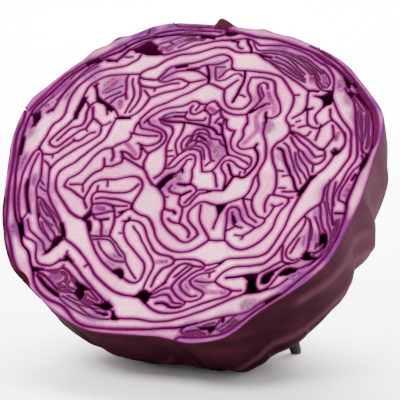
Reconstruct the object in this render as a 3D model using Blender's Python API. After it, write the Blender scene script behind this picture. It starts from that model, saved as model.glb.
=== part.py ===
"""Half of a red cabbage head, cut across, resting on the outside of its leaves.

The cut face is a map of folded leaf blades. The dark skin lines between them are written
here as hand-chosen routes on the cut plane. The flesh that the lines leave between them is
one leaf each, and every leaf runs from the cut face down and inwards to the stem.
"""

import math

import bpy
import numpy as np
from mathutils.geometry import delaunay_2d_cdt

MM = 0.001

# How the half lies: the cut face leans back from level and turns to one side
FACE_LEAN = math.radians(46.0)
FACE_HEADING = math.radians(22.4)
FACE_HEIGHT = 72.4 * MM

# The head: its axis on the cut plane, its depth, and how the leaves curve in below the cut.
# Each leaf is drawn at some of these angles down the head's side
AXIS_X = -5.0
AXIS_Y = 0.5
HEAD_DEPTH = 75.0
PROFILE_POWER = 2.1
OUTER_ANGLES = (0.0, 16.0, 33.0, 50.0, 64.0)
HEART_ANGLES = (0.0, 33.0)
OUTER_EDGE = 4.5

# The stem: a core that the leaves end on, a collar under them, and a short cut stump
CORE_SHARE = 0.84
CORE_GAP = 0.8
COLLAR_SHARE = 0.99
NECK_RADIUS = 19.0
NECK_DEPTH = 80.0
STUMP_RADIUS = 15.0
STUMP_DEPTH = 89.3
STEM_SIDES = 40

# A dried stalk under the head, which stands on the ground beside it
STALK_FOOT = (40.7, 11.5, 0.0)
STALK_TOP = (39.0, 13.0, 7.2)
STALK_RADIUS = 2.4
STALK_SIDES = 10

# Reading the leaves from the lines
GRID = 0.4
FIELD_REACH = 2.0
ROUTE_STEP = 1.0
OUTLINE_TOLERANCE = 0.3
SMALLEST_LEAF = 12.0
RIM_BAND = 0.35

# Widths of the skin lines, as half widths
SKIN = 0.32
DARK = 0.5
WIDE = 0.8
VOID = 1.2
HOLLOW = 1.8

RIM = [
    (-79.9, 16), (-79.4, 23), (-78.4, 28), (-76.7, 32), (-73.5, 36), (-70, 40.8), (-65, 46.9),
    (-61.3, 50.7), (-56.3, 55.8), (-52.3, 59), (-46.7, 62.7), (-40.6, 66), (-33, 68.9), (-25, 71),
    (-12, 71.3), (4, 70.5), (13, 69.6), (22, 67.6), (31.7, 64.7), (40, 61.2), (48.7, 56),
    (55.3, 49.7), (63, 41.7), (66.7, 37.3), (69, 33), (70, 28), (70, 23), (69.6, 14), (69.5, 5),
    (69, -4), (67.6, -12), (66.3, -18), (65, -25), (63, -31.7), (59.7, -37.3), (55.3, -42.4),
    (50, -47.8), (45, -52.6), (40.3, -57.7), (36.7, -62.7), (32.3, -67), (26.7, -69.3),
    (20, -70.8), (15, -70.6), (7, -69.6), (-3, -70), (-13, -70.4), (-22, -69.8), (-30, -67.2),
    (-40, -62.2), (-45, -58.5), (-50.4, -54.6), (-56.5, -50.4), (-61.6, -45.6), (-66, -38.2),
    (-70, -30), (-73, -22), (-75.2, -12), (-77.8, 0), (-79.4, 8.3),
]

# Leaf tips that stand above the rim: where round the axis, how wide and how high
RIM_TIPS = [(90.7, 4.4, 6.2), (112.0, 9.0, 1.2), (77.0, 3.6, 1.2), (126.0, 4.0, 1.6),
            (66.5, 5.0, 0.8), (134.0, 5.0, 1.2), (212.0, 6.0, 1.2)]

# Ribs and broad folds on the outside: where round the axis, half width in degrees, and height
OUTER_RIBS = [(14.0, 5.0, 1.2), (38.0, 3.5, 0.7), (62.0, 3.5, 0.6), (88.0, 4.0, 0.8),
              (118.0, 3.5, 0.6), (150.0, 4.0, 0.8), (186.0, 3.5, 0.7), (214.0, 5.0, 1.2),
              (238.0, 3.5, 0.6), (257.0, 3.5, 0.6), (289.0, 3.5, 0.7), (305.0, 3.0, 0.6)]
OUTER_FOLDS = [(9.0, 13.0, 3.0), (356.0, 8.0, 6.2), (341.0, 9.0, 3.6), (330.0, 9.0, 2.0),
               (316.0, 15.0, 5.2), (301.0, 10.0, 2.4)]

OUTER_LINES = [
    (DARK, [(-81.5, 27), (-78.4, 25), (-77.6, 20), (-78, 14), (-77.5, 9), (-76.3, 3.7), (-75.4, -1),
            (-74.7, -5), (-73.9, -10), (-72.8, -14.7), (-71.6, -19.3), (-70.3, -23.8),
            (-69, -28.3), (-67, -32), (-65, -35.6), (-63, -39.5), (-61.2, -43), (-58.4, -46.8),
            (-55, -50.2), (-52, -53), (-51, -56)]),
    (DARK, [(-75, 25), (-75.7, 20), (-75.7, 15), (-75.3, 10), (-74.7, 5), (-73.7, 0.3),
            (-73.2, -3.3), (-72.3, -6.7), (-71.3, -10.3), (-70.3, -14), (-69, -18),
            (-67.5, -21.7), (-66, -25), (-64.3, -27.4), (-63, -29.8), (-61.7, -32.3),
            (-60.3, -35), (-58.7, -37), (-56.7, -38.5), (-55, -40.8), (-54, -43.2),
            (-52.7, -45.3), (-51.3, -47.7), (-50.3, -50.3), (-49, -52.7), (-46.7, -55.3),
            (-44, -57.3), (-40.7, -59), (-37.3, -60), (-34.3, -61.3), (-32, -63),
            (-30, -64.9), (-28, -66.5), (-25, -67.9), (-21.7, -68.5), (-18.3, -68.6),
            (-15, -68.5), (-10, -68.2), (-5, -67.7), (0, -67.2), (3.3, -66.7), (8, -65.8),
            (13, -65), (17, -63.5), (20, -62.3)]),
    (DARK, [(-75, 25), (-73.7, 28), (-72, 30.5), (-70.2, 33.2), (-68.7, 35.8), (-67, 38.5),
            (-65.4, 41), (-63.5, 43.5), (-61, 46), (-59, 47.7), (-56.5, 49.2), (-53.5, 51.5),
            (-50, 53.8), (-47, 55.5), (-44.5, 58), (-41.5, 60.3), (-38.3, 62), (-34.5, 63.5),
            (-30, 64.4), (-25, 65.3), (-18.3, 65.8), (-11.7, 65.8), (-9, 65.6), (-6.7, 66.1),
            (-4.5, 67.3), (-1, 68), (3.3, 67.5), (8.3, 66.4), (13.3, 66.1), (17, 65.8),
            (20, 65), (25.3, 63.6), (28.3, 62.6), (31.7, 61.5), (34.3, 60.3), (36.7, 58.7),
            (39, 57.3), (41.3, 56), (43.3, 55), (45, 53.7), (48, 51.3), (51, 49), (53.4, 46.9),
            (55.7, 44.4), (58, 41.8), (60.3, 39.2), (62.4, 36.2), (64.2, 32.9), (65.6, 29.3),
            (66.6, 25), (67.2, 20), (67, 15), (66.5, 11.7), (65.4, 8.3), (64.9, 5), (64.5, 1.7),
            (64, -1.7), (63.7, -5), (64.2, -7.9), (64.5, -11.7), (64.4, -15), (64, -18.5),
            (62.8, -25), (61.8, -28.5), (60.1, -31.8), (58.2, -34.8), (56, -37.5), (54, -40.1),
            (52, -42.9), (50, -45.5), (48, -47.7), (46, -49.7), (43.8, -51.9), (41.3, -54.4),
            (39, -57), (37, -59.6), (34.8, -62.1), (32.7, -64.3), (30, -66), (26.7, -67.1),
            (23.3, -67.9), (18.5, -68.5), (14.5, -69), (12.5, -72)]),
    (SKIN, [(-76.6, 24.6), (-74.9, 28.5), (-73.2, 31.4), (-71.2, 35), (-69.6, 37.7),
            (-68, 40), (-66.2, 42.7), (-63.8, 45.2), (-61.4, 47.7), (-58.6, 50), (-56.6, 51.2),
            (-54, 53), (-51, 55.2), (-48, 57.6), (-45.7, 59.5), (-43.2, 61.4), (-40, 63),
            (-37.5, 64.2), (-36.5, 68.2)]),
    (SKIN, [(-44.5, 58.2), (-45.7, 59.4)]),
    (SKIN, [(-34.5, 63.7), (-33, 65.6), (-29.5, 66.9), (-26.7, 67.3), (-23.3, 67.6),
            (-20, 67.9), (-16.7, 68), (-13.3, 68), (-10, 68), (-6.7, 67.9)]),
    (SKIN, [(-28, 72), (-26, 69.5), (-20, 69.6), (-15, 69.6), (-10, 69.6), (-6.7, 69.4),
            (-4, 68.6), (-1, 68.2)]),
    (SKIN, [(35, 64.5), (36.7, 61.3), (39, 59.8), (41.3, 58.6), (43.8, 57), (46.3, 55.2),
            (48.3, 53.3), (50.7, 51.1), (53.3, 48.7), (56, 46), (58.3, 43.6), (60.7, 41),
            (63, 38.3), (65, 35.2), (66.6, 31.9), (67.5, 28.6), (68.1, 25), (68.4, 21.5),
            (67.4, 18)]),
]

HOLLOWS = [
    (HOLLOW, [(-72, 24.5), (-71.3, 22.3)]),
    (VOID, [(-73.2, 20.5), (-72, 18)]),
    (WIDE, [(-74.6, 12), (-74, 8), (-73.6, 4)]),
    (HOLLOW, [(-71.5, 28), (-69.5, 27.5)]),
    (WIDE, [(-68.5, 32.5), (-66.7, 35.5), (-65, 38), (-63.8, 40)]),
    (WIDE, [(-57.5, 49.4), (-55.8, 50.6)]),
    (HOLLOW, [(-38, 57), (-35, 58.3), (-32, 56.8), (-29.5, 56.8)]),
    (VOID, [(-39.8, 55.8), (-36, 56.3), (-33, 59), (-36.5, 59)]),
    (VOID, [(-3.8, 68.3), (-0.5, 68.3)]),
    (WIDE, [(-1, 64), (1.5, 63.6)]),
    (HOLLOW, [(50.3, 48), (51.3, 46.4)]),
    (WIDE, [(52.6, 44), (54, 42)]),
    (WIDE, [(58, 36.8), (58.6, 35.6)]),
    (WIDE, [(56.5, 43.4), (59, 40.3)]),
    (HOLLOW, [(43.9, 41.3), (45, 38.8)]),
    (VOID, [(43.6, 43.4), (45, 43.5), (46, 39)]),
    (WIDE, [(38, 34.3), (39.7, 35)]),
    (VOID, [(36.6, 33.6), (37.5, 34.7)]),
    (VOID, [(35.8, 49.3), (36.5, 47.7)]),
    (DARK, [(39.8, 51.5), (41.3, 48.4), (42.2, 45)]),
    (HOLLOW, [(62.8, 2), (62.3, -2.5)]),
    (VOID, [(64, 7), (63.3, 4.5)]),
    (WIDE, [(66.2, 16), (65.9, 12), (65.2, 9.5)]),
    (WIDE, [(52.7, 24.5), (52.5, 22)]),
    (WIDE, [(54.6, 16.6), (53.2, 17.3)]),
    (VOID, [(46.7, 4.3), (47.6, 3.6)]),
    (WIDE, [(43.6, -2), (45, -2.8)]),
    (DARK, [(47, 17), (49, 16.8)]),
    (WIDE, [(57.2, -20.5), (58, -23.5)]),
    (VOID, [(52.5, -31), (55, -29)]),
    (HOLLOW, [(35, -42), (37, -44.5)]),
    (VOID, [(33.5, -41.2), (36.5, -41)]),
    (VOID, [(37, -46.4), (38.8, -45.6)]),
    (VOID, [(41.2, -41.7), (43.5, -38.7)]),
    (WIDE, [(46.5, -39), (49, -37.8), (51.5, -36.8)]),
    (WIDE, [(44.2, -50.4), (46.5, -48.6), (49, -46.6)]),
    (VOID, [(25.6, -63.8), (26.5, -65.2)]),
    (WIDE, [(29.6, -58.8), (29.8, -60.6)]),
    (HOLLOW, [(-4, -53.3), (-3, -54)]),
    (WIDE, [(-6.3, -53.2), (-2.4, -56.3)]),
    (VOID, [(-4.6, -51.5), (-2.8, -53)]),
    (VOID, [(-12.8, -63.2), (-14, -61)]),
    (WIDE, [(-15, -59.3), (-17.3, -57.4)]),
    (DARK, [(-20, -62.2), (-16, -62.5)]),
    (WIDE, [(-17.8, -44), (-16.2, -43.2), (-15.8, -44.8)]),
    (DARK, [(-20.4, -14.5), (-20.2, -16.3)]),
    (WIDE, [(-19.6, -20.3), (-19.8, -21.8)]),
    (WIDE, [(-24.5, -18.3), (-22.5, -17.6)]),
    (HOLLOW, [(-34, -17.2), (-31.5, -17.5)]),
    (DARK, [(-38.4, -22.6), (-35.8, -24)]),
    (HOLLOW, [(-47.5, -37), (-47, -34.5)]),
    (VOID, [(-48.7, -38), (-45.6, -35), (-44.6, -32.6), (-46.2, -32.8)]),
    (WIDE, [(-44.2, -31.6), (-45.6, -28), (-46.9, -25.6)]),
    (VOID, [(-40.3, -40.2), (-40.2, -39.6)]),
    (WIDE, [(-42, -41.6), (-38.8, -41)]),
    (WIDE, [(-50.6, -46.2), (-49.8, -46.2)]),
    (VOID, [(-43.5, -48.6), (-40.8, -49.6)]),
    (WIDE, [(-49.2, -48.8), (-47, -50.9), (-44, -52.9), (-41, -54.6), (-38, -56.2)]),
    (WIDE, [(-65.9, -9), (-65.4, -12), (-64.4, -15.5), (-63.2, -18.7), (-62, -21.6)]),
    (VOID, [(-57.3, -21.8), (-56.7, -23.6)]),
    (WIDE, [(-55.2, 32.6), (-54, 31)]),
    (VOID, [(-47.6, 35.6), (-45.6, 38.4), (-43.8, 41)]),
    (WIDE, [(-48.6, 32.6), (-44, 29.9), (-42.2, 28.8)]),
    (DARK, [(-56.6, 25), (-56.1, 22.3)]),
    (DARK, [(-39.3, 31.6), (-38.7, 29.3)]),
    (DARK, [(-37.8, 24), (-33, 24.6)]),
    (VOID, [(-2, 18.6), (0.6, 17.4)]),
    (WIDE, [(2.6, 16.2), (4.4, 14.6)]),
    (WIDE, [(-1.5, 31.8), (0.6, 30.6)]),
    (DARK, [(13, 7), (14.2, 5), (15.2, 3)]),
    (WIDE, [(14.6, -12.2), (15.6, -13.4)]),
    (WIDE, [(-4.3, -3.6), (-1.5, -3.9)]),
    (DARK, [(-1.8, -8.4), (-0.4, -7.4)]),
    (WIDE, [(-8.6, 0.2), (-7.2, 0.8)]),
    (VOID, [(-10.6, -3.6), (-10, -4.8)]),
    (WIDE, [(-3, -15.6), (-1.9, -16.6)]),
    (VOID, [(21.5, -15.8), (23, -18.2)]),
    (WIDE, [(-20.6, 49.6), (-16.5, 50.7)]),
    (DARK, [(2.4, 50.9), (3.4, 50.5)]),
    (DARK, [(22.6, 29.4), (22.9, 27)]),
]

# The lines in the middle of the cut face, from its left to its right
MIDDLE_LINES = [
    (SKIN, [(-31, 6.7), (-28, 5.3), (-25, 4), (-22.3, 2.7), (-20.3, 1.7), (-19, 0.3), (-17.7, -1.7),
            (-16.3, -3.3), (-15, -4.7), (-13.3, -5.3), (-12, -6), (-10.7, -7.3), (-9.3, -8.7),
            (-8.3, -10.3), (-7.4, -12.7), (-7, -14.3), (-7.3, -16), (-7, -18.3), (-6, -20.7),
            (-4.3, -22.7), (-1.7, -25), (1, -26.7), (3.3, -28.3), (5, -28.8), (7, -28.3),
            (8.3, -27), (9.7, -25)]),
    (SKIN, [(-25.3, 25), (-25, 23.7), (-23.7, 22.3), (-21.3, 21.5), (-19, 20.7), (-17, 19.5),
            (-15.7, 18), (-15.3, 16.3), (-15.7, 14.3), (-16.7, 12.7), (-18.3, 11), (-20, 9.7),
            (-20.6, 8.7), (-21, 6.3), (-21.2, 4.3), (-20.5, 2.3)]),
    (SKIN, [(-20.6, 25.2), (-19, 23.3), (-16.7, 22.5), (-14.7, 22), (-13.7, 20.7), (-13.3, 19),
            (-13.7, 16.7), (-14, 14.3), (-14, 12.3), (-13.5, 10.3), (-12.8, 8), (-12.3, 5.7),
            (-12, 3.3), (-12.3, 1.3), (-13.3, -0.3), (-14.7, -1.7)]),
    (SKIN, [(-12, 3), (-10.3, 3), (-8.7, 3.7), (-7.7, 5), (-7, 6.3), (-6, 7.7), (-5, 9), (-3.7, 10),
            (-2, 10), (-1, 9), (-0.5, 7.3), (-0.4, 5), (-0.8, 3.3), (-0.3, 1.7), (0.2, -0.3),
            (0.2, -2.7), (1.3, -3.4), (2.7, -4.3), (4, -5.7)]),
    (SKIN, [(-10, 24.3), (-9.7, 22.8), (-9.7, 20.7), (-10, 18.3), (-10.7, 16.3), (-10.8, 14.3),
            (-10.3, 12.7), (-9.5, 11), (-8.5, 9.4)]),
    (SKIN, [(-10.9, 4.4), (-10, 6.3), (-8.5, 9), (-6.7, 11), (-5, 12.3), (-3.3, 12.7), (-1, 12.3),
            (0.3, 11.7), (1, 10.3), (1.7, 8.3), (2.3, 6.3), (3, 4.3), (3.5, 2.8), (5, 2.8),
            (7.3, 3.5), (8.3, 5), (9, 7), (9.7, 9), (10.7, 10.7), (12, 11.3)]),
    (SKIN, [(7.5, 3.4), (9, 2), (9.8, 0.3), (10.5, -1.7), (11.2, -3.3)]),
    (SKIN, [(-4.9, 16.2), (-5, 18.7), (-6.7, 18.3), (-8, 16.7), (-8.5, 15), (-8, 13),
            (-7, 11.4)]),
    (SKIN, [(-5, 18.7), (-4.7, 20.3), (-3.7, 21.7), (-2, 22), (0, 21.7), (1.3, 20.3), (2, 18.7),
            (3.3, 17.8), (5.3, 17.8), (6.7, 17.5), (7.3, 16.3), (8.3, 15.3), (9.7, 14.7)]),
    (SKIN, [(-2.7, 20.3), (-2.8, 18.3), (-3.2, 16.7), (-4.7, 16.1), (-5.7, 14.7), (-6.2, 13.6)]),
    (SKIN, [(-3, 16.5), (-1, 16.2), (1, 15.3), (2.7, 14), (3.7, 12.7), (4.3, 11), (5.3, 9),
            (6, 8), (6.9, 8)]),
    (DARK, [(4.3, 25), (5.7, 24), (6.3, 22.4), (6.7, 20.7), (8, 18.7), (9.3, 16.3), (10.3, 14),
            (11.3, 12), (12, 11.3)]),
    (SKIN, [(12, 11.3), (14.3, 10.8), (16.7, 10.1), (18.3, 9.2), (20, 8.5), (20.9, 7.7)]),
    (DARK, [(-18.7, 24.5), (-16, 24.3), (-12.7, 24.4), (-10, 24.5), (-7.3, 24.3), (-4.7, 24),
            (-1.7, 23.6), (0, 23.3), (2, 22.7), (3.7, 21.7), (4.7, 20.3), (6.6, 20)]),
    (SKIN, [(6.9, 27), (7.2, 25), (8, 23.3), (9.7, 22.3), (11.4, 22.3), (11.3, 20.7), (11, 18.3),
            (11.7, 15.7), (13, 13.7), (15, 12.5), (17.3, 11.8), (20, 11.3), (21.3, 10.7),
            (22, 8.7), (21.7, 6.7), (20.6, 5.3), (20.6, 3.7)]),
    (SKIN, [(15.5, 27), (15.2, 25), (14.8, 23), (15.5, 20.7), (15.3, 19), (14.4, 17.3),
            (14.3, 15.7), (15.7, 14.5), (18, 14.4), (20, 15.1), (21.3, 15.5)]),
    (SKIN, [(20.3, 23), (18.7, 20), (17.7, 18.3), (16.7, 16.7)]),
    (SKIN, [(20.5, 5.4), (18, 6), (16.3, 7), (14.7, 8.3), (13, 9), (11.3, 8.3), (10.5, 6.7),
            (10.7, 5), (12, 3.3), (13.2, 2), (13.9, 0), (14.1, -2.7), (14.1, -4.6)]),
    (DARK, [(15.2, 3), (16.3, 1.9), (18.3, 2), (20, 1.6), (21.7, 2.7), (23, 5), (24, 7.3),
            (24.2, 10), (23.3, 13), (21.4, 15.5), (22, 17)]),
    (DARK, [(16.5, 1.7), (15.7, -0.7), (15, -2.7), (14.3, -4.6)]),
    (SKIN, [(14.2, -4.8), (11.3, -5), (9.3, -5.3), (7.3, -5.2), (5.3, -5.3), (4, -5.7),
            (3, -7.7), (1.7, -9.7), (0.5, -11.7)]),
    (DARK, [(-4.6, -3.4), (-2, -3.5), (0.3, -3.2)]),
    (SKIN, [(9.7, -5.5), (7.3, -6.5), (5.3, -7), (4.3, -8.3), (3.3, -10.3), (2.7, -12),
            (1.3, -13.3), (-0.3, -13.5), (-1.7, -12.3), (-2, -10.3), (-2.3, -8.3)]),
    (SKIN, [(-2.3, -8.1), (-4.7, -7.8), (-6.7, -7.3), (-7.7, -6), (-7, -4.4)]),
    (DARK, [(-1.7, -8.3), (0, -7), (1.3, -6.3)]),
    (SKIN, [(24.3, -5.3), (23, -7), (21.3, -8.1), (19.5, -9), (17.7, -10), (16, -10.7),
            (13.3, -11.4), (10.7, -11), (8.3, -10.4), (6.3, -11), (4.7, -12.7), (3.5, -14.7),
            (3.3, -17), (4, -18.7), (5.3, -20.3), (7, -21.7), (8.7, -23.3), (9.7, -25)]),
    (SKIN, [(7.3, -12), (7.7, -14.3), (8, -16.7), (8.7, -18.7), (10, -20.7), (11.7, -22.7),
            (13.4, -24.7), (14.7, -26.5)]),
    (SKIN, [(13.3, -11.4), (14.7, -14), (15.4, -16), (15.3, -17.6), (15, -19.7), (15, -21.7)]),
    (SKIN, [(17.3, -10.3), (16.4, -13), (15.5, -15.3)]),
    (SKIN, [(21.3, -11.6), (19.5, -11.6), (18.6, -12.8), (18.5, -14.3), (19.3, -17.7),
            (19.8, -20.7), (20.2, -23.3), (20.8, -26)]),
    (SKIN, [(0.1, -13.5), (0.7, -15.7), (0.8, -18), (1, -20.7)]),
    (SKIN, [(-4, -19.3), (-2.7, -20.3), (-0.7, -20.8), (1.3, -20.9), (3.3, -22), (5, -23.3),
            (6.2, -24.7), (6.2, -26.4)]),
    (SKIN, [(-6.9, -15), (-4.7, -15.5), (-3, -15.6)]),
    (WIDE, [(-13, -5.2), (-11.6, -2.8), (-10.4, -0.9), (-9, 0.1), (-7, 0.9), (-5.8, 2)]),
    (SKIN, [(-5.8, 2), (-5.2, 3.7), (-4.4, 5.6), (-4, 7.6), (-2.3, 8)]),
    (DARK, [(-5, 3.6), (-4.3, 2)]),
    (SKIN, [(-7.6, 0.6), (-7.9, -1.3), (-9.5, -2.7), (-10.2, -4.5)]),
    (SKIN, [(-31, -4.1), (-28, -3), (-25.7, -2.2), (-23, -1.8), (-21, -2.4), (-19.3, -4),
            (-18.6, -6), (-18.8, -8.3), (-19.3, -10.3), (-20, -12.7), (-20.2, -15),
            (-19.7, -16.3), (-17.7, -17.7), (-15.3, -18.7), (-12.7, -19.3), (-10.7, -21),
            (-9.3, -23), (-8, -25), (-7, -27), (-5.3, -29), (-3.3, -30.7), (-1, -32),
            (1.7, -33), (4.7, -33.2), (7.3, -32.7), (9.7, -31.7), (11.7, -30), (13.7, -28),
            (14.8, -26.7)]),
    (SKIN, [(-31, -10), (-27.3, -9.7), (-25, -9.3), (-23, -8.6), (-21.7, -7.3), (-20.5, -5.3)]),
    (SKIN, [(-35.7, -13.1), (-34, -12.6), (-32, -12.5), (-30, -12.6), (-27, -12.7),
            (-24.3, -13.2), (-22, -13.7), (-20.3, -13.9)]),
    (SKIN, [(-36.3, -15.7), (-35, -15.3), (-33.3, -15.1), (-31.7, -14.9), (-29.6, -15.3),
            (-27.3, -15.7), (-24.7, -15.5), (-22.3, -15.2)]),
    (SKIN, [(-28.4, -15.6), (-26.7, -17.7), (-26, -19.7), (-25.3, -22.3), (-25.2, -25),
            (-25.3, -27), (-25.2, -29.3)]),
    (SKIN, [(-31, -19.3), (-28.3, -18.2), (-26.6, -18)]),
    (SKIN, [(-20.2, -16.2), (-22.8, -17.5), (-23.3, -19), (-24.5, -20.4), (-25.6, -20.8)]),
    (SKIN, [(-21.8, -22), (-19, -21.3), (-16.7, -21.4), (-14.7, -22), (-13, -23.3),
            (-11.7, -25), (-10.6, -27), (-9.5, -28.8), (-8, -30.7), (-6.7, -32.3), (-5, -34),
            (-2.7, -35), (0, -35.2), (2, -35.7), (3.7, -36.7)]),
    (SKIN, [(-19.8, -21), (-20.7, -22.6), (-20.6, -25), (-20, -27), (-18.7, -29.3),
            (-16.7, -31.7), (-14.3, -33.7), (-12, -35.7), (-9.7, -37.7), (-8, -39.3),
            (-7, -41.7), (-7, -44.3), (-7.4, -46.7), (-8.7, -48), (-10.7, -48.1), (-12.7, -47.4),
            (-14.7, -46.2), (-16.7, -45.4), (-18.7, -44.7), (-20.7, -43.3), (-22.7, -42),
            (-25, -40.3), (-27, -38.3), (-28.7, -36.5), (-30, -34.7), (-31, -33.3),
            (-32.3, -31.3), (-33.7, -29), (-35, -26.7), (-36.2, -24.2)]),
    (DARK, [(-31, -22.3), (-28.2, -21.7)]),
    (SKIN, [(-31, 12.8), (-28.7, 11), (-27.3, 9.7), (-25.7, 8.3)]),
    (SKIN, [(-32, 9), (-30, 8.7), (-28.3, 8), (-26.7, 6.7), (-25, 5.9), (-23.8, 6.3),
            (-23.5, 8), (-24, 10.3), (-24.7, 12), (-25, 12.9), (-26.3, 13.3)]),
    (SKIN, [(-25, 12.9), (-23, 12.4), (-21, 12.7), (-19, 13.7), (-17.4, 15.3), (-17.3, 17),
            (-18.3, 18.6), (-20.3, 19.3), (-23.3, 19.8), (-25.7, 20), (-27, 20.3), (-28, 21.7),
            (-28.7, 23.3), (-28.4, 25)]),
    (SKIN, [(-30.6, 17.9), (-28, 17.3), (-25.7, 17.1), (-23.3, 17), (-21, 17.2),
            (-19.4, 17.3)]),
    (SKIN, [(-24, 11.7), (-22.3, 10), (-20.8, 9)]),
    (SKIN, [(-29.4, 17.7), (-29.6, 20.7), (-29.1, 22.8)]),
]

LEFT_LINES = [
    (SKIN, [(-60.7, 25), (-61.4, 22.5), (-62.5, 20.7), (-64, 19.3), (-65, 16.3), (-65.4, 13.3),
            (-66.3, 10.3), (-66.7, 8)]),
    (DARK, [(-66.8, 8), (-66.5, 7)]),
    (SKIN, [(-66.7, 7.2), (-67.7, 6.3), (-68.5, 4.3), (-69, 1.7), (-69.5, -1.7), (-69.7, -5),
            (-69.3, -8.3), (-68.8, -11.7), (-68.2, -15), (-67.1, -18.3), (-65.8, -21.7),
            (-64.6, -24.3), (-63.4, -27), (-62, -29.5), (-60.9, -31.9), (-60.3, -35)]),
    (SKIN, [(-66, 5), (-66.5, 1.7), (-66.8, -1.7), (-66.6, -5), (-66, -8.5)]),
    (SKIN, [(-66.5, 7.2), (-65.3, 6.3), (-64.3, 4.7), (-63.7, 2.3), (-63, -0.3), (-62.3, -3),
            (-61.7, -5.7), (-61.8, -8.3), (-62, -10.3), (-61.3, -12.7), (-60.3, -15),
            (-59.3, -18), (-58.3, -20.7), (-57.4, -23)]),
    (SKIN, [(-64.2, 5), (-62, 5), (-60, 5.3), (-58.3, 6.3), (-56.7, 8.3), (-55, 10),
            (-53.4, 11.8), (-53.4, 12.8)]),
    (SKIN, [(-53.2, 12), (-51.3, 12.3), (-50, 13.3), (-48.7, 15), (-47.3, 16.3),
            (-45.7, 16.8)]),
    (SKIN, [(-62.7, 2), (-61, 1), (-59.3, -0.7)]),
    (SKIN, [(-59, -1.7), (-58.3, 0.3), (-57, 2.3), (-55, 4.7), (-53.3, 6.3), (-51.3, 8.3),
            (-49.3, 10), (-47.3, 11.7), (-45.3, 13.7), (-43.6, 15.5), (-43.3, 17.7),
            (-43.8, 20), (-42, 20.7), (-40.7, 22)]),
    (SKIN, [(-43.9, 20.3), (-45.3, 21.3), (-46.7, 22.3), (-48, 23)]),
    (SKIN, [(-59.4, -0.9), (-58.7, -4), (-58, -6.7), (-57.3, -9.7), (-56.7, -12), (-55.3, -14.3),
            (-53.7, -16.7), (-51.7, -19), (-50, -21), (-48.4, -23), (-47, -25)]),
    (SKIN, [(-38.7, 23.6), (-39.3, 20.7), (-39.7, 18.3), (-40, 15.7), (-41, 13.3), (-43, 11),
            (-44.7, 9), (-46.3, 6.7), (-48, 4.7), (-49.3, 2.7), (-51, 1.2), (-53, -0.4),
            (-54.4, -2), (-55, -4), (-55, -6), (-54.3, -8.7), (-53.3, -11), (-51.3, -13.3),
            (-49.3, -15.3), (-47, -17.7), (-45, -19.7), (-43, -21.1), (-40.7, -22.1),
            (-38.6, -22.4)]),
    (SKIN, [(-38.4, -21.8), (-37.4, -20.3), (-36.4, -18), (-36.7, -15.7), (-37.7, -13.3),
            (-37.7, -11.7), (-36.7, -10.1), (-34.3, -9.8), (-32.3, -9.8), (-30, -9.9)]),
    (SKIN, [(-36.3, -18.3), (-35.6, -20.6), (-36.8, -22.3)]),
    (SKIN, [(-36, -20), (-34, -20.2), (-32, -19.6), (-30.6, -19.2)]),
    (SKIN, [(-34.8, -20.4), (-33.6, -22), (-31.5, -22.3), (-30.5, -23.4), (-29.6, -25.4),
            (-29.3, -27), (-28.7, -29.2)]),
    (SKIN, [(-30, -3.8), (-32.7, -4.1), (-35, -4.4), (-37, -4.8), (-38.6, -5.8), (-39.6, -7.7),
            (-40, -10), (-40.6, -12.7), (-40.6, -14.2), (-40, -15.3), (-39, -16.7),
            (-38.5, -17.6)]),
    (SKIN, [(-40.7, -13.8), (-43, -12.7), (-45.3, -11.3), (-47.7, -10), (-49.7, -9.3),
            (-50.7, -8.6), (-50.5, -6.7), (-50, -5.3), (-48.3, -4), (-46.3, -2.3), (-45, 0),
            (-44, 2.3), (-43, 4.7), (-41.7, 7), (-40, 9), (-38, 10), (-36.3, 10.3),
            (-34.7, 11.7), (-32.7, 13), (-30.7, 14.2), (-30, 15.7), (-30.3, 17.8)]),
    (SKIN, [(-36.2, 10.1), (-35, 8), (-34.4, 6.3), (-34.7, 4.5)]),
    (SKIN, [(-38, 5), (-37.3, 3), (-37, 1.4), (-37.7, 0), (-39.7, -1.3), (-41, -2.7),
            (-42.3, -5), (-43.3, -7.2), (-45.3, -7.4), (-48.3, -7.8)]),
    (SKIN, [(-37, 1.5), (-35, 1.8), (-33.3, 2.2), (-32, 3), (-30.4, 4), (-30.3, 5.7),
            (-31, 7.5), (-32, 8.8)]),
    (SKIN, [(-60.2, 11.7), (-58.7, 14), (-57.3, 16.3), (-56, 18), (-54, 18.7), (-52.3, 19.4),
            (-51.4, 21.3), (-51.4, 23.3), (-51.8, 25), (-51.7, 27.3), (-51, 29.7),
            (-49, 31.2)]),
    (SKIN, [(-56.6, 21.9), (-58, 19.5), (-59.3, 17.7), (-61, 15.3), (-62.3, 13.3),
            (-63.3, 11), (-62.7, 9.6), (-61, 8.7), (-59, 9), (-57.3, 11), (-55.7, 13),
            (-53.7, 15.3), (-52, 17.2), (-50.3, 18), (-49.7, 18.7), (-49.3, 20.3),
            (-48.5, 22.6), (-49, 25), (-50, 28.2)]),
    (SKIN, [(-60.5, -14.5), (-58.7, -15), (-57, -16.3), (-55.7, -18.3), (-53.3, -20.7),
            (-51.3, -22.7), (-49.7, -24.7)]),
]

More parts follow.
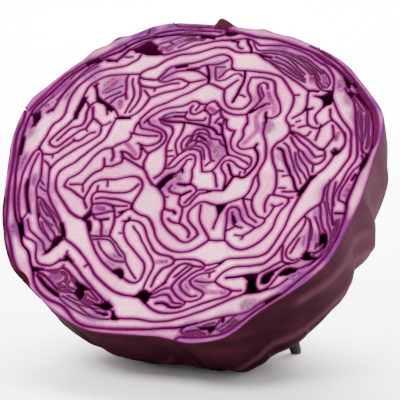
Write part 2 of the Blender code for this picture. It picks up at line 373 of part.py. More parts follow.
UPPER_LINES = [
    (SKIN, [(-66.7, 25.3), (-65.8, 29), (-65, 32), (-64.2, 35), (-63.1, 37.7), (-61.7, 40.3),
            (-60, 43), (-58, 45.6), (-55.8, 48), (-53.5, 50), (-51.3, 51.3), (-48.7, 51.2),
            (-46.5, 50.6)]),
    (DARK, [(-50.5, 50.6), (-46.8, 51.3), (-44.6, 54), (-43, 56.5), (-40, 57.6)]),
    (DARK, [(-68.4, 24.6), (-66.9, 26.2)]),
    (SKIN, [(-60.8, 25), (-61, 28.3), (-61, 31.7), (-60.3, 35), (-59.3, 37.7), (-57.7, 40),
            (-55.7, 42.3), (-53.7, 44.7), (-51.3, 46), (-48.7, 47), (-46, 47.7), (-43.3, 48.5),
            (-41.5, 49.3), (-40, 50.7), (-38, 52.3), (-37.4, 54.5)]),
    (SKIN, [(-56.7, 25), (-56.3, 28.3), (-55.9, 31.7), (-55.3, 35), (-55.1, 36.7), (-54, 39),
            (-52, 41), (-50, 42.7), (-47.7, 43.7), (-45, 44.2), (-42.3, 44.6), (-40, 44.9),
            (-37.7, 45.2), (-35, 45.5), (-34, 46.7), (-32.7, 47.7), (-31.3, 48.5), (-30, 49),
            (-28, 50.7), (-26, 52.7), (-23.3, 54.5), (-20.7, 55.8), (-18, 56.3), (-15.3, 56.8),
            (-12.7, 57.7), (-10, 59), (-7.3, 60.2), (-4.7, 60.5), (-2.7, 60.6), (-0.7, 60),
            (1.3, 59.1), (3.3, 58.7), (5.3, 58.7), (7.7, 59), (10, 58.9), (11.5, 58.3),
            (13, 57.3), (15, 56), (17.3, 55), (18.7, 53.9), (20, 53), (22, 51.7), (24.3, 50),
            (26.7, 48.7), (29, 47.3), (31.3, 46), (33.3, 44.7), (35.2, 43.5), (36.3, 42.6),
            (36.4, 40.7), (36.8, 38.3), (37.2, 36), (36.8, 34.4)]),
    (SKIN, [(-54, 31), (-52.6, 29.8), (-51.6, 28)]),
    (SKIN, [(-34.8, 45.4), (-34.7, 43), (-34, 41), (-32.5, 39.8), (-30, 39.5), (-28, 39.4),
            (-26, 39.6), (-24.3, 40.3), (-22.3, 41.2), (-20, 42), (-17.7, 42.3)]),
    (SKIN, [(-39.7, 44.8), (-39.9, 42.3), (-39.3, 40.3), (-38.7, 38.3), (-38.2, 35.6),
            (-37.2, 33.5)]),
    (DARK, [(-52.1, 38.3), (-51, 36.7), (-50.3, 35), (-49.6, 33.3), (-48.7, 32)]),
    (DARK, [(-51.6, 39.4), (-52.2, 38.2)]),
    (SKIN, [(-41.5, 28.7), (-40, 27.4), (-38.7, 25.8), (-37.6, 24.2)]),
    (SKIN, [(-43.7, 30.3), (-41.7, 33.3), (-40, 34.4), (-38.5, 35.6)]),
    (SKIN, [(-38.9, 24), (-36.4, 24.9), (-34, 25), (-32.5, 25.8), (-31, 27), (-30, 28.3),
            (-29.2, 29.6), (-28.3, 32), (-27.5, 34.5)]),
    (SKIN, [(-45, 30), (-43.8, 27.7), (-43, 25.5)]),
    (SKIN, [(-29.5, 55.6), (-27.5, 55.3), (-25.7, 55.9), (-23.3, 57), (-21, 58), (-18.7, 59),
            (-16.7, 60.3), (-15, 61), (-12.7, 61.7), (-10, 62.7), (-7.3, 63.5), (-5.3, 64),
            (-2.7, 64.3), (0, 64.6), (2.7, 65.2), (5, 65.5), (6.7, 65), (9, 63.7), (11, 62.6),
            (13.3, 62.8), (16.7, 63), (20, 63.1), (23.5, 62.6), (27, 61.6), (30, 60.4),
            (32.7, 59.2), (35.4, 57.3), (38, 55.9), (40, 55), (42, 53.3), (43.7, 51.3),
            (44.8, 49.3), (45.4, 47), (45.5, 45)]),
    (DARK, [(-29.4, 58.5), (-26.5, 57.8), (-24.5, 60.5), (-21.8, 62.6)]),
    (DARK, [(-14.5, 64.6), (-11.5, 64.9), (-9, 64.6)]),
    (SKIN, [(1.3, 63.4), (1.7, 61.7), (2.7, 60.8), (4, 60.5)]),
    (DARK, [(5, 65.2), (6, 62.9), (7.5, 61.3), (8.1, 59)]),
    (DARK, [(11.5, 58.6), (14, 57.8), (17, 57.2)]),
    (SKIN, [(-30, 43.2), (-28.3, 43.1), (-27, 43.5), (-26, 45), (-25, 46.7), (-24.3, 48.2),
            (-22.7, 49.7), (-20.3, 50.7), (-17.7, 51.4), (-15, 52), (-12.3, 53), (-9.7, 54.3),
            (-7.3, 55.7), (-5, 56.8), (-2.7, 57.2), (-0.7, 56.6), (1, 55.3), (1.7, 53.7),
            (2, 51.7), (3.3, 50.4), (5.3, 50.2), (8.3, 50.3), (11.7, 50.2), (15, 50),
            (18.3, 49.8), (20, 49.4), (22, 49), (24, 48), (26, 46), (27.7, 44), (29.3, 42),
            (30.7, 40.3), (31.3, 38.3), (31.5, 35.7), (31.1, 33), (30.4, 30.3), (31, 28.3),
            (32.3, 27), (33.3, 25), (33.7, 23.3)]),
    (SKIN, [(-34.6, 44), (-32.8, 43.2), (-30, 43.2)]),
    (SKIN, [(-27, 43.5), (-25, 42.5), (-22.7, 42.7), (-20.7, 43.7), (-18.7, 44.4),
            (-16.7, 44.2), (-15, 43.5), (-13.3, 43.1), (-12, 43.3), (-10, 44), (-7.5, 44.8)]),
    (SKIN, [(-25, 43.9), (-23.7, 45.1), (-22, 46.4), (-20, 47.7), (-17.7, 48.3), (-15, 48.7),
            (-12.3, 48.7), (-10.3, 48.2), (-8.7, 47.3), (-7.3, 46.6), (-6.2, 45.5),
            (-5.4, 43.4)]),
    (DARK, [(-15.7, 49), (-13.3, 49.6), (-11.3, 50)]),
    (SKIN, [(-11.6, 49.9), (-10, 51.2), (-8, 51.9), (-5, 52.2), (-2.3, 53.3), (-0.3, 54.7)]),
    (SKIN, [(-13.3, 43), (-13.7, 41.7), (-15, 40.3), (-17.3, 39.3), (-20, 38.3), (-22.7, 37.3),
            (-24.7, 36.3), (-26.3, 35.3), (-27.6, 34.5)]),
    (SKIN, [(-5.3, 43.2), (-7, 42.3), (-8.7, 41), (-10.3, 39.7), (-12.3, 38), (-14.7, 36.7),
            (-17, 35), (-19.3, 33.3), (-21.7, 31.8), (-23.7, 30.8), (-25.7, 28.8), (-27, 27),
            (-28.2, 25)]),
    (SKIN, [(-5.3, 43.2), (-3.3, 42.8), (-1.3, 42), (0.7, 41.3), (2, 40.8), (2.7, 37.7),
            (3.7, 35.3), (5.3, 33.3), (7.3, 32.4), (10, 32.3), (12, 32.8), (13.6, 34.7),
            (14.2, 36.7), (13.3, 38.7), (12, 40.3), (11.1, 42.7), (11.1, 45), (11.5, 47.3),
            (13.3, 47.5), (15.7, 47.6), (17.7, 47.3), (20, 46.8), (21.3, 46), (22.3, 43.7),
            (23, 41.3), (24.3, 39), (25.7, 37), (27, 34.3), (27.4, 32), (26.3, 30.3),
            (24.5, 29.3), (23, 29.2)]),
    (SKIN, [(2, 40.9), (3.3, 42.3), (4.7, 44), (6.2, 45.6)]),
    (DARK, [(8.1, 50.2), (8.5, 48.3), (8.8, 46), (8.7, 43.7), (8.1, 41.3), (8, 39.3),
            (7.3, 37.3), (7, 35.4)]),
    (DARK, [(-5.4, 43.4), (-5.6, 45.3), (-6.3, 47.3), (-7.2, 49.6), (-8.3, 51.4)]),
    (SKIN, [(2, 50.6), (0.2, 49.4), (-0.8, 47.2), (-1.8, 46.2)]),
    (SKIN, [(19.5, 42.6), (18.7, 44.7), (16.7, 45.2), (15.4, 44), (15.7, 41.7), (17, 39.3),
            (18, 37.2), (16.7, 34.3), (15.3, 32.3), (14, 30.3), (12, 29.8), (9.7, 29.5),
            (7.3, 30), (5.3, 30.7), (3.7, 31.7), (2, 33), (0.7, 34.5), (-0.7, 35.2),
            (-2, 34.6), (-3, 33.7), (-4.7, 33.4), (-6, 33.4), (-7, 34.2), (-8.3, 34.5),
            (-9.7, 34.2), (-11, 33), (-12.7, 32), (-15, 31.3), (-17.3, 30.7), (-19.7, 30),
            (-21.3, 29), (-23, 27.3), (-25, 25.4), (-26.4, 23)]),
    (SKIN, [(-8.8, 32.2), (-9.3, 31), (-8.7, 28.8), (-7.3, 28.4), (-5.3, 29.3), (-4, 30.6),
            (-2, 30)]),
    (SKIN, [(-3, 33.5), (-3.6, 31.6), (-2, 30), (-0.4, 28.7), (1.2, 29.3), (2.5, 31),
            (3.2, 31.8)]),
    (SKIN, [(-0.3, 28.6), (0, 26.7), (0.3, 25), (0.2, 23.4)]),
    (SKIN, [(3, 31.5), (4, 29), (5.3, 27.7), (7, 27)]),
    (SKIN, [(2.6, 25.2), (3.3, 27.2), (4.6, 28.2)]),
    (SKIN, [(5.7, 27.4), (5.9, 25.6), (5.6, 24)]),
    (SKIN, [(-10.3, 29.2), (-10.8, 27.3), (-10, 26.2), (-8.3, 25.7), (-5.7, 25.8),
            (-2.3, 26.1), (-2, 27)]),
    (DARK, [(-15, 26.8), (-11, 27.1)]),
    (SKIN, [(-11, 27.1), (-15, 26.6), (-18, 25.7), (-20.2, 25.1)]),
    (SKIN, [(14.3, 30), (15.3, 27.7), (15.7, 25.6)]),
    (DARK, [(20.5, 35.4), (18.3, 33.7), (16.7, 32.2), (15.2, 31)]),
    (SKIN, [(22, 35.7), (20.5, 35.6)]),
    (SKIN, [(21.6, 34), (20, 32.9), (18.8, 31), (18.4, 29), (19.3, 26.3), (20.2, 24)]),
]

RIGHT_LINES = [
    (SKIN, [(36.3, 51.4), (37.4, 49), (38.8, 46.3), (40.3, 44.5), (42, 43.4), (43.6, 43.3)]),
    (DARK, [(36, 43), (38, 43.1), (40, 43)]),
    (SKIN, [(39.4, 40.8), (42.4, 40.9)]),
    (SKIN, [(37, 34), (36.2, 32.6), (34.7, 31.3), (33, 30)]),
    (SKIN, [(20.3, 40.7), (21.7, 38.3), (23.3, 36.3), (24.6, 34.3), (25, 31.6)]),
    (SKIN, [(20.2, 33.6), (22.3, 33.8), (24.8, 34.2)]),
    (DARK, [(21.7, 31.7), (22.1, 29.3)]),
    (SKIN, [(22.4, 27), (23, 25), (23, 23), (23.7, 21), (25, 18.7), (26, 16), (26.7, 13.3),
            (27.1, 10.7), (26.7, 8.3), (26.2, 6.2), (25.7, 3.7), (25, 1.7), (25, -1),
            (24.8, -3.3), (24.3, -5.3)]),
    (SKIN, [(37.6, 34.8), (38.1, 33.5), (38.7, 31), (39.3, 28.6), (40.2, 27.3), (42, 26.4),
            (43.7, 26.1), (45.3, 26.8), (46.3, 28), (48, 29.8), (49, 30.4)]),
    (SKIN, [(44.3, 37.8), (43.3, 35), (42, 32.7), (41.7, 31.3), (42.7, 29.3), (43.5, 28.2)]),
    (SKIN, [(46.9, 35.2), (47.4, 33.3), (48.1, 31.3), (49.2, 30.2), (50.7, 29.2), (52.7, 27.3),
            (54.7, 25.2), (56, 23)]),
    (SKIN, [(45.8, 45), (46.3, 41), (47.7, 38.3), (49.3, 35.7), (51.3, 32.7), (53.3, 30.3),
            (55.3, 28.3), (57, 26.5), (58.1, 24.5), (58.5, 22), (59.3, 19), (59.8, 15.7),
            (59.7, 13.7), (58.7, 11), (57.7, 8.3), (56.7, 6), (55.7, 3.7), (54.4, 1.7),
            (53.8, -0.3), (54, -2.3), (54.2, -5), (53.7, -7), (52, -8.7), (50.3, -10.4),
            (49, -12.7), (47.7, -15), (46.7, -17), (45.7, -19.3), (44.7, -22), (44, -25),
            (43.3, -27), (42.6, -29), (41.6, -31.2), (40.3, -33), (38.7, -34.7), (36.3, -35.5),
            (33.7, -36.3), (31.7, -36.6), (29.7, -36.8), (27.7, -37.4), (26, -38.4),
            (24.3, -39.8), (23, -41.7), (22.1, -44), (23.7, -45.3), (25.7, -46.3),
            (27.7, -46.8), (29.7, -47.3), (31.3, -47.2), (33, -47)]),
    (SKIN, [(50.3, 45.2), (51.7, 43.3), (53.7, 41.2), (55.3, 39.6), (56.3, 37.3), (57.1, 35),
            (57.8, 31.7), (58.8, 28.7), (59.5, 26), (60.3, 24), (61.1, 21.6), (62, 18.3),
            (62.6, 15.7), (62.6, 13.3), (61.7, 11), (60.7, 8.3), (60, 5.7), (59.6, 3),
            (58.7, 0.3), (58.1, -2.7), (58.1, -5), (58.7, -7.7), (59.3, -11), (60, -13.4),
            (61, -15.7), (61.8, -13.6)]),
    (SKIN, [(63.2, 21.5), (63.7, 18.3), (65.1, 16.6), (66.6, 16.6)]),
    (SKIN, [(64.4, 15.6), (65.4, 13.4), (64.6, 11), (63, 9), (61.9, 6), (61, 2.6), (60, -1),
            (60.4, -4.6), (62.4, -5.4), (63.7, -6.4)]),
    (SKIN, [(55.3, 25), (56.3, 22.3), (56.6, 20), (56, 18), (54.6, 16.2), (53.6, 14.7),
            (53, 12.7), (52, 10), (50.7, 7.7), (49.3, 6.2), (48, 4.3), (47.3, 2.7), (46.7, 1),
            (46, -1.3), (45.2, -3.7), (44.7, -6), (44, -8.7), (43.3, -11.7), (43, -15),
            (42.6, -18.3), (41.7, -21.7), (40.8, -25), (39.8, -27.7), (38.9, -29.7),
            (37.3, -31.1), (35, -32.1), (32.3, -32.7), (30, -33.1), (27.3, -33.6), (25, -33.9),
            (23.3, -34.7), (22, -35.8), (20, -36.6), (18, -37.4), (16.3, -37.8)]),
    (SKIN, [(49.7, 28), (50.7, 25.4), (51.4, 22.6), (50.4, 20.3), (49.5, 18), (48.4, 17)]),
    (SKIN, [(34.2, 23.1), (36.7, 21.6), (38.7, 19.8), (40.7, 18.4), (42.7, 17), (44.3, 15.4),
            (45.8, 13.8), (46.7, 13.3), (49.2, 14.2)]),
    (SKIN, [(34.3, 24), (37.7, 22.8), (40, 21.5), (42.3, 20.2), (44.3, 18.6), (46.7, 17.3)]),
    (SKIN, [(49.7, 15.9), (50.3, 14), (50, 12), (49, 10.7), (47, 10), (45.7, 10.4),
            (44, 11.7), (42.3, 13.4), (40.8, 15.2), (39.2, 16), (37.7, 17.4), (36, 19.3),
            (34.7, 21.2)]),
    (DARK, [(31, 16), (33, 15), (34, 13), (35, 11), (36.3, 8.7), (37.7, 6.7), (38.7, 4.7),
            (40.3, 3), (41.3, 1), (42.3, -1), (43.2, -2)]),
    (SKIN, [(43.2, -2.5), (41.3, -2.8), (39.3, -3), (37.8, -3)]),
    (SKIN, [(45, 28), (45, 25), (44.8, 22.6), (44.7, 20.8)]),
    (SKIN, [(32.7, 26.4), (34.3, 26.6)]),
    (SKIN, [(36.7, 26), (38.6, 26.8), (40, 27.3)]),
    (SKIN, [(33.7, 23.4), (32.7, 21.3), (31.7, 19.7), (30, 18.3), (29, 16.3), (28.8, 14.3),
            (29.7, 11.7), (30.7, 9.3), (32, 7.3), (33, 5.3), (33.7, 3), (34.3, 0.7),
            (34.6, -1.7), (34.4, -4), (34.8, -4.9), (36.7, -5), (38.7, -5.2), (40.7, -5.7),
            (42.2, -5.3)]),
    (SKIN, [(34.3, -4.4), (33, -5.3), (32.5, -7), (32.3, -9), (32.7, -11), (33.3, -12.6)]),
    (SKIN, [(40.7, -5.7), (41.3, -7.3), (40.4, -9.3), (39.4, -11), (38.7, -13.3),
            (38.3, -15.7), (38.2, -18), (37.7, -20.3), (36.7, -22.3), (35.2, -24.8),
            (33.3, -27), (30, -29.2), (27.3, -29.7), (24.7, -29), (22.7, -27.7),
            (21, -26.4), (17.5, -26.8), (14.7, -26.8)]),
    (SKIN, [(35, -9.2), (36.3, -9.8), (38, -9.1), (39, -8.3)]),
    (SKIN, [(36.2, -9.8), (35.7, -12.3), (34.7, -14.7), (34, -15.4), (32.7, -15.2),
            (30.7, -14.7), (29, -13), (27.7, -11), (26.8, -8.3), (26.8, -6), (27.5, -3.7),
            (27.7, -1), (26.7, 1.3), (26, 3.7)]),
    (SKIN, [(34, -15.5), (34.2, -17), (33.3, -18.4), (32, -19.4), (31, -20), (29.7, -21.7),
            (27.7, -23.3), (27.3, -25)]),
    (SKIN, [(23.2, -7.4), (25, -7.8), (26.8, -7.8)]),
    (SKIN, [(23, -7.6), (24.3, -10), (25.7, -12.3), (27, -14.7), (28.7, -16), (30, -16.7),
            (31, -17.4)]),
    (SKIN, [(21.3, -11.5), (23, -12.7), (24, -14.7), (25.3, -16.7), (27, -18), (29, -18.8),
            (31.2, -19.7)]),
    (SKIN, [(20.6, -14), (21.6, -17.4), (23, -19.6), (26, -20.3)]),
    (SKIN, [(20, -22.3), (21.3, -21.5), (23.2, -20)]),
    (SKIN, [(53.7, -7.3), (54.7, -10), (55.3, -12.7), (56.3, -15), (57.5, -17.5), (59.1, -19.3),
            (60.2, -21.7), (60.4, -25), (59.7, -28.3), (58, -31.1), (56, -33.1), (54.6, -34.4),
            (52, -35.4), (49, -35.4), (47, -36.6), (45.6, -39), (44.7, -41), (43.9, -43),
            (42.7, -44.7), (41.3, -45.8), (40, -46.6)]),
    (DARK, [(60.5, -10.4), (63, -10.3), (63.9, -10.3)]),
    (SKIN, [(49, -13.2), (51, -14), (52.1, -16), (52.8, -18.5), (53.3, -21.7), (53.8, -25),
            (53.8, -27), (52.8, -29.4)]),
    (SKIN, [(54.4, -28.2), (57, -28), (58.6, -27), (59.4, -25.3), (60.2, -23)]),
    (SKIN, [(44.2, -26.4), (44.6, -29.3), (45.2, -31.7), (45.8, -33.2), (48, -33.5),
            (50.4, -33.2), (52, -31.8)]),
    (SKIN, [(45.4, -33), (43, -34.9), (41.3, -36.4), (39.3, -38), (37.6, -39.5), (37.4, -41)]),
    (SKIN, [(44.6, -37), (46, -35.2), (47.4, -34.2), (49, -33.8)]),
]

LOWER_LINES = [
    (DARK, [(37.4, -39.3), (35, -39.8), (32.7, -40.4), (30.7, -41.1), (28.3, -41.7),
            (26, -42.2)]),
    (SKIN, [(34.8, -43.6), (35.3, -46), (34.7, -48), (33, -49.3), (30.7, -50.5), (28.7, -51.8),
            (26.7, -53.2), (24.3, -54.8), (22, -56.2), (20, -57.4), (17.7, -58.5), (15, -60),
            (11.7, -61.4), (8.3, -62.7), (5, -63.4), (1.7, -63.6), (-1.7, -63.3), (-5, -63.2),
            (-8.3, -63.6), (-12, -63.7)]),
    (SKIN, [(34.6, -48.2), (37, -47.6), (40, -46.8), (42.4, -45.6), (45.6, -44.2), (48, -42),
            (49.6, -40)]),
    (SKIN, [(22, -44.2), (20, -44.8), (16.7, -45), (14.3, -44.7)]),
    (SKIN, [(29.6, -47.4), (28.7, -49.5), (26.7, -50.7), (24.3, -51.7), (22, -52.9),
            (20, -53.8), (18, -55), (15.7, -56.3), (13.3, -57.7), (11, -58.7), (8.3, -59.3),
            (5.3, -59.6), (2.7, -59.2), (0.3, -58.2), (-1.7, -56.8)]),
    (SKIN, [(27.2, -48.4), (24.7, -48.7), (22.3, -48.9), (20, -49.2)]),
    (SKIN, [(20, -62.3), (23.5, -60.9), (26.3, -59.6), (29.3, -58.5), (31.3, -57.8),
            (35, -56.9), (38, -55.4), (39.7, -53.8), (41.3, -51.9), (42.9, -50.5),
            (44.3, -49.7)]),
    (SKIN, [(16.6, -66.2), (20.5, -65.2), (24.4, -64.4)]),
    (SKIN, [(16.5, -63.8), (14.6, -66), (16, -67.4), (19.5, -67), (24.6, -66.4)]),
    (SKIN, [(27.2, -63.2), (28.2, -61.4), (29, -59.6)]),
    (SKIN, [(3.7, -36.7), (6, -36.2), (8.3, -35.9), (11, -35.8), (13.3, -36.1), (15, -36.8),
            (16.3, -37.9), (16, -39.3), (14, -40.4), (12.3, -41.7), (10.7, -43.7),
            (9.1, -45.7), (8.8, -47), (9.7, -48.7), (11.3, -50), (13, -51), (14.7, -51.6),
            (16.6, -51)]),
    (SKIN, [(3.7, -36.8), (3.6, -38.3), (2, -39.7), (0, -41), (-1, -43), (-1.7, -45),
            (-2, -47), (-2.2, -49)]),
    (SKIN, [(-4, -38.4), (-1.7, -38.2), (0.6, -37.8)]),
    (SKIN, [(15, -38.6), (11.7, -38.6), (9.3, -37.8), (7.3, -38.1), (5.7, -39.4), (4.4, -41.3),
            (3.4, -43.7), (2.8, -46.3), (2, -47.4)]),
    (SKIN, [(11.8, -38.7), (10, -41.3), (8.3, -43.3), (7, -45.3), (6, -47.3), (5.8, -48.8),
            (7, -50), (8.7, -51.7), (10.7, -53), (13, -53.9), (14.7, -53.7), (16.7, -53),
            (18.5, -51.7), (19.2, -50), (18.3, -49), (16.7, -48.3), (14.7, -47.6),
            (13, -46.3), (12.2, -45), (13, -43.7), (14.7, -42.1), (16.7, -41.2),
            (18.7, -40.8), (20.6, -39.8)]),
    (SKIN, [(23.3, -34.8), (21.4, -37.4), (19.6, -38.8), (17, -40)]),
    (SKIN, [(5.8, -48.8), (3.7, -49.1), (2, -50), (0.3, -51.6), (-1.4, -52.6)]),
    (SKIN, [(3, -46.8), (0.9, -48.8), (-0.8, -50.8), (-2, -52)]),
    (SKIN, [(-1.5, -53.7), (0.7, -53.3), (2, -52.4), (3.7, -51.8), (5.3, -51.8), (6.7, -53),
            (8, -54.6), (9.3, -55), (11.5, -54.8)]),
    (DARK, [(1.9, -55.8), (4.3, -55.4), (6, -55.8), (7.3, -56.7), (9.7, -56.8),
            (11.7, -56.2)]),
    (SKIN, [(13, -54), (12.8, -55.2), (11.7, -56.2)]),
    (SKIN, [(-31, -43.2), (-30, -41.9), (-28, -44), (-26, -46.3), (-23.7, -48),
            (-21.3, -49.7), (-19.3, -51), (-17, -52.3), (-14.7, -53.2), (-12.3, -53.7),
            (-10, -53.8), (-7.3, -53.6), (-5, -53)]),
    (SKIN, [(-42.9, -32.2), (-40.7, -33.3), (-38.3, -34.7), (-36, -36.3), (-34, -38),
            (-32, -39.8), (-30, -41.9)]),
    (SKIN, [(-63.3, -25), (-62, -27.7), (-61, -30.3), (-60, -32.3), (-58.3, -33.4),
            (-56, -34.1), (-54.3, -35.1), (-53.3, -37.3), (-52.7, -40), (-51.7, -42.3),
            (-50, -44), (-48, -44.4), (-45.3, -44.3), (-43.3, -43), (-41.9, -41.6)]),
    (SKIN, [(-38.6, -41), (-35.7, -43), (-33.3, -45), (-31.3, -47), (-30, -48.2),
            (-28, -49.8), (-26, -51.4), (-24, -53), (-22, -54.7), (-20, -56.1),
            (-18.2, -57.2)]),
    (SKIN, [(-61, -25), (-60, -27), (-58.7, -29.4), (-57, -30.8), (-55, -32.1), (-53, -33.4),
            (-51.3, -34.8), (-50.3, -36.7), (-49.3, -38.4)]),
    (SKIN, [(-64.7, -24.3), (-63.3, -25), (-61.9, -21.8)]),
    (SKIN, [(-57.2, -23.4), (-56, -26), (-54.6, -28.2), (-52.6, -30.3), (-50.4, -32),
            (-48, -34)]),
    (SKIN, [(-47, -25), (-46, -25.4), (-45, -27.2), (-43.7, -29.6), (-42.9, -32.2)]),
    (SKIN, [(-40, -44.6), (-39.8, -43.8)]),
    (SKIN, [(-50, -46.3), (-46.7, -46.6), (-43.7, -46.2), (-41.3, -45.6), (-40, -44.7),
            (-38.5, -45.2), (-36.7, -46.4), (-35, -47.8), (-33.3, -49.1), (-31.7, -50.3),
            (-30, -51), (-28, -51.9), (-25.7, -53.4), (-23.7, -55.1), (-21.4, -57)]),
    (SKIN, [(-49.6, -47.6), (-47, -48.3), (-44.6, -49.7), (-42.4, -51.3), (-40.4, -53.2),
            (-38, -54.6), (-35.5, -55), (-33, -54.8), (-30.5, -55.6), (-29, -57.4),
            (-26.7, -59), (-23.5, -60.2), (-20, -62.2)]),
    (DARK, [(-31.6, -52), (-29.6, -53.4), (-29.3, -55.6)]),
    (SKIN, [(-28.6, -57.6), (-27.6, -55.4), (-28.4, -53.8)]),
    (SKIN, [(-28.8, -53.2), (-26, -52.9)]),
    (SKIN, [(-15.4, -59), (-16.6, -60.8), (-19.6, -59.8), (-22.4, -59)]),
    (SKIN, [(-18.7, -57.6), (-20.2, -58.8), (-22.6, -58.4), (-25.4, -57.4)]),
]


def catmull_rom(points, closed=False, step=ROUTE_STEP):
    """A smooth curve through hand-chosen points."""
    p = np.array(points, float)
    if closed:
        p = np.vstack([p[-1], p, p[0], p[1]])
    else:
        p = np.vstack([2 * p[0] - p[1], p, 2 * p[-1] - p[-2]])
    curve = []
    for a, b, c, d in zip(p[:-3], p[1:-2], p[2:-1], p[3:]):
        count = max(1, int(np.hypot(*(c - b)) / step))
        t = (np.arange(count) / count)[:, None]
        curve.append(0.5 * (2 * b + (c - a) * t + (2 * a - 5 * b + 4 * c - d) * t ** 2
                            + (3 * b - a - 3 * c + d) * t ** 3))
    if not closed:
        curve.append(p[-2:-1])
    return np.vstack(curve)


def rim_table():
    """The rim's distance from the head's axis at every degree."""
    curve = catmull_rom(RIM, closed=True) - (AXIS_X, AXIS_Y)
    angle = np.arctan2(curve[:, 1], curve[:, 0])
    order = np.argsort(angle)
    turns = np.radians(np.arange(-180, 181))
    return turns, np.interp(turns, angle[order], np.hypot(*curve[order].T), period=2 * math.pi)


RIM_TURNS, RIM_RADII = rim_table()


def rim_radius(turn):
    return np.interp(turn, RIM_TURNS, RIM_RADII)


def all_lines():
    return OUTER_LINES + HOLLOWS + MIDDLE_LINES + LEFT_LINES + UPPER_LINES + RIGHT_LINES + LOWER_LINES


def line_field(xs, ys):
    """For each grid point, how far it is from the nearest line's edge, negative inside a line."""
    field = np.full((len(ys), len(xs)), FIELD_REACH)
    for half_width, points in all_lines():
        curve = catmull_rom(points)
        reach = half_width + FIELD_REACH
        for a, b in zip(curve[:-1], curve[1:]):
            low, high = np.minimum(a, b) - reach, np.maximum(a, b) + reach
            i0, i1 = np.searchsorted(xs, (low[0], high[0]))
            j0, j1 = np.searchsorted(ys, (low[1], high[1]))
            x, y = np.meshgrid(xs[i0:i1], ys[j0:j1])
            along = ((x - a[0]) * (b - a)[0] + (y - a[1]) * (b - a)[1]) / max(1e-9, (b - a) @ (b - a))
            along = np.clip(along, 0, 1)
            near = np.hypot(x - a[0] - along * (b - a)[0], y - a[1] - along * (b - a)[1]) - half_width
            field[j0:j1, i0:i1] = np.minimum(field[j0:j1, i0:i1], near)
    return field


def contour_loops(field, xs, ys):
    """Closed loops where the field crosses zero, with the positive side on their left."""
    def crossing(j, i, j2, i2):
        a, b = field[j, i], field[j2, i2]
        t = a / (a - b)
        return (xs[i] + t * (xs[i2] - xs[i]), ys[j] + t * (ys[j2] - ys[j]))

    following, places = {}, {}
    inside = field > 0
    mixed = inside[:-1, :-1].astype(int) + inside[:-1, 1:] + inside[1:, :-1] + inside[1:, 1:]
    for j, i in zip(*np.nonzero((mixed > 0) & (mixed < 4))):
        corners = [(j, i), (j, i + 1), (j + 1, i + 1), (j + 1, i)]
        ins, outs = [], []
        for k in range(4):
            a, b = corners[k], corners[(k + 1) % 4]
            if inside[a] != inside[b]:
                key = (min(a, b), max(a, b))
                places[key] = crossing(*a, *b)
                (outs if inside[a] else ins).append((k, key))
        for k, key in outs:
            start = min(ins, key=lambda entry: (k - entry[0]) % 4)
            following[key] = start[1]
    loops = []
    while following:
        key, after = following.popitem()
        loop = [key]
        while after != key:
            loop.append(after)
            after = following.pop(after)
        loops.append(np.array([places[k] for k in loop]))
    return loops


def area_of(loop):
    x, y = loop.T
    return 0.5 * np.sum(x * np.roll(y, -1) - np.roll(x, -1) * y)


def thinned(points, tolerance):
    """The fewest points that keep an open run of points within the tolerance."""
    if len(points) < 3:
        return points[:1]
    chord = points[-1] - points[0]
    length = max(1e-9, np.hypot(*chord))
    off = np.abs(chord[0] * (points[:, 1] - points[0, 1]) - chord[1] * (points[:, 0] - points[0, 0]))
    if np.hypot(*chord) < 1e-6:
        off = np.hypot(*(points - points[0]).T) * length
    far = int(np.argmax(off))
    if off[far] / length <= tolerance:
        return points[:1]
    return np.vstack([thinned(points[:far + 1], tolerance), thinned(points[far:], tolerance)])


def thinned_loop(loop, tolerance):
    far = int(np.argmax(np.hypot(*(loop - loop[0]).T)))
    closed = np.vstack([loop, loop[:1]])
    return np.vstack([thinned(closed[:far + 1], tolerance), thinned(closed[far:], tolerance)])


def leaf_outlines():
    """The outline of each leaf on the cut face, the outermost leaves first."""
    xs = np.arange(-84.0, 75.0, GRID)
    ys = np.arange(-75.0, 76.0, GRID)
    x, y = np.meshgrid(xs - AXIS_X, ys - AXIS_Y)
    to_rim = rim_radius(np.arctan2(y, x)) - np.hypot(x, y)
    loops = contour_loops(np.minimum(line_field(xs, ys), to_rim), xs, ys)
    leaves = [thinned_loop(loop, OUTLINE_TOLERANCE) for loop in loops if area_of(loop) > SMALLEST_LEAF]
    outer, heart = [], []
    for leaf in leaves:
        x, y = (leaf - (AXIS_X, AXIS_Y)).T
        depth = np.min(rim_radius(np.arctan2(y, x)) - np.hypot(x, y))
        (outer if depth < RIM_BAND else heart).append((np.mean(np.arctan2(y, x)), depth, leaf))
    outer.sort(key=lambda entry: entry[0])
    heart.sort(key=lambda entry: entry[1])
    return [entry[2] for entry in outer], [entry[2] for entry in heart]


def face_frame():
    """The cut plane's two directions and its normal, and the middle it is drawn about."""
    normal = np.array([-math.sin(FACE_LEAN) * math.sin(FACE_HEADING),
                       -math.sin(FACE_LEAN) * math.cos(FACE_HEADING), math.cos(FACE_LEAN)])
    across = np.cross((0, 0, 1), normal)
    across /= np.linalg.norm(across)
    return across, np.cross(normal, across), normal


ACROSS, UPWARD, NORMAL = face_frame()


def in_space(x, y, depth):
    """World points, in metres, of places on the cut plane sunk by a depth, all in millimetres."""
    point = np.outer(x, ACROSS) + np.outer(y, UPWARD) - np.outer(depth, NORMAL)
    point = point * MM + (0, 0, FACE_HEIGHT)
    point[:, 2] = np.maximum(point[:, 2], 0)
    return point


def side_share(angle):
    """How wide the head still is at an angle down its side, as a share of the cut face."""
    return math.cos(math.radians(angle)) ** (2 / PROFILE_POWER)


def side_depth(angle):
    return HEAD_DEPTH * math.sin(math.radians(angle)) ** (2 / PROFILE_POWER)


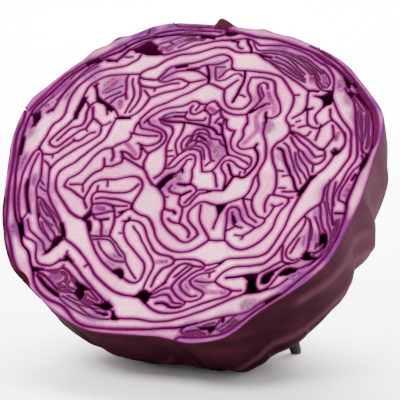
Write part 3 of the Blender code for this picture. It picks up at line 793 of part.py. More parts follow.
def bump(turn, centre, half_width):
    """A smooth rise round one direction from the axis, in degrees."""
    off = (np.degrees(turn) - centre + 180) % 360 - 180
    return np.clip(1 - (off / half_width) ** 2, 0, 1) ** 2


def tip_height(turn, share):
    height = sum(bump(turn, at, width) * tall for at, width, tall in RIM_TIPS)
    return height * np.clip((share - 0.955) / 0.03, 0, 1)


def rib_height(turn, share, angle):
    """Ribs and broad folds stand out on the outer leaves below the cut."""
    height = sum(bump(turn, at, width) * tall for at, width, tall in OUTER_RIBS + OUTER_FOLDS)
    return height * math.sin(math.radians(2.4 * angle)) * np.clip((share - 0.97) / 0.02, 0, 1)


def level_points(outline, angle, outer):
    """A leaf's outline carried down the head's side to an angle."""
    x, y = (outline - (AXIS_X, AXIS_Y)).T
    turn = np.arctan2(y, x)
    share = np.hypot(x, y) / rim_radius(turn)
    scale = side_share(angle)
    depth = np.full(len(x), side_depth(angle))
    if outer:
        scale = scale * (1 + rib_height(turn, share, angle) / rim_radius(turn))
        if angle == 0:
            depth = depth - tip_height(turn, share)
    return in_space(AXIS_X + x * scale, AXIS_Y + y * scale, depth)


def finer(outline, longest):
    """The same outline with more points on its long edges."""
    points = []
    for a, b in zip(outline, np.roll(outline, -1, axis=0)):
        count = max(1, math.ceil(np.hypot(*(b - a)) / longest))
        points.extend(a + (b - a) * k / count for k in range(count))
    return np.array(points)


def cap_faces(outline):
    """Triangles that fill an outline."""
    count = len(outline)
    edges = [(k, (k + 1) % count) for k in range(count)]
    result = delaunay_2d_cdt([tuple(p) for p in outline], edges, [], 1, 1e-7)
    if len(result[0]) != count:
        raise ValueError("an outline crosses itself")
    source = [from_points[0] for from_points in result[3]]
    return [[source[k] for k in face] for face in result[2]]


def make_mesh_object(name, points, faces, material, origin):
    mesh = bpy.data.meshes.new(name)
    mesh.from_pydata([tuple(p - origin) for p in points], [], [tuple(int(k) for k in f) for f in faces])
    mesh.materials.append(material)
    mesh.update()
    built = bpy.data.objects.new(name, mesh)
    built.location = tuple(origin)
    bpy.context.collection.objects.link(built)
    return built


def make_leaf(name, outline, angles, outer, colour):
    """One leaf: a closed blade from the cut face down the head's side."""
    if outer:
        outline = finer(outline, OUTER_EDGE)
    count = len(outline)
    levels = [level_points(outline, angle, outer) for angle in angles]
    cap = cap_faces(outline)
    faces = [list(face) for face in cap]
    for level in range(len(levels) - 1):
        top, low = level * count, (level + 1) * count
        for k in range(count):
            after = (k + 1) % count
            faces.append([top + k, low + k, low + after])
            faces.append([top + k, low + after, top + after])
    last = (len(levels) - 1) * count
    faces.extend([last + k for k in reversed(face)] for face in cap)
    points = np.vstack(levels)
    material = make_material(name, colour)
    return make_mesh_object(name, points, faces, material, np.mean(levels[0], axis=0))


def make_material(name, colour):
    material = bpy.data.materials.new(name)
    material.use_nodes = True
    surface = material.node_tree.nodes["Principled BSDF"]
    surface.inputs["Base Color"].default_value = (*colour, 1)
    surface.inputs["Roughness"].default_value = 0.5
    return material


def make_stem():
    """The core inside the leaves, the collar under them and the cut stump."""
    turns = np.linspace(0, 2 * math.pi, STEM_SIDES, endpoint=False)
    rim = rim_radius((turns + math.pi) % (2 * math.pi) - math.pi)
    last_angle = OUTER_ANGLES[-1]
    rings = [(side_depth(HEART_ANGLES[-1]) + CORE_GAP, rim * CORE_SHARE * side_share(HEART_ANGLES[-1]))]
    rings += [(side_depth(angle), rim * CORE_SHARE * side_share(angle)) for angle in OUTER_ANGLES[3:]]
    collar = rim * COLLAR_SHARE * side_share(last_angle)
    rings += [(side_depth(last_angle) + CORE_GAP, collar * 0.8), (side_depth(last_angle) + CORE_GAP, collar)]
    rings += [(0.5 * (side_depth(last_angle) + NECK_DEPTH), 0.45 * collar + 0.55 * NECK_RADIUS)]
    rings += [(NECK_DEPTH, np.full(STEM_SIDES, NECK_RADIUS))]
    rings += [(NECK_DEPTH + 2, np.full(STEM_SIDES, STUMP_RADIUS))]
    rings += [(STUMP_DEPTH, np.full(STEM_SIDES, STUMP_RADIUS))]
    points, faces = [], []
    for depth, radius in rings:
        x = AXIS_X + radius * np.cos(turns)
        y = AXIS_Y + radius * np.sin(turns)
        points.append(in_space(x, y, np.full(STEM_SIDES, depth)))
    for level in range(len(rings) - 1):
        top, low = level * STEM_SIDES, (level + 1) * STEM_SIDES
        for k in range(STEM_SIDES):
            after = (k + 1) % STEM_SIDES
            faces.append([top + k, low + k, low + after])
            faces.append([top + k, low + after, top + after])
    last = (len(rings) - 1) * STEM_SIDES
    faces.extend([0, k, k + 1] for k in range(1, STEM_SIDES - 1))
    faces.extend([last, last + k + 1, last + k] for k in range(1, STEM_SIDES - 1))
    return make_mesh_object("stem", np.vstack(points), faces, make_material("stem", (0.72, 0.66, 0.5)),
                            in_space([AXIS_X], [AXIS_Y], [STUMP_DEPTH])[0])


def make_stalk():
    foot, top = np.array(STALK_FOOT) * MM, np.array(STALK_TOP) * MM
    turns = np.linspace(0, 2 * math.pi, STALK_SIDES, endpoint=False)
    ring = np.stack([np.cos(turns), np.sin(turns), np.zeros(STALK_SIDES)], 1) * STALK_RADIUS * MM
    points = np.vstack([foot + ring * 0.8, foot * 0.8 + top * 0.2 + ring, top + ring])
    faces = []
    for level in range(2):
        low, high = level * STALK_SIDES, (level + 1) * STALK_SIDES
        for k in range(STALK_SIDES):
            after = (k + 1) % STALK_SIDES
            faces.append([low + k, low + after, high + after])
            faces.append([low + k, high + after, high + k])
    faces.extend([0, k + 1, k] for k in range(1, STALK_SIDES - 1))
    high = 2 * STALK_SIDES
    faces.extend([high, high + k, high + k + 1] for k in range(1, STALK_SIDES - 1))
    return make_mesh_object("stalk", points, faces, make_material("stalk", (0.05, 0.02, 0.03)), foot)


def stand_on_origin(objects):
    """Puts the middle of the object's foot print at the world origin."""
    corners = np.vstack([np.array([v.co for v in o.data.vertices]) + np.array(o.location) for o in objects])
    low, high = corners.min(axis=0), corners.max(axis=0)
    shift = (low + high) / 2
    shift[2] = low[2]
    for built in objects:
        built.location = tuple(np.array(built.location) - shift)
    print("shift in mm", (shift / MM).round(3), "size in mm", ((high - low) / MM).round(2))


def build():
    for built in list(bpy.data.objects):
        bpy.data.objects.remove(built)
    outer, heart = leaf_outlines()
    objects = []
    for number, outline in enumerate(outer):
        name = f"outer_leaf_{number + 1:02d}"
        objects.append(make_leaf(name, outline, OUTER_ANGLES, True, (0.16, 0.05, 0.1)))
    for number, outline in enumerate(heart):
        name = f"heart_leaf_{number + 1:02d}"
        objects.append(make_leaf(name, outline, HEART_ANGLES, False, (0.68, 0.46, 0.62)))
    objects.append(make_stem())
    objects.append(make_stalk())
    stand_on_origin(objects)


build()
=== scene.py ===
# %% [markdown]
# This lesson dresses the halved red cabbage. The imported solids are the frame: they say where
# each leaf is. Everything that shows is made here, in the same place as its solid.

import math

import bpy
import numpy as np
from mathutils import Matrix, Vector, noise
from mathutils.geometry import delaunay_2d_cdt


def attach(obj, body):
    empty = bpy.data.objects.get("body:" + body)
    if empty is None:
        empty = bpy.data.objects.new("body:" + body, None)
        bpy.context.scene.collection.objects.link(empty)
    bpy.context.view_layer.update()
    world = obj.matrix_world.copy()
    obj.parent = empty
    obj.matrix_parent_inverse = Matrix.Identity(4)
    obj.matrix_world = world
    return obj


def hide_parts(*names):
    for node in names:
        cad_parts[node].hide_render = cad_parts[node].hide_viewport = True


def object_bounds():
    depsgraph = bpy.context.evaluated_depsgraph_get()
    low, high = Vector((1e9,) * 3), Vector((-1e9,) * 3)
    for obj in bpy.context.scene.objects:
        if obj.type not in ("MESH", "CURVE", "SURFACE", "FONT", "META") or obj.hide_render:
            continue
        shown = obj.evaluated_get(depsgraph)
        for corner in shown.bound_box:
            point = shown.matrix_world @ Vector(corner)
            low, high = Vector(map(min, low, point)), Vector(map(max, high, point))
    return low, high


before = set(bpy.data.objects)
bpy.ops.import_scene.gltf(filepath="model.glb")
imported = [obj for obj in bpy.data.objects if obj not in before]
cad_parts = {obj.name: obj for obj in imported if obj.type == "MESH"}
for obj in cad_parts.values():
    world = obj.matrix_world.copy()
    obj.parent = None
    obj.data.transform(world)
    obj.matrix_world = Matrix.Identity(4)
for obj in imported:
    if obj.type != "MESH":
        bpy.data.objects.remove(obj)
solid_low, solid_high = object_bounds()
print("solids", len(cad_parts), "box", solid_low, solid_high)

# %% [markdown]
# A cut head shows a map of folded leaves. The dark skins between them are drawn here as routes
# on the cut plane, in millimetres from its middle, each with half of its width. What the routes
# leave between them is flesh, one leaf each, the same leaves as the solids.

# %% How the half lies, and the sizes of the head
MM = 0.001
FACE_LEAN = math.radians(46.0)
FACE_HEADING = math.radians(22.4)
FACE_MIDDLE = np.array([-1.178, -11.125, 72.4])
AXIS_X = -5.0
AXIS_Y = 0.5
HEAD_DEPTH = 75.0
PROFILE_POWER = 2.1

# How far down the side the outer and the inner leaves reach, in degrees
OUTER_ANGLE = 64.0
HEART_ANGLE = 33.0

# Where tips stand up and ribs swell, as shares of the way to the rim
TIP_FROM, TIP_FADE = 0.972, 0.014
RIB_FROM, RIB_FADE = 0.97, 0.02
RIB_SWELL = 2.4

# The fine grid over the cut, in millimetres, and what is told apart on it
GRID = 0.36
GRID_LEFT, GRID_RIGHT = -84.0, 75.0
GRID_LOW, GRID_HIGH = -75.0, 76.0
ROUTE_STEP = 1.0
SHORTEST_STEP = 1e-9
ROW_OFFSET = 1e-6
SAME_POINT = 1e-7
SMALLEST_LEAF = 5.0
FLESH_REACH = 4.5
FINE_REACH = 1.2
INNER_SPACE = 0.22
SKIN_BULGE = 0.24
SPOT_SOFTNESS = 0.8
FACES_THE_CUT = 0.9

# Half widths of the routes: a crease, a thin skin, a dark one, and gaps of three sizes
FINE = 0.31
SKIN = 0.32
DARK = 0.5
WIDE = 0.8
VOID = 1.2
HOLLOW = 1.8
print("cut leans", round(math.degrees(FACE_LEAN), 1), "degrees, depth of the half", HEAD_DEPTH, "mm")

# %% [markdown]
# The rim is the outline of the cut. Outside it come leaf tips that stand a little proud, the
# ribs of the outer leaves, and broad folds where the head was pressed as it grew.

# %% The rim and what stands out from it
RIM = [
    (-79.9, 16), (-79.4, 23), (-78.4, 28), (-76.7, 32), (-73.5, 36), (-70, 40.8), (-65, 46.9),
    (-61.3, 50.7), (-56.3, 55.8), (-52.3, 59), (-46.7, 62.7), (-40.6, 66), (-33, 68.9), (-25, 71),
    (-12, 71.3), (4, 70.5), (13, 69.6), (22, 67.6), (31.7, 64.7), (40, 61.2), (48.7, 56),
    (55.3, 49.7), (63, 41.7), (66.7, 37.3), (69, 33), (70, 28), (70, 23), (69.6, 14), (69.5, 5),
    (69, -4), (67.6, -12), (66.3, -18), (65, -25), (63, -31.7), (59.7, -37.3), (55.3, -42.4),
    (50, -47.8), (45, -52.6), (40.3, -57.7), (36.7, -62.7), (32.3, -67), (26.7, -69.3),
    (20, -70.8), (15, -70.6), (7, -69.6), (-3, -70), (-13, -70.4), (-22, -69.8), (-30, -67.2),
    (-40, -62.2), (-45, -58.5), (-50.4, -54.6), (-56.5, -50.4), (-61.6, -45.6), (-66, -38.2),
    (-70, -30), (-73, -22), (-75.2, -12), (-77.8, 0), (-79.4, 8.3),
]

# Leaf tips that stand above the rim: where round the axis, how wide and how high
RIM_TIPS = [(90.7, 4.4, 5.1), (112.0, 9.0, 1.2), (77.0, 3.6, 1.2), (126.0, 4.0, 1.6),
            (66.5, 5.0, 0.8), (134.0, 5.0, 1.2), (212.0, 6.0, 1.2)]

# Ribs and broad folds on the outside: where round the axis, half width in degrees, and height
OUTER_RIBS = [(14.0, 5.0, 1.2), (38.0, 3.5, 0.7), (62.0, 3.5, 0.6), (88.0, 4.0, 0.8),
              (118.0, 3.5, 0.6), (150.0, 4.0, 0.8), (186.0, 3.5, 0.7), (214.0, 5.0, 1.2),
              (238.0, 3.5, 0.6), (257.0, 3.5, 0.6), (289.0, 3.5, 0.7), (305.0, 3.0, 0.6)]
OUTER_FOLDS = [(9.0, 13.0, 3.0), (356.0, 8.0, 6.2), (341.0, 9.0, 3.6), (330.0, 9.0, 2.0),
               (316.0, 15.0, 5.2), (301.0, 10.0, 2.4)]
print("rim points", len(RIM), "tips", len(RIM_TIPS), "ribs", len(OUTER_RIBS), "folds", len(OUTER_FOLDS))

# %% [markdown]
# No rule gives the folds of a head, so each skin is listed one by one: first the long skins of
# the outer leaves, then the gaps, then the lines of each part of the cut.

# %% The routes of the skins on the cut plane
OUTER_LINES = [
    (DARK, [(-81.5, 27), (-78.4, 25), (-77.6, 20), (-78, 14), (-77.5, 9), (-76.3, 3.7), (-75.4, -1),
        (-74.7, -5), (-73.9, -10), (-72.8, -14.7), (-71.6, -19.3), (-70.3, -23.8), (-69, -28.3), (-67, -32),
        (-65, -35.6), (-63, -39.5), (-61.2, -43), (-58.4, -46.8), (-55, -50.2), (-52, -53), (-51, -56)]),
    (DARK, [(-75, 25), (-75.7, 20), (-75.7, 15), (-75.3, 10), (-74.7, 5), (-73.7, 0.3), (-73.2, -3.3),
        (-72.3, -6.7), (-71.3, -10.3), (-70.3, -14), (-69, -18), (-67.5, -21.7), (-66, -25), (-64.3, -27.4),
        (-63, -29.8), (-61.7, -32.3), (-60.3, -35), (-58.7, -37), (-56.7, -38.5), (-55, -40.8), (-54, -43.2),
        (-52.7, -45.3), (-51.3, -47.7), (-50.3, -50.3), (-49, -52.7), (-46.7, -55.3), (-44, -57.3),
        (-40.7, -59), (-37.3, -60), (-34.3, -61.3), (-32, -63), (-30, -64.9), (-28, -66.5), (-25, -67.9),
        (-21.7, -68.5), (-18.3, -68.6), (-15, -68.5), (-10, -68.2), (-5, -67.7), (0, -67.2), (3.3, -66.7),
        (8, -65.8), (13, -65), (17, -63.5), (20, -62.3)]),
    (DARK, [(-75, 25), (-73.7, 28), (-72, 30.5), (-70.2, 33.2), (-68.7, 35.8), (-67, 38.5), (-65.4, 41),
        (-63.5, 43.5), (-61, 46), (-59, 47.7), (-56.5, 49.2), (-53.5, 51.5), (-50, 53.8), (-47, 55.5),
        (-44.5, 58), (-41.5, 60.3), (-38.3, 62), (-34.5, 63.5), (-30, 64.4), (-25, 65.3), (-18.3, 65.8),
        (-11.7, 65.8), (-9, 65.6), (-6.7, 66.1), (-4.5, 67.3), (-1, 68), (3.3, 67.5), (8.3, 66.4),
        (13.3, 66.1), (17, 65.8), (20, 65), (25.3, 63.6), (28.3, 62.6), (31.7, 61.5), (34.3, 60.3),
        (36.7, 58.7), (39, 57.3), (41.3, 56), (43.3, 55), (45, 53.7), (48, 51.3), (51, 49), (53.4, 46.9),
        (55.7, 44.4), (58, 41.8), (60.3, 39.2), (62.4, 36.2), (64.2, 32.9), (65.6, 29.3), (66.6, 25),
        (67.2, 20), (67, 15), (66.5, 11.7), (65.4, 8.3), (64.9, 5), (64.5, 1.7), (64, -1.7), (63.7, -5),
        (64.2, -7.9), (64.5, -11.7), (64.4, -15), (64, -18.5), (62.8, -25), (61.8, -28.5), (60.1, -31.8),
        (58.2, -34.8), (56, -37.5), (54, -40.1), (52, -42.9), (50, -45.5), (48, -47.7), (46, -49.7),
        (43.8, -51.9), (41.3, -54.4), (39, -57), (37, -59.6), (34.8, -62.1), (32.7, -64.3), (30, -66),
        (26.7, -67.1), (23.3, -67.9), (18.5, -68.5), (14.5, -69), (12.5, -72)]),
    (SKIN, [(-76.6, 24.6), (-74.9, 28.5), (-73.2, 31.4), (-71.2, 35), (-69.6, 37.7), (-68, 40),
        (-66.2, 42.7), (-63.8, 45.2), (-61.4, 47.7), (-58.6, 50), (-56.6, 51.2), (-54, 53), (-51, 55.2),
        (-48, 57.6), (-45.7, 59.5), (-43.2, 61.4), (-40, 63), (-37.5, 64.2), (-36.5, 68.2)]),
    (SKIN, [(-44.5, 58.2), (-45.7, 59.4)]),
    (SKIN, [(-34.5, 63.7), (-33, 65.6), (-29.5, 66.9), (-26.7, 67.3), (-23.3, 67.6), (-20, 67.9),
        (-16.7, 68), (-13.3, 68), (-10, 68), (-6.7, 67.9)]),
    (SKIN, [(-28, 72), (-26, 69.5), (-20, 69.6), (-15, 69.6), (-10, 69.6), (-6.7, 69.4), (-4, 68.6),
        (-1, 68.2)]),
    (SKIN, [(35, 64.5), (36.7, 61.3), (39, 59.8), (41.3, 58.6), (43.8, 57), (46.3, 55.2), (48.3, 53.3),
        (50.7, 51.1), (53.3, 48.7), (56, 46), (58.3, 43.6), (60.7, 41), (63, 38.3), (65, 35.2), (66.6, 31.9),
        (67.5, 28.6), (68.1, 25), (68.4, 21.5), (67.4, 18)]),
]

HOLLOWS = [
    (HOLLOW, [(-72, 24.5), (-71.3, 22.3)]),
    (VOID, [(-73.2, 20.5), (-72, 18)]),
    (WIDE, [(-74.6, 12), (-74, 8), (-73.6, 4)]),
    (HOLLOW, [(-71.5, 28), (-69.5, 27.5)]),
    (WIDE, [(-68.5, 32.5), (-66.7, 35.5), (-65, 38), (-63.8, 40)]),
    (WIDE, [(-57.5, 49.4), (-55.8, 50.6)]),
    (HOLLOW, [(-38, 57), (-35, 58.3), (-32, 56.8), (-29.5, 56.8)]),
    (VOID, [(-39.8, 55.8), (-36, 56.3), (-33, 59), (-36.5, 59)]),
    (VOID, [(-3.8, 68.3), (-0.5, 68.3)]),
    (WIDE, [(-1, 64), (1.5, 63.6)]),
    (HOLLOW, [(50.3, 48), (51.3, 46.4)]),
    (WIDE, [(52.6, 44), (54, 42)]),
    (WIDE, [(58, 36.8), (58.6, 35.6)]),
    (WIDE, [(56.5, 43.4), (59, 40.3)]),
    (HOLLOW, [(43.9, 41.3), (45, 38.8)]),
    (VOID, [(43.6, 43.4), (45, 43.5), (46, 39)]),
    (WIDE, [(38, 34.3), (39.7, 35)]),
    (VOID, [(36.6, 33.6), (37.5, 34.7)]),
    (VOID, [(35.8, 49.3), (36.5, 47.7)]),
    (DARK, [(39.8, 51.5), (41.3, 48.4), (42.2, 45)]),
    (HOLLOW, [(62.8, 2), (62.3, -2.5)]),
    (VOID, [(64, 7), (63.3, 4.5)]),
    (WIDE, [(66.2, 16), (65.9, 12), (65.2, 9.5)]),
    (WIDE, [(52.7, 24.5), (52.5, 22)]),
    (WIDE, [(54.6, 16.6), (53.2, 17.3)]),
    (VOID, [(46.7, 4.3), (47.6, 3.6)]),
    (WIDE, [(43.6, -2), (45, -2.8)]),
    (DARK, [(47, 17), (49, 16.8)]),
    (WIDE, [(57.2, -20.5), (58, -23.5)]),
    (VOID, [(52.5, -31), (55, -29)]),
    (HOLLOW, [(35, -42), (37, -44.5)]),
    (VOID, [(33.5, -41.2), (36.5, -41)]),
    (VOID, [(37, -46.4), (38.8, -45.6)]),
    (VOID, [(41.2, -41.7), (43.5, -38.7)]),
    (WIDE, [(46.5, -39), (49, -37.8), (51.5, -36.8)]),
    (WIDE, [(44.2, -50.4), (46.5, -48.6), (49, -46.6)]),
    (VOID, [(25.6, -63.8), (26.5, -65.2)]),
    (WIDE, [(29.6, -58.8), (29.8, -60.6)]),
    (HOLLOW, [(-4, -53.3), (-3, -54)]),
    (WIDE, [(-6.3, -53.2), (-2.4, -56.3)]),
    (VOID, [(-4.6, -51.5), (-2.8, -53)]),
    (VOID, [(-12.8, -63.2), (-14, -61)]),
    (WIDE, [(-15, -59.3), (-17.3, -57.4)]),
    (DARK, [(-20, -62.2), (-16, -62.5)]),
    (WIDE, [(-17.8, -44), (-16.2, -43.2), (-15.8, -44.8)]),
    (DARK, [(-20.4, -14.5), (-20.2, -16.3)]),
    (WIDE, [(-19.6, -20.3), (-19.8, -21.8)]),
    (WIDE, [(-24.5, -18.3), (-22.5, -17.6)]),
    (HOLLOW, [(-34, -17.2), (-31.5, -17.5)]),
    (DARK, [(-38.4, -22.6), (-35.8, -24)]),
    (HOLLOW, [(-47.5, -37), (-47, -34.5)]),
    (VOID, [(-48.7, -38), (-45.6, -35), (-44.6, -32.6), (-46.2, -32.8)]),
    (WIDE, [(-44.2, -31.6), (-45.6, -28), (-46.9, -25.6)]),
    (VOID, [(-40.3, -40.2), (-40.2, -39.6)]),
    (WIDE, [(-42, -41.6), (-38.8, -41)]),
    (WIDE, [(-50.6, -46.2), (-49.8, -46.2)]),
    (VOID, [(-43.5, -48.6), (-40.8, -49.6)]),
    (WIDE, [(-49.2, -48.8), (-47, -50.9), (-44, -52.9), (-41, -54.6), (-38, -56.2)]),
    (WIDE, [(-65.9, -9), (-65.4, -12), (-64.4, -15.5), (-63.2, -18.7), (-62, -21.6)]),
    (VOID, [(-57.3, -21.8), (-56.7, -23.6)]),
    (WIDE, [(-55.2, 32.6), (-54, 31)]),
    (VOID, [(-47.6, 35.6), (-45.6, 38.4), (-43.8, 41)]),
    (WIDE, [(-48.6, 32.6), (-44, 29.9), (-42.2, 28.8)]),
    (DARK, [(-56.6, 25), (-56.1, 22.3)]),
    (DARK, [(-39.3, 31.6), (-38.7, 29.3)]),
    (DARK, [(-37.8, 24), (-33, 24.6)]),
    (VOID, [(-2, 18.6), (0.6, 17.4)]),
    (WIDE, [(2.6, 16.2), (4.4, 14.6)]),
    (WIDE, [(-1.5, 31.8), (0.6, 30.6)]),
    (DARK, [(13, 7), (14.2, 5), (15.2, 3)]),
    (WIDE, [(14.6, -12.2), (15.6, -13.4)]),
    (WIDE, [(-4.3, -3.6), (-1.5, -3.9)]),
    (DARK, [(-1.8, -8.4), (-0.4, -7.4)]),
    (WIDE, [(-8.6, 0.2), (-7.2, 0.8)]),
    (VOID, [(-10.6, -3.6), (-10, -4.8)]),
    (WIDE, [(-3, -15.6), (-1.9, -16.6)]),
    (VOID, [(21.5, -15.8), (23, -18.2)]),
    (WIDE, [(-20.6, 49.6), (-16.5, 50.7)]),
    (DARK, [(2.4, 50.9), (3.4, 50.5)]),
    (DARK, [(22.6, 29.4), (22.9, 27)]),
]

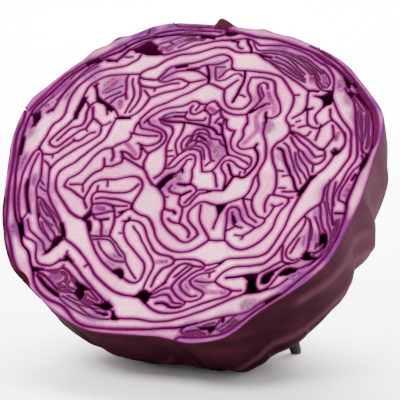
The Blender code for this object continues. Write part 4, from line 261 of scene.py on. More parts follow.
# The lines in the middle of the cut face, from its left to its right
MIDDLE_LINES = [
    (SKIN, [(-31, 6.7), (-28, 5.3), (-25, 4), (-22.3, 2.7), (-20.3, 1.7), (-19, 0.3), (-17.7, -1.7),
        (-16.3, -3.3), (-15, -4.7), (-13.3, -5.3), (-12, -6), (-10.7, -7.3), (-9.3, -8.7), (-8.3, -10.3),
        (-7.4, -12.7), (-7, -14.3), (-7.3, -16), (-7, -18.3), (-6, -20.7), (-4.3, -22.7), (-1.7, -25),
        (1, -26.7), (3.3, -28.3), (5, -28.8), (7, -28.3), (8.3, -27), (9.7, -25)]),
    (SKIN, [(-25.3, 25), (-25, 23.7), (-23.7, 22.3), (-21.3, 21.5), (-19, 20.7), (-17, 19.5), (-15.7, 18),
        (-15.3, 16.3), (-15.7, 14.3), (-16.7, 12.7), (-18.3, 11), (-20, 9.7), (-20.6, 8.7), (-21, 6.3),
        (-21.2, 4.3), (-20.5, 2.3)]),
    (SKIN, [(-20.6, 25.2), (-19, 23.3), (-16.7, 22.5), (-14.7, 22), (-13.7, 20.7), (-13.3, 19),
        (-13.7, 16.7), (-14, 14.3), (-14, 12.3), (-13.5, 10.3), (-12.8, 8), (-12.3, 5.7), (-12, 3.3),
        (-12.3, 1.3), (-13.3, -0.3), (-14.7, -1.7)]),
    (SKIN, [(-12, 3), (-10.3, 3), (-8.7, 3.7), (-7.7, 5), (-7, 6.3), (-6, 7.7), (-5, 9), (-3.7, 10),
        (-2, 10), (-1, 9), (-0.5, 7.3), (-0.4, 5), (-0.8, 3.3), (-0.3, 1.7), (0.2, -0.3), (0.2, -2.7),
        (1.3, -3.4), (2.7, -4.3), (4, -5.7)]),
    (SKIN, [(-10, 24.3), (-9.7, 22.8), (-9.7, 20.7), (-10, 18.3), (-10.7, 16.3), (-10.8, 14.3),
        (-10.3, 12.7), (-9.5, 11), (-8.5, 9.4)]),
    (SKIN, [(-10.9, 4.4), (-10, 6.3), (-8.5, 9), (-6.7, 11), (-5, 12.3), (-3.3, 12.7), (-1, 12.3),
        (0.3, 11.7), (1, 10.3), (1.7, 8.3), (2.3, 6.3), (3, 4.3), (3.5, 2.8), (5, 2.8), (7.3, 3.5), (8.3, 5),
        (9, 7), (9.7, 9), (10.7, 10.7), (12, 11.3)]),
    (SKIN, [(7.5, 3.4), (9, 2), (9.8, 0.3), (10.5, -1.7), (11.2, -3.3)]),
    (FINE, [(-13.5, 10.6), (-11.3, 11.2)]),
    (FINE, [(-12.8, 8.2), (-10.2, 8.8)]),
    (SKIN, [(-4.9, 16.2), (-5, 18.7), (-6.7, 18.3), (-8, 16.7), (-8.5, 15), (-8, 13), (-7, 11.4)]),
    (SKIN, [(-5, 18.7), (-4.7, 20.3), (-3.7, 21.7), (-2, 22), (0, 21.7), (1.3, 20.3), (2, 18.7), (3.3, 17.8),
        (5.3, 17.8), (6.7, 17.5), (7.3, 16.3), (8.3, 15.3), (9.7, 14.7)]),
    (SKIN, [(-2.7, 20.3), (-2.8, 18.3), (-3.2, 16.7), (-4.7, 16.1), (-5.7, 14.7), (-6.2, 13.6)]),
    (SKIN, [(-3, 16.5), (-1, 16.2), (1, 15.3), (2.7, 14), (3.7, 12.7), (4.3, 11), (5.3, 9), (6, 8),
        (6.9, 8)]),
    (FINE, [(5.8, 7.8), (4.7, 6.3), (4.1, 5.5)]),
    (FINE, [(-6.9, 11.8), (-5.3, 13.3), (-3.7, 14), (-1.7, 14), (0.3, 13.5), (1.5, 12), (2.2, 10.3),
        (2.8, 8.3)]),
    (DARK, [(4.3, 25), (5.7, 24), (6.3, 22.4), (6.7, 20.7), (8, 18.7), (9.3, 16.3), (10.3, 14), (11.3, 12),
        (12, 11.3)]),
    (SKIN, [(12, 11.3), (14.3, 10.8), (16.7, 10.1), (18.3, 9.2), (20, 8.5), (20.9, 7.7)]),
    (DARK, [(-18.7, 24.5), (-16, 24.3), (-12.7, 24.4), (-10, 24.5), (-7.3, 24.3), (-4.7, 24), (-1.7, 23.6),
        (0, 23.3), (2, 22.7), (3.7, 21.7), (4.7, 20.3), (6.6, 20)]),
    (SKIN, [(6.9, 27), (7.2, 25), (8, 23.3), (9.7, 22.3), (11.4, 22.3), (11.3, 20.7), (11, 18.3),
        (11.7, 15.7), (13, 13.7), (15, 12.5), (17.3, 11.8), (20, 11.3), (21.3, 10.7), (22, 8.7), (21.7, 6.7),
        (20.6, 5.3), (20.6, 3.7)]),
    (SKIN, [(15.5, 27), (15.2, 25), (14.8, 23), (15.5, 20.7), (15.3, 19), (14.4, 17.3), (14.3, 15.7),
        (15.7, 14.5), (18, 14.4), (20, 15.1), (21.3, 15.5)]),
    (SKIN, [(20.3, 23), (18.7, 20), (17.7, 18.3), (16.7, 16.7)]),
    (SKIN, [(20.5, 5.4), (18, 6), (16.3, 7), (14.7, 8.3), (13, 9), (11.3, 8.3), (10.5, 6.7), (10.7, 5),
        (12, 3.3), (13.2, 2), (13.9, 0), (14.1, -2.7), (14.1, -4.6)]),
    (DARK, [(15.2, 3), (16.3, 1.9), (18.3, 2), (20, 1.6), (21.7, 2.7), (23, 5), (24, 7.3), (24.2, 10),
        (23.3, 13), (21.4, 15.5), (22, 17)]),
    (FINE, [(18.6, 2.2), (18.8, 4)]),
    (DARK, [(16.5, 1.7), (15.7, -0.7), (15, -2.7), (14.3, -4.6)]),
    (SKIN, [(14.2, -4.8), (11.3, -5), (9.3, -5.3), (7.3, -5.2), (5.3, -5.3), (4, -5.7), (3, -7.7),
        (1.7, -9.7), (0.5, -11.7)]),
    (DARK, [(-4.6, -3.4), (-2, -3.5), (0.3, -3.2)]),
    (SKIN, [(9.7, -5.5), (7.3, -6.5), (5.3, -7), (4.3, -8.3), (3.3, -10.3), (2.7, -12), (1.3, -13.3),
        (-0.3, -13.5), (-1.7, -12.3), (-2, -10.3), (-2.3, -8.3)]),
    (SKIN, [(-2.3, -8.1), (-4.7, -7.8), (-6.7, -7.3), (-7.7, -6), (-7, -4.4)]),
    (DARK, [(-1.7, -8.3), (0, -7), (1.3, -6.3)]),
    (SKIN, [(24.3, -5.3), (23, -7), (21.3, -8.1), (19.5, -9), (17.7, -10), (16, -10.7), (13.3, -11.4),
        (10.7, -11), (8.3, -10.4), (6.3, -11), (4.7, -12.7), (3.5, -14.7), (3.3, -17), (4, -18.7),
        (5.3, -20.3), (7, -21.7), (8.7, -23.3), (9.7, -25)]),
    (SKIN, [(7.3, -12), (7.7, -14.3), (8, -16.7), (8.7, -18.7), (10, -20.7), (11.7, -22.7), (13.4, -24.7),
        (14.7, -26.5)]),
    (SKIN, [(13.3, -11.4), (14.7, -14), (15.4, -16), (15.3, -17.6), (15, -19.7), (15, -21.7)]),
    (SKIN, [(17.3, -10.3), (16.4, -13), (15.5, -15.3)]),
    (SKIN, [(21.3, -11.6), (19.5, -11.6), (18.6, -12.8), (18.5, -14.3), (19.3, -17.7), (19.8, -20.7),
        (20.2, -23.3), (20.8, -26)]),
    (SKIN, [(0.1, -13.5), (0.7, -15.7), (0.8, -18), (1, -20.7)]),
    (SKIN, [(-4, -19.3), (-2.7, -20.3), (-0.7, -20.8), (1.3, -20.9), (3.3, -22), (5, -23.3), (6.2, -24.7),
        (6.2, -26.4)]),
    (SKIN, [(-6.9, -15), (-4.7, -15.5), (-3, -15.6)]),
    (FINE, [(-8.4, -10), (-7, -9.7)]),
    (WIDE, [(-13, -5.2), (-11.6, -2.8), (-10.4, -0.9), (-9, 0.1), (-7, 0.9), (-5.8, 2)]),
    (SKIN, [(-5.8, 2), (-5.2, 3.7), (-4.4, 5.6), (-4, 7.6), (-2.3, 8)]),
    (DARK, [(-5, 3.6), (-4.3, 2)]),
    (SKIN, [(-7.6, 0.6), (-7.9, -1.3), (-9.5, -2.7), (-10.2, -4.5)]),
    (SKIN, [(-31, -4.1), (-28, -3), (-25.7, -2.2), (-23, -1.8), (-21, -2.4), (-19.3, -4), (-18.6, -6),
        (-18.8, -8.3), (-19.3, -10.3), (-20, -12.7), (-20.2, -15), (-19.7, -16.3), (-17.7, -17.7),
        (-15.3, -18.7), (-12.7, -19.3), (-10.7, -21), (-9.3, -23), (-8, -25), (-7, -27), (-5.3, -29),
        (-3.3, -30.7), (-1, -32), (1.7, -33), (4.7, -33.2), (7.3, -32.7), (9.7, -31.7), (11.7, -30),
        (13.7, -28), (14.8, -26.7)]),
    (SKIN, [(-31, -10), (-27.3, -9.7), (-25, -9.3), (-23, -8.6), (-21.7, -7.3), (-20.5, -5.3)]),
    (SKIN, [(-35.7, -13.1), (-34, -12.6), (-32, -12.5), (-30, -12.6), (-27, -12.7), (-24.3, -13.2),
        (-22, -13.7), (-20.3, -13.9)]),
    (SKIN, [(-36.3, -15.7), (-35, -15.3), (-33.3, -15.1), (-31.7, -14.9), (-29.6, -15.3), (-27.3, -15.7),
        (-24.7, -15.5), (-22.3, -15.2)]),
    (SKIN, [(-28.4, -15.6), (-26.7, -17.7), (-26, -19.7), (-25.3, -22.3), (-25.2, -25), (-25.3, -27),
        (-25.2, -29.3)]),
    (SKIN, [(-31, -19.3), (-28.3, -18.2), (-26.6, -18)]),
    (SKIN, [(-20.2, -16.2), (-22.8, -17.5), (-23.3, -19), (-24.5, -20.4), (-25.6, -20.8)]),
    (SKIN, [(-21.8, -22), (-19, -21.3), (-16.7, -21.4), (-14.7, -22), (-13, -23.3), (-11.7, -25),
        (-10.6, -27), (-9.5, -28.8), (-8, -30.7), (-6.7, -32.3), (-5, -34), (-2.7, -35), (0, -35.2),
        (2, -35.7), (3.7, -36.7)]),
    (SKIN, [(-19.8, -21), (-20.7, -22.6), (-20.6, -25), (-20, -27), (-18.7, -29.3), (-16.7, -31.7),
        (-14.3, -33.7), (-12, -35.7), (-9.7, -37.7), (-8, -39.3), (-7, -41.7), (-7, -44.3), (-7.4, -46.7),
        (-8.7, -48), (-10.7, -48.1), (-12.7, -47.4), (-14.7, -46.2), (-16.7, -45.4), (-18.7, -44.7),
        (-20.7, -43.3), (-22.7, -42), (-25, -40.3), (-27, -38.3), (-28.7, -36.5), (-30, -34.7), (-31, -33.3),
        (-32.3, -31.3), (-33.7, -29), (-35, -26.7), (-36.2, -24.2)]),
    (FINE, [(-21.5, -27.4), (-20.1, -27.2)]),
    (DARK, [(-31, -22.3), (-28.2, -21.7)]),
    (SKIN, [(-31, 12.8), (-28.7, 11), (-27.3, 9.7), (-25.7, 8.3)]),
    (SKIN, [(-32, 9), (-30, 8.7), (-28.3, 8), (-26.7, 6.7), (-25, 5.9), (-23.8, 6.3), (-23.5, 8),
        (-24, 10.3), (-24.7, 12), (-25, 12.9), (-26.3, 13.3)]),
    (SKIN, [(-25, 12.9), (-23, 12.4), (-21, 12.7), (-19, 13.7), (-17.4, 15.3), (-17.3, 17), (-18.3, 18.6),
        (-20.3, 19.3), (-23.3, 19.8), (-25.7, 20), (-27, 20.3), (-28, 21.7), (-28.7, 23.3), (-28.4, 25)]),
    (SKIN, [(-30.6, 17.9), (-28, 17.3), (-25.7, 17.1), (-23.3, 17), (-21, 17.2), (-19.4, 17.3)]),
    (SKIN, [(-24, 11.7), (-22.3, 10), (-20.8, 9)]),
    (SKIN, [(-29.4, 17.7), (-29.6, 20.7), (-29.1, 22.8)]),
    (FINE, [(-17, -23.8), (-15.7, -25.4), (-14.3, -26.6), (-13, -28), (-11.8, -29.8), (-10.3, -31.5),
        (-9, -33), (-7.7, -34.7), (-6.3, -36), (-5, -37.7), (-4, -39.3), (-3.8, -41.7), (-4.3, -44.3),
        (-4.7, -47), (-5, -50)]),
]

LEFT_LINES = [
    (SKIN, [(-60.7, 25), (-61.4, 22.5), (-62.5, 20.7), (-64, 19.3), (-65, 16.3), (-65.4, 13.3),
        (-66.3, 10.3), (-66.7, 8)]),
    (DARK, [(-66.8, 8), (-66.5, 7)]),
    (SKIN, [(-66.7, 7.2), (-67.7, 6.3), (-68.5, 4.3), (-69, 1.7), (-69.5, -1.7), (-69.7, -5), (-69.3, -8.3),
        (-68.8, -11.7), (-68.2, -15), (-67.1, -18.3), (-65.8, -21.7), (-64.6, -24.3), (-63.4, -27),
        (-62, -29.5), (-60.9, -31.9), (-60.3, -35)]),
    (SKIN, [(-66, 5), (-66.5, 1.7), (-66.8, -1.7), (-66.6, -5), (-66, -8.5)]),
    (SKIN, [(-66.5, 7.2), (-65.3, 6.3), (-64.3, 4.7), (-63.7, 2.3), (-63, -0.3), (-62.3, -3), (-61.7, -5.7),
        (-61.8, -8.3), (-62, -10.3), (-61.3, -12.7), (-60.3, -15), (-59.3, -18), (-58.3, -20.7),
        (-57.4, -23)]),
    (SKIN, [(-64.2, 5), (-62, 5), (-60, 5.3), (-58.3, 6.3), (-56.7, 8.3), (-55, 10), (-53.4, 11.8),
        (-53.4, 12.8)]),
    (SKIN, [(-53.2, 12), (-51.3, 12.3), (-50, 13.3), (-48.7, 15), (-47.3, 16.3), (-45.7, 16.8)]),
    (FINE, [(-60, 5), (-59.7, 3.6)]),
    (SKIN, [(-62.7, 2), (-61, 1), (-59.3, -0.7)]),
    (SKIN, [(-59, -1.7), (-58.3, 0.3), (-57, 2.3), (-55, 4.7), (-53.3, 6.3), (-51.3, 8.3), (-49.3, 10),
        (-47.3, 11.7), (-45.3, 13.7), (-43.6, 15.5), (-43.3, 17.7), (-43.8, 20), (-42, 20.7), (-40.7, 22)]),
    (SKIN, [(-43.9, 20.3), (-45.3, 21.3), (-46.7, 22.3), (-48, 23)]),
    (SKIN, [(-59.4, -0.9), (-58.7, -4), (-58, -6.7), (-57.3, -9.7), (-56.7, -12), (-55.3, -14.3),
        (-53.7, -16.7), (-51.7, -19), (-50, -21), (-48.4, -23), (-47, -25)]),
    (SKIN, [(-38.7, 23.6), (-39.3, 20.7), (-39.7, 18.3), (-40, 15.7), (-41, 13.3), (-43, 11), (-44.7, 9),
        (-46.3, 6.7), (-48, 4.7), (-49.3, 2.7), (-51, 1.2), (-53, -0.4), (-54.4, -2), (-55, -4), (-55, -6),
        (-54.3, -8.7), (-53.3, -11), (-51.3, -13.3), (-49.3, -15.3), (-47, -17.7), (-45, -19.7),
        (-43, -21.1), (-40.7, -22.1), (-38.6, -22.4)]),
    (SKIN, [(-38.4, -21.8), (-37.4, -20.3), (-36.4, -18), (-36.7, -15.7), (-37.7, -13.3), (-37.7, -11.7),
        (-36.7, -10.1), (-34.3, -9.8), (-32.3, -9.8), (-30, -9.9)]),
    (FINE, [(-36.4, -9.9), (-36.7, -7.5)]),
    (FINE, [(-33.4, -5), (-32.8, -7.3)]),
    (SKIN, [(-36.3, -18.3), (-35.6, -20.6), (-36.8, -22.3)]),
    (SKIN, [(-36, -20), (-34, -20.2), (-32, -19.6), (-30.6, -19.2)]),
    (SKIN, [(-34.8, -20.4), (-33.6, -22), (-31.5, -22.3), (-30.5, -23.4), (-29.6, -25.4), (-29.3, -27),
        (-28.7, -29.2)]),
    (SKIN, [(-30, -3.8), (-32.7, -4.1), (-35, -4.4), (-37, -4.8), (-38.6, -5.8), (-39.6, -7.7), (-40, -10),
        (-40.6, -12.7), (-40.6, -14.2), (-40, -15.3), (-39, -16.7), (-38.5, -17.6)]),
    (SKIN, [(-40.7, -13.8), (-43, -12.7), (-45.3, -11.3), (-47.7, -10), (-49.7, -9.3), (-50.7, -8.6),
        (-50.5, -6.7), (-50, -5.3), (-48.3, -4), (-46.3, -2.3), (-45, 0), (-44, 2.3), (-43, 4.7), (-41.7, 7),
        (-40, 9), (-38, 10), (-36.3, 10.3), (-34.7, 11.7), (-32.7, 13), (-30.7, 14.2), (-30, 15.7),
        (-30.3, 17.8)]),
    (SKIN, [(-36.2, 10.1), (-35, 8), (-34.4, 6.3), (-34.7, 4.5)]),
    (SKIN, [(-38, 5), (-37.3, 3), (-37, 1.4), (-37.7, 0), (-39.7, -1.3), (-41, -2.7), (-42.3, -5),
        (-43.3, -7.2), (-45.3, -7.4), (-48.3, -7.8)]),
    (FINE, [(-43.2, -7.4), (-42.7, -9), (-42.1, -10.6)]),
    (SKIN, [(-37, 1.5), (-35, 1.8), (-33.3, 2.2), (-32, 3), (-30.4, 4), (-30.3, 5.7), (-31, 7.5),
        (-32, 8.8)]),
    (SKIN, [(-60.2, 11.7), (-58.7, 14), (-57.3, 16.3), (-56, 18), (-54, 18.7), (-52.3, 19.4), (-51.4, 21.3),
        (-51.4, 23.3), (-51.8, 25), (-51.7, 27.3), (-51, 29.7), (-49, 31.2)]),
    (SKIN, [(-56.6, 21.9), (-58, 19.5), (-59.3, 17.7), (-61, 15.3), (-62.3, 13.3), (-63.3, 11), (-62.7, 9.6),
        (-61, 8.7), (-59, 9), (-57.3, 11), (-55.7, 13), (-53.7, 15.3), (-52, 17.2), (-50.3, 18),
        (-49.7, 18.7), (-49.3, 20.3), (-48.5, 22.6), (-49, 25), (-50, 28.2)]),
    (FINE, [(-50, 18.2), (-49, 17)]),
    (FINE, [(-61.7, -7), (-60, -8.3), (-59.3, -9.2)]),
    (FINE, [(-60.7, -10), (-59, -11.3), (-57, -12)]),
    (SKIN, [(-60.5, -14.5), (-58.7, -15), (-57, -16.3), (-55.7, -18.3), (-53.3, -20.7), (-51.3, -22.7),
        (-49.7, -24.7)]),
    (FINE, [(-58.5, -16.3), (-57, -18.7), (-55.3, -21), (-53.3, -23)]),
]

UPPER_LINES = [
    (SKIN, [(-66.7, 25.3), (-65.8, 29), (-65, 32), (-64.2, 35), (-63.1, 37.7), (-61.7, 40.3), (-60, 43),
        (-58, 45.6), (-55.8, 48), (-53.5, 50), (-51.3, 51.3), (-48.7, 51.2), (-46.5, 50.6)]),
    (DARK, [(-50.5, 50.6), (-46.8, 51.3), (-44.6, 54), (-43, 56.5), (-40, 57.6)]),
    (FINE, [(-44, 53), (-42, 53), (-40.6, 53.4)]),
    (DARK, [(-68.4, 24.6), (-66.9, 26.2)]),
    (SKIN, [(-60.8, 25), (-61, 28.3), (-61, 31.7), (-60.3, 35), (-59.3, 37.7), (-57.7, 40), (-55.7, 42.3),
        (-53.7, 44.7), (-51.3, 46), (-48.7, 47), (-46, 47.7), (-43.3, 48.5), (-41.5, 49.3), (-40, 50.7),
        (-38, 52.3), (-37.4, 54.5)]),
    (SKIN, [(-56.7, 25), (-56.3, 28.3), (-55.9, 31.7), (-55.3, 35), (-55.1, 36.7), (-54, 39), (-52, 41),
        (-50, 42.7), (-47.7, 43.7), (-45, 44.2), (-42.3, 44.6), (-40, 44.9), (-37.7, 45.2), (-35, 45.5),
        (-34, 46.7), (-32.7, 47.7), (-31.3, 48.5), (-30, 49), (-28, 50.7), (-26, 52.7), (-23.3, 54.5),
        (-20.7, 55.8), (-18, 56.3), (-15.3, 56.8), (-12.7, 57.7), (-10, 59), (-7.3, 60.2), (-4.7, 60.5),
        (-2.7, 60.6), (-0.7, 60), (1.3, 59.1), (3.3, 58.7), (5.3, 58.7), (7.7, 59), (10, 58.9), (11.5, 58.3),
        (13, 57.3), (15, 56), (17.3, 55), (18.7, 53.9), (20, 53), (22, 51.7), (24.3, 50), (26.7, 48.7),
        (29, 47.3), (31.3, 46), (33.3, 44.7), (35.2, 43.5), (36.3, 42.6), (36.4, 40.7), (36.8, 38.3),
        (37.2, 36), (36.8, 34.4)]),
    (SKIN, [(-54, 31), (-52.6, 29.8), (-51.6, 28)]),
    (SKIN, [(-34.8, 45.4), (-34.7, 43), (-34, 41), (-32.5, 39.8), (-30, 39.5), (-28, 39.4), (-26, 39.6),
        (-24.3, 40.3), (-22.3, 41.2), (-20, 42), (-17.7, 42.3)]),
    (FINE, [(-26.7, 39.4), (-26.7, 38)]),
    (SKIN, [(-39.7, 44.8), (-39.9, 42.3), (-39.3, 40.3), (-38.7, 38.3), (-38.2, 35.6), (-37.2, 33.5)]),
    (DARK, [(-52.1, 38.3), (-51, 36.7), (-50.3, 35), (-49.6, 33.3), (-48.7, 32)]),
    (DARK, [(-51.6, 39.4), (-52.2, 38.2)]),
    (SKIN, [(-41.5, 28.7), (-40, 27.4), (-38.7, 25.8), (-37.6, 24.2)]),
    (FINE, [(-40.8, 39.2), (-42.7, 38), (-45, 36.7), (-46.6, 35.3)]),
    (FINE, [(-46.3, 32.3), (-44.7, 33.7), (-42.7, 35), (-40.7, 36.3)]),
    (SKIN, [(-43.7, 30.3), (-41.7, 33.3), (-40, 34.4), (-38.5, 35.6)]),
    (FINE, [(-37.3, 43), (-36.7, 40.3), (-35.3, 37.7), (-34.4, 35), (-34.7, 32.3), (-35.3, 29.3),
        (-35.8, 26.6)]),
    (FINE, [(-33.4, 40.2), (-32.3, 37.3), (-31.7, 34.3), (-32.3, 31), (-33.5, 28.5), (-34, 27.2)]),
    (FINE, [(-30.8, 37.8), (-28.8, 35.9), (-27.6, 34.6)]),
    (SKIN, [(-38.9, 24), (-36.4, 24.9), (-34, 25), (-32.5, 25.8), (-31, 27), (-30, 28.3), (-29.2, 29.6),
        (-28.3, 32), (-27.5, 34.5)]),
    (SKIN, [(-45, 30), (-43.8, 27.7), (-43, 25.5)]),
    (SKIN, [(-29.5, 55.6), (-27.5, 55.3), (-25.7, 55.9), (-23.3, 57), (-21, 58), (-18.7, 59), (-16.7, 60.3),
        (-15, 61), (-12.7, 61.7), (-10, 62.7), (-7.3, 63.5), (-5.3, 64), (-2.7, 64.3), (0, 64.6),
        (2.7, 65.2), (5, 65.5), (6.7, 65), (9, 63.7), (11, 62.6), (13.3, 62.8), (16.7, 63), (20, 63.1),
        (23.5, 62.6), (27, 61.6), (30, 60.4), (32.7, 59.2), (35.4, 57.3), (38, 55.9), (40, 55), (42, 53.3),
        (43.7, 51.3), (44.8, 49.3), (45.4, 47), (45.5, 45)]),
    (FINE, [(-27.5, 62), (-25, 60.5), (-22, 62.2), (-19, 64), (-16.5, 63.8)]),
    (DARK, [(-29.4, 58.5), (-26.5, 57.8), (-24.5, 60.5), (-21.8, 62.6)]),
    (FINE, [(-22.5, 59.2), (-19.5, 61.5), (-16.7, 62.8), (-13, 63.4)]),
    (DARK, [(-14.5, 64.6), (-11.5, 64.9), (-9, 64.6)]),
    (SKIN, [(1.3, 63.4), (1.7, 61.7), (2.7, 60.8), (4, 60.5)]),
    (DARK, [(5, 65.2), (6, 62.9), (7.5, 61.3), (8.1, 59)]),
    (FINE, [(8, 63.6), (9.4, 61.3), (10.7, 60.1), (13.3, 60.3), (16.7, 60.3), (20, 60)]),
    (DARK, [(11.5, 58.6), (14, 57.8), (17, 57.2)]),
    (FINE, [(20, 60), (22, 59.3), (24.3, 58.9), (26.7, 58.8), (29, 58.7), (31.3, 57.7), (33, 56.7),
        (35, 55.3), (37.3, 53.7), (39, 52.1), (40, 50.6)]),
    (SKIN, [(-30, 43.2), (-28.3, 43.1), (-27, 43.5), (-26, 45), (-25, 46.7), (-24.3, 48.2), (-22.7, 49.7),
        (-20.3, 50.7), (-17.7, 51.4), (-15, 52), (-12.3, 53), (-9.7, 54.3), (-7.3, 55.7), (-5, 56.8),
        (-2.7, 57.2), (-0.7, 56.6), (1, 55.3), (1.7, 53.7), (2, 51.7), (3.3, 50.4), (5.3, 50.2), (8.3, 50.3),
        (11.7, 50.2), (15, 50), (18.3, 49.8), (20, 49.4), (22, 49), (24, 48), (26, 46), (27.7, 44),
        (29.3, 42), (30.7, 40.3), (31.3, 38.3), (31.5, 35.7), (31.1, 33), (30.4, 30.3), (31, 28.3),
        (32.3, 27), (33.3, 25), (33.7, 23.3)]),
    (SKIN, [(-34.6, 44), (-32.8, 43.2), (-30, 43.2)]),
    (SKIN, [(-27, 43.5), (-25, 42.5), (-22.7, 42.7), (-20.7, 43.7), (-18.7, 44.4), (-16.7, 44.2),
        (-15, 43.5), (-13.3, 43.1), (-12, 43.3), (-10, 44), (-7.5, 44.8)]),
    (SKIN, [(-25, 43.9), (-23.7, 45.1), (-22, 46.4), (-20, 47.7), (-17.7, 48.3), (-15, 48.7), (-12.3, 48.7),
        (-10.3, 48.2), (-8.7, 47.3), (-7.3, 46.6), (-6.2, 45.5), (-5.4, 43.4)]),
    (DARK, [(-15.7, 49), (-13.3, 49.6), (-11.3, 50)]),
    (SKIN, [(-11.6, 49.9), (-10, 51.2), (-8, 51.9), (-5, 52.2), (-2.3, 53.3), (-0.3, 54.7)]),
    (SKIN, [(-13.3, 43), (-13.7, 41.7), (-15, 40.3), (-17.3, 39.3), (-20, 38.3), (-22.7, 37.3),
        (-24.7, 36.3), (-26.3, 35.3), (-27.6, 34.5)]),
    (SKIN, [(-5.3, 43.2), (-7, 42.3), (-8.7, 41), (-10.3, 39.7), (-12.3, 38), (-14.7, 36.7), (-17, 35),
        (-19.3, 33.3), (-21.7, 31.8), (-23.7, 30.8), (-25.7, 28.8), (-27, 27), (-28.2, 25)]),
    (SKIN, [(-5.3, 43.2), (-3.3, 42.8), (-1.3, 42), (0.7, 41.3), (2, 40.8), (2.7, 37.7), (3.7, 35.3),
        (5.3, 33.3), (7.3, 32.4), (10, 32.3), (12, 32.8), (13.6, 34.7), (14.2, 36.7), (13.3, 38.7),
        (12, 40.3), (11.1, 42.7), (11.1, 45), (11.5, 47.3), (13.3, 47.5), (15.7, 47.6), (17.7, 47.3),
        (20, 46.8), (21.3, 46), (22.3, 43.7), (23, 41.3), (24.3, 39), (25.7, 37), (27, 34.3), (27.4, 32),
        (26.3, 30.3), (24.5, 29.3), (23, 29.2)]),
    (SKIN, [(2, 40.9), (3.3, 42.3), (4.7, 44), (6.2, 45.6)]),
    (DARK, [(8.1, 50.2), (8.5, 48.3), (8.8, 46), (8.7, 43.7), (8.1, 41.3), (8, 39.3), (7.3, 37.3),
        (7, 35.4)]),
    (FINE, [(8.3, 39), (10, 38.7), (11.2, 38.1)]),
    (FINE, [(7.6, 47.4), (6, 48.7), (4, 48.2), (2.7, 47), (1, 45.4), (-0.7, 44.8), (-2.7, 45), (-3.3, 46.7),
        (-4, 48.7), (-4.4, 51)]),
    (DARK, [(-5.4, 43.4), (-5.6, 45.3), (-6.3, 47.3), (-7.2, 49.6), (-8.3, 51.4)]),
    (FINE, [(-4.3, 51.1), (-0.8, 51.2)]),
    (SKIN, [(2, 50.6), (0.2, 49.4), (-0.8, 47.2), (-1.8, 46.2)]),
    (SKIN, [(19.5, 42.6), (18.7, 44.7), (16.7, 45.2), (15.4, 44), (15.7, 41.7), (17, 39.3), (18, 37.2),
        (16.7, 34.3), (15.3, 32.3), (14, 30.3), (12, 29.8), (9.7, 29.5), (7.3, 30), (5.3, 30.7), (3.7, 31.7),
        (2, 33), (0.7, 34.5), (-0.7, 35.2), (-2, 34.6), (-3, 33.7), (-4.7, 33.4), (-6, 33.4), (-7, 34.2),
        (-8.3, 34.5), (-9.7, 34.2), (-11, 33), (-12.7, 32), (-15, 31.3), (-17.3, 30.7), (-19.7, 30),
        (-21.3, 29), (-23, 27.3), (-25, 25.4), (-26.4, 23)]),
    (FINE, [(-6, 33.2), (-6.3, 31.7), (-7, 30.4)]),
    (SKIN, [(-8.8, 32.2), (-9.3, 31), (-8.7, 28.8), (-7.3, 28.4), (-5.3, 29.3), (-4, 30.6), (-2, 30)]),
    (SKIN, [(-3, 33.5), (-3.6, 31.6), (-2, 30), (-0.4, 28.7), (1.2, 29.3), (2.5, 31), (3.2, 31.8)]),
    (SKIN, [(-0.3, 28.6), (0, 26.7), (0.3, 25), (0.2, 23.4)]),
    (SKIN, [(3, 31.5), (4, 29), (5.3, 27.7), (7, 27)]),
    (SKIN, [(2.6, 25.2), (3.3, 27.2), (4.6, 28.2)]),
    (SKIN, [(5.7, 27.4), (5.9, 25.6), (5.6, 24)]),
    (SKIN, [(-10.3, 29.2), (-10.8, 27.3), (-10, 26.2), (-8.3, 25.7), (-5.7, 25.8), (-2.3, 26.1), (-2, 27)]),
    (DARK, [(-15, 26.8), (-11, 27.1)]),
    (SKIN, [(-11, 27.1), (-15, 26.6), (-18, 25.7), (-20.2, 25.1)]),
    (FINE, [(-10.3, 29.3), (-12.3, 28.8), (-15, 28.6), (-17, 28), (-18.7, 27), (-19.8, 26)]),
    (SKIN, [(14.3, 30), (15.3, 27.7), (15.7, 25.6)]),
    (DARK, [(20.5, 35.4), (18.3, 33.7), (16.7, 32.2), (15.2, 31)]),
    (SKIN, [(22, 35.7), (20.5, 35.6)]),
    (SKIN, [(21.6, 34), (20, 32.9), (18.8, 31), (18.4, 29), (19.3, 26.3), (20.2, 24)]),
    (FINE, [(16.5, 43.2), (17.5, 41.2), (18.8, 39), (18.2, 37.4)]),
]

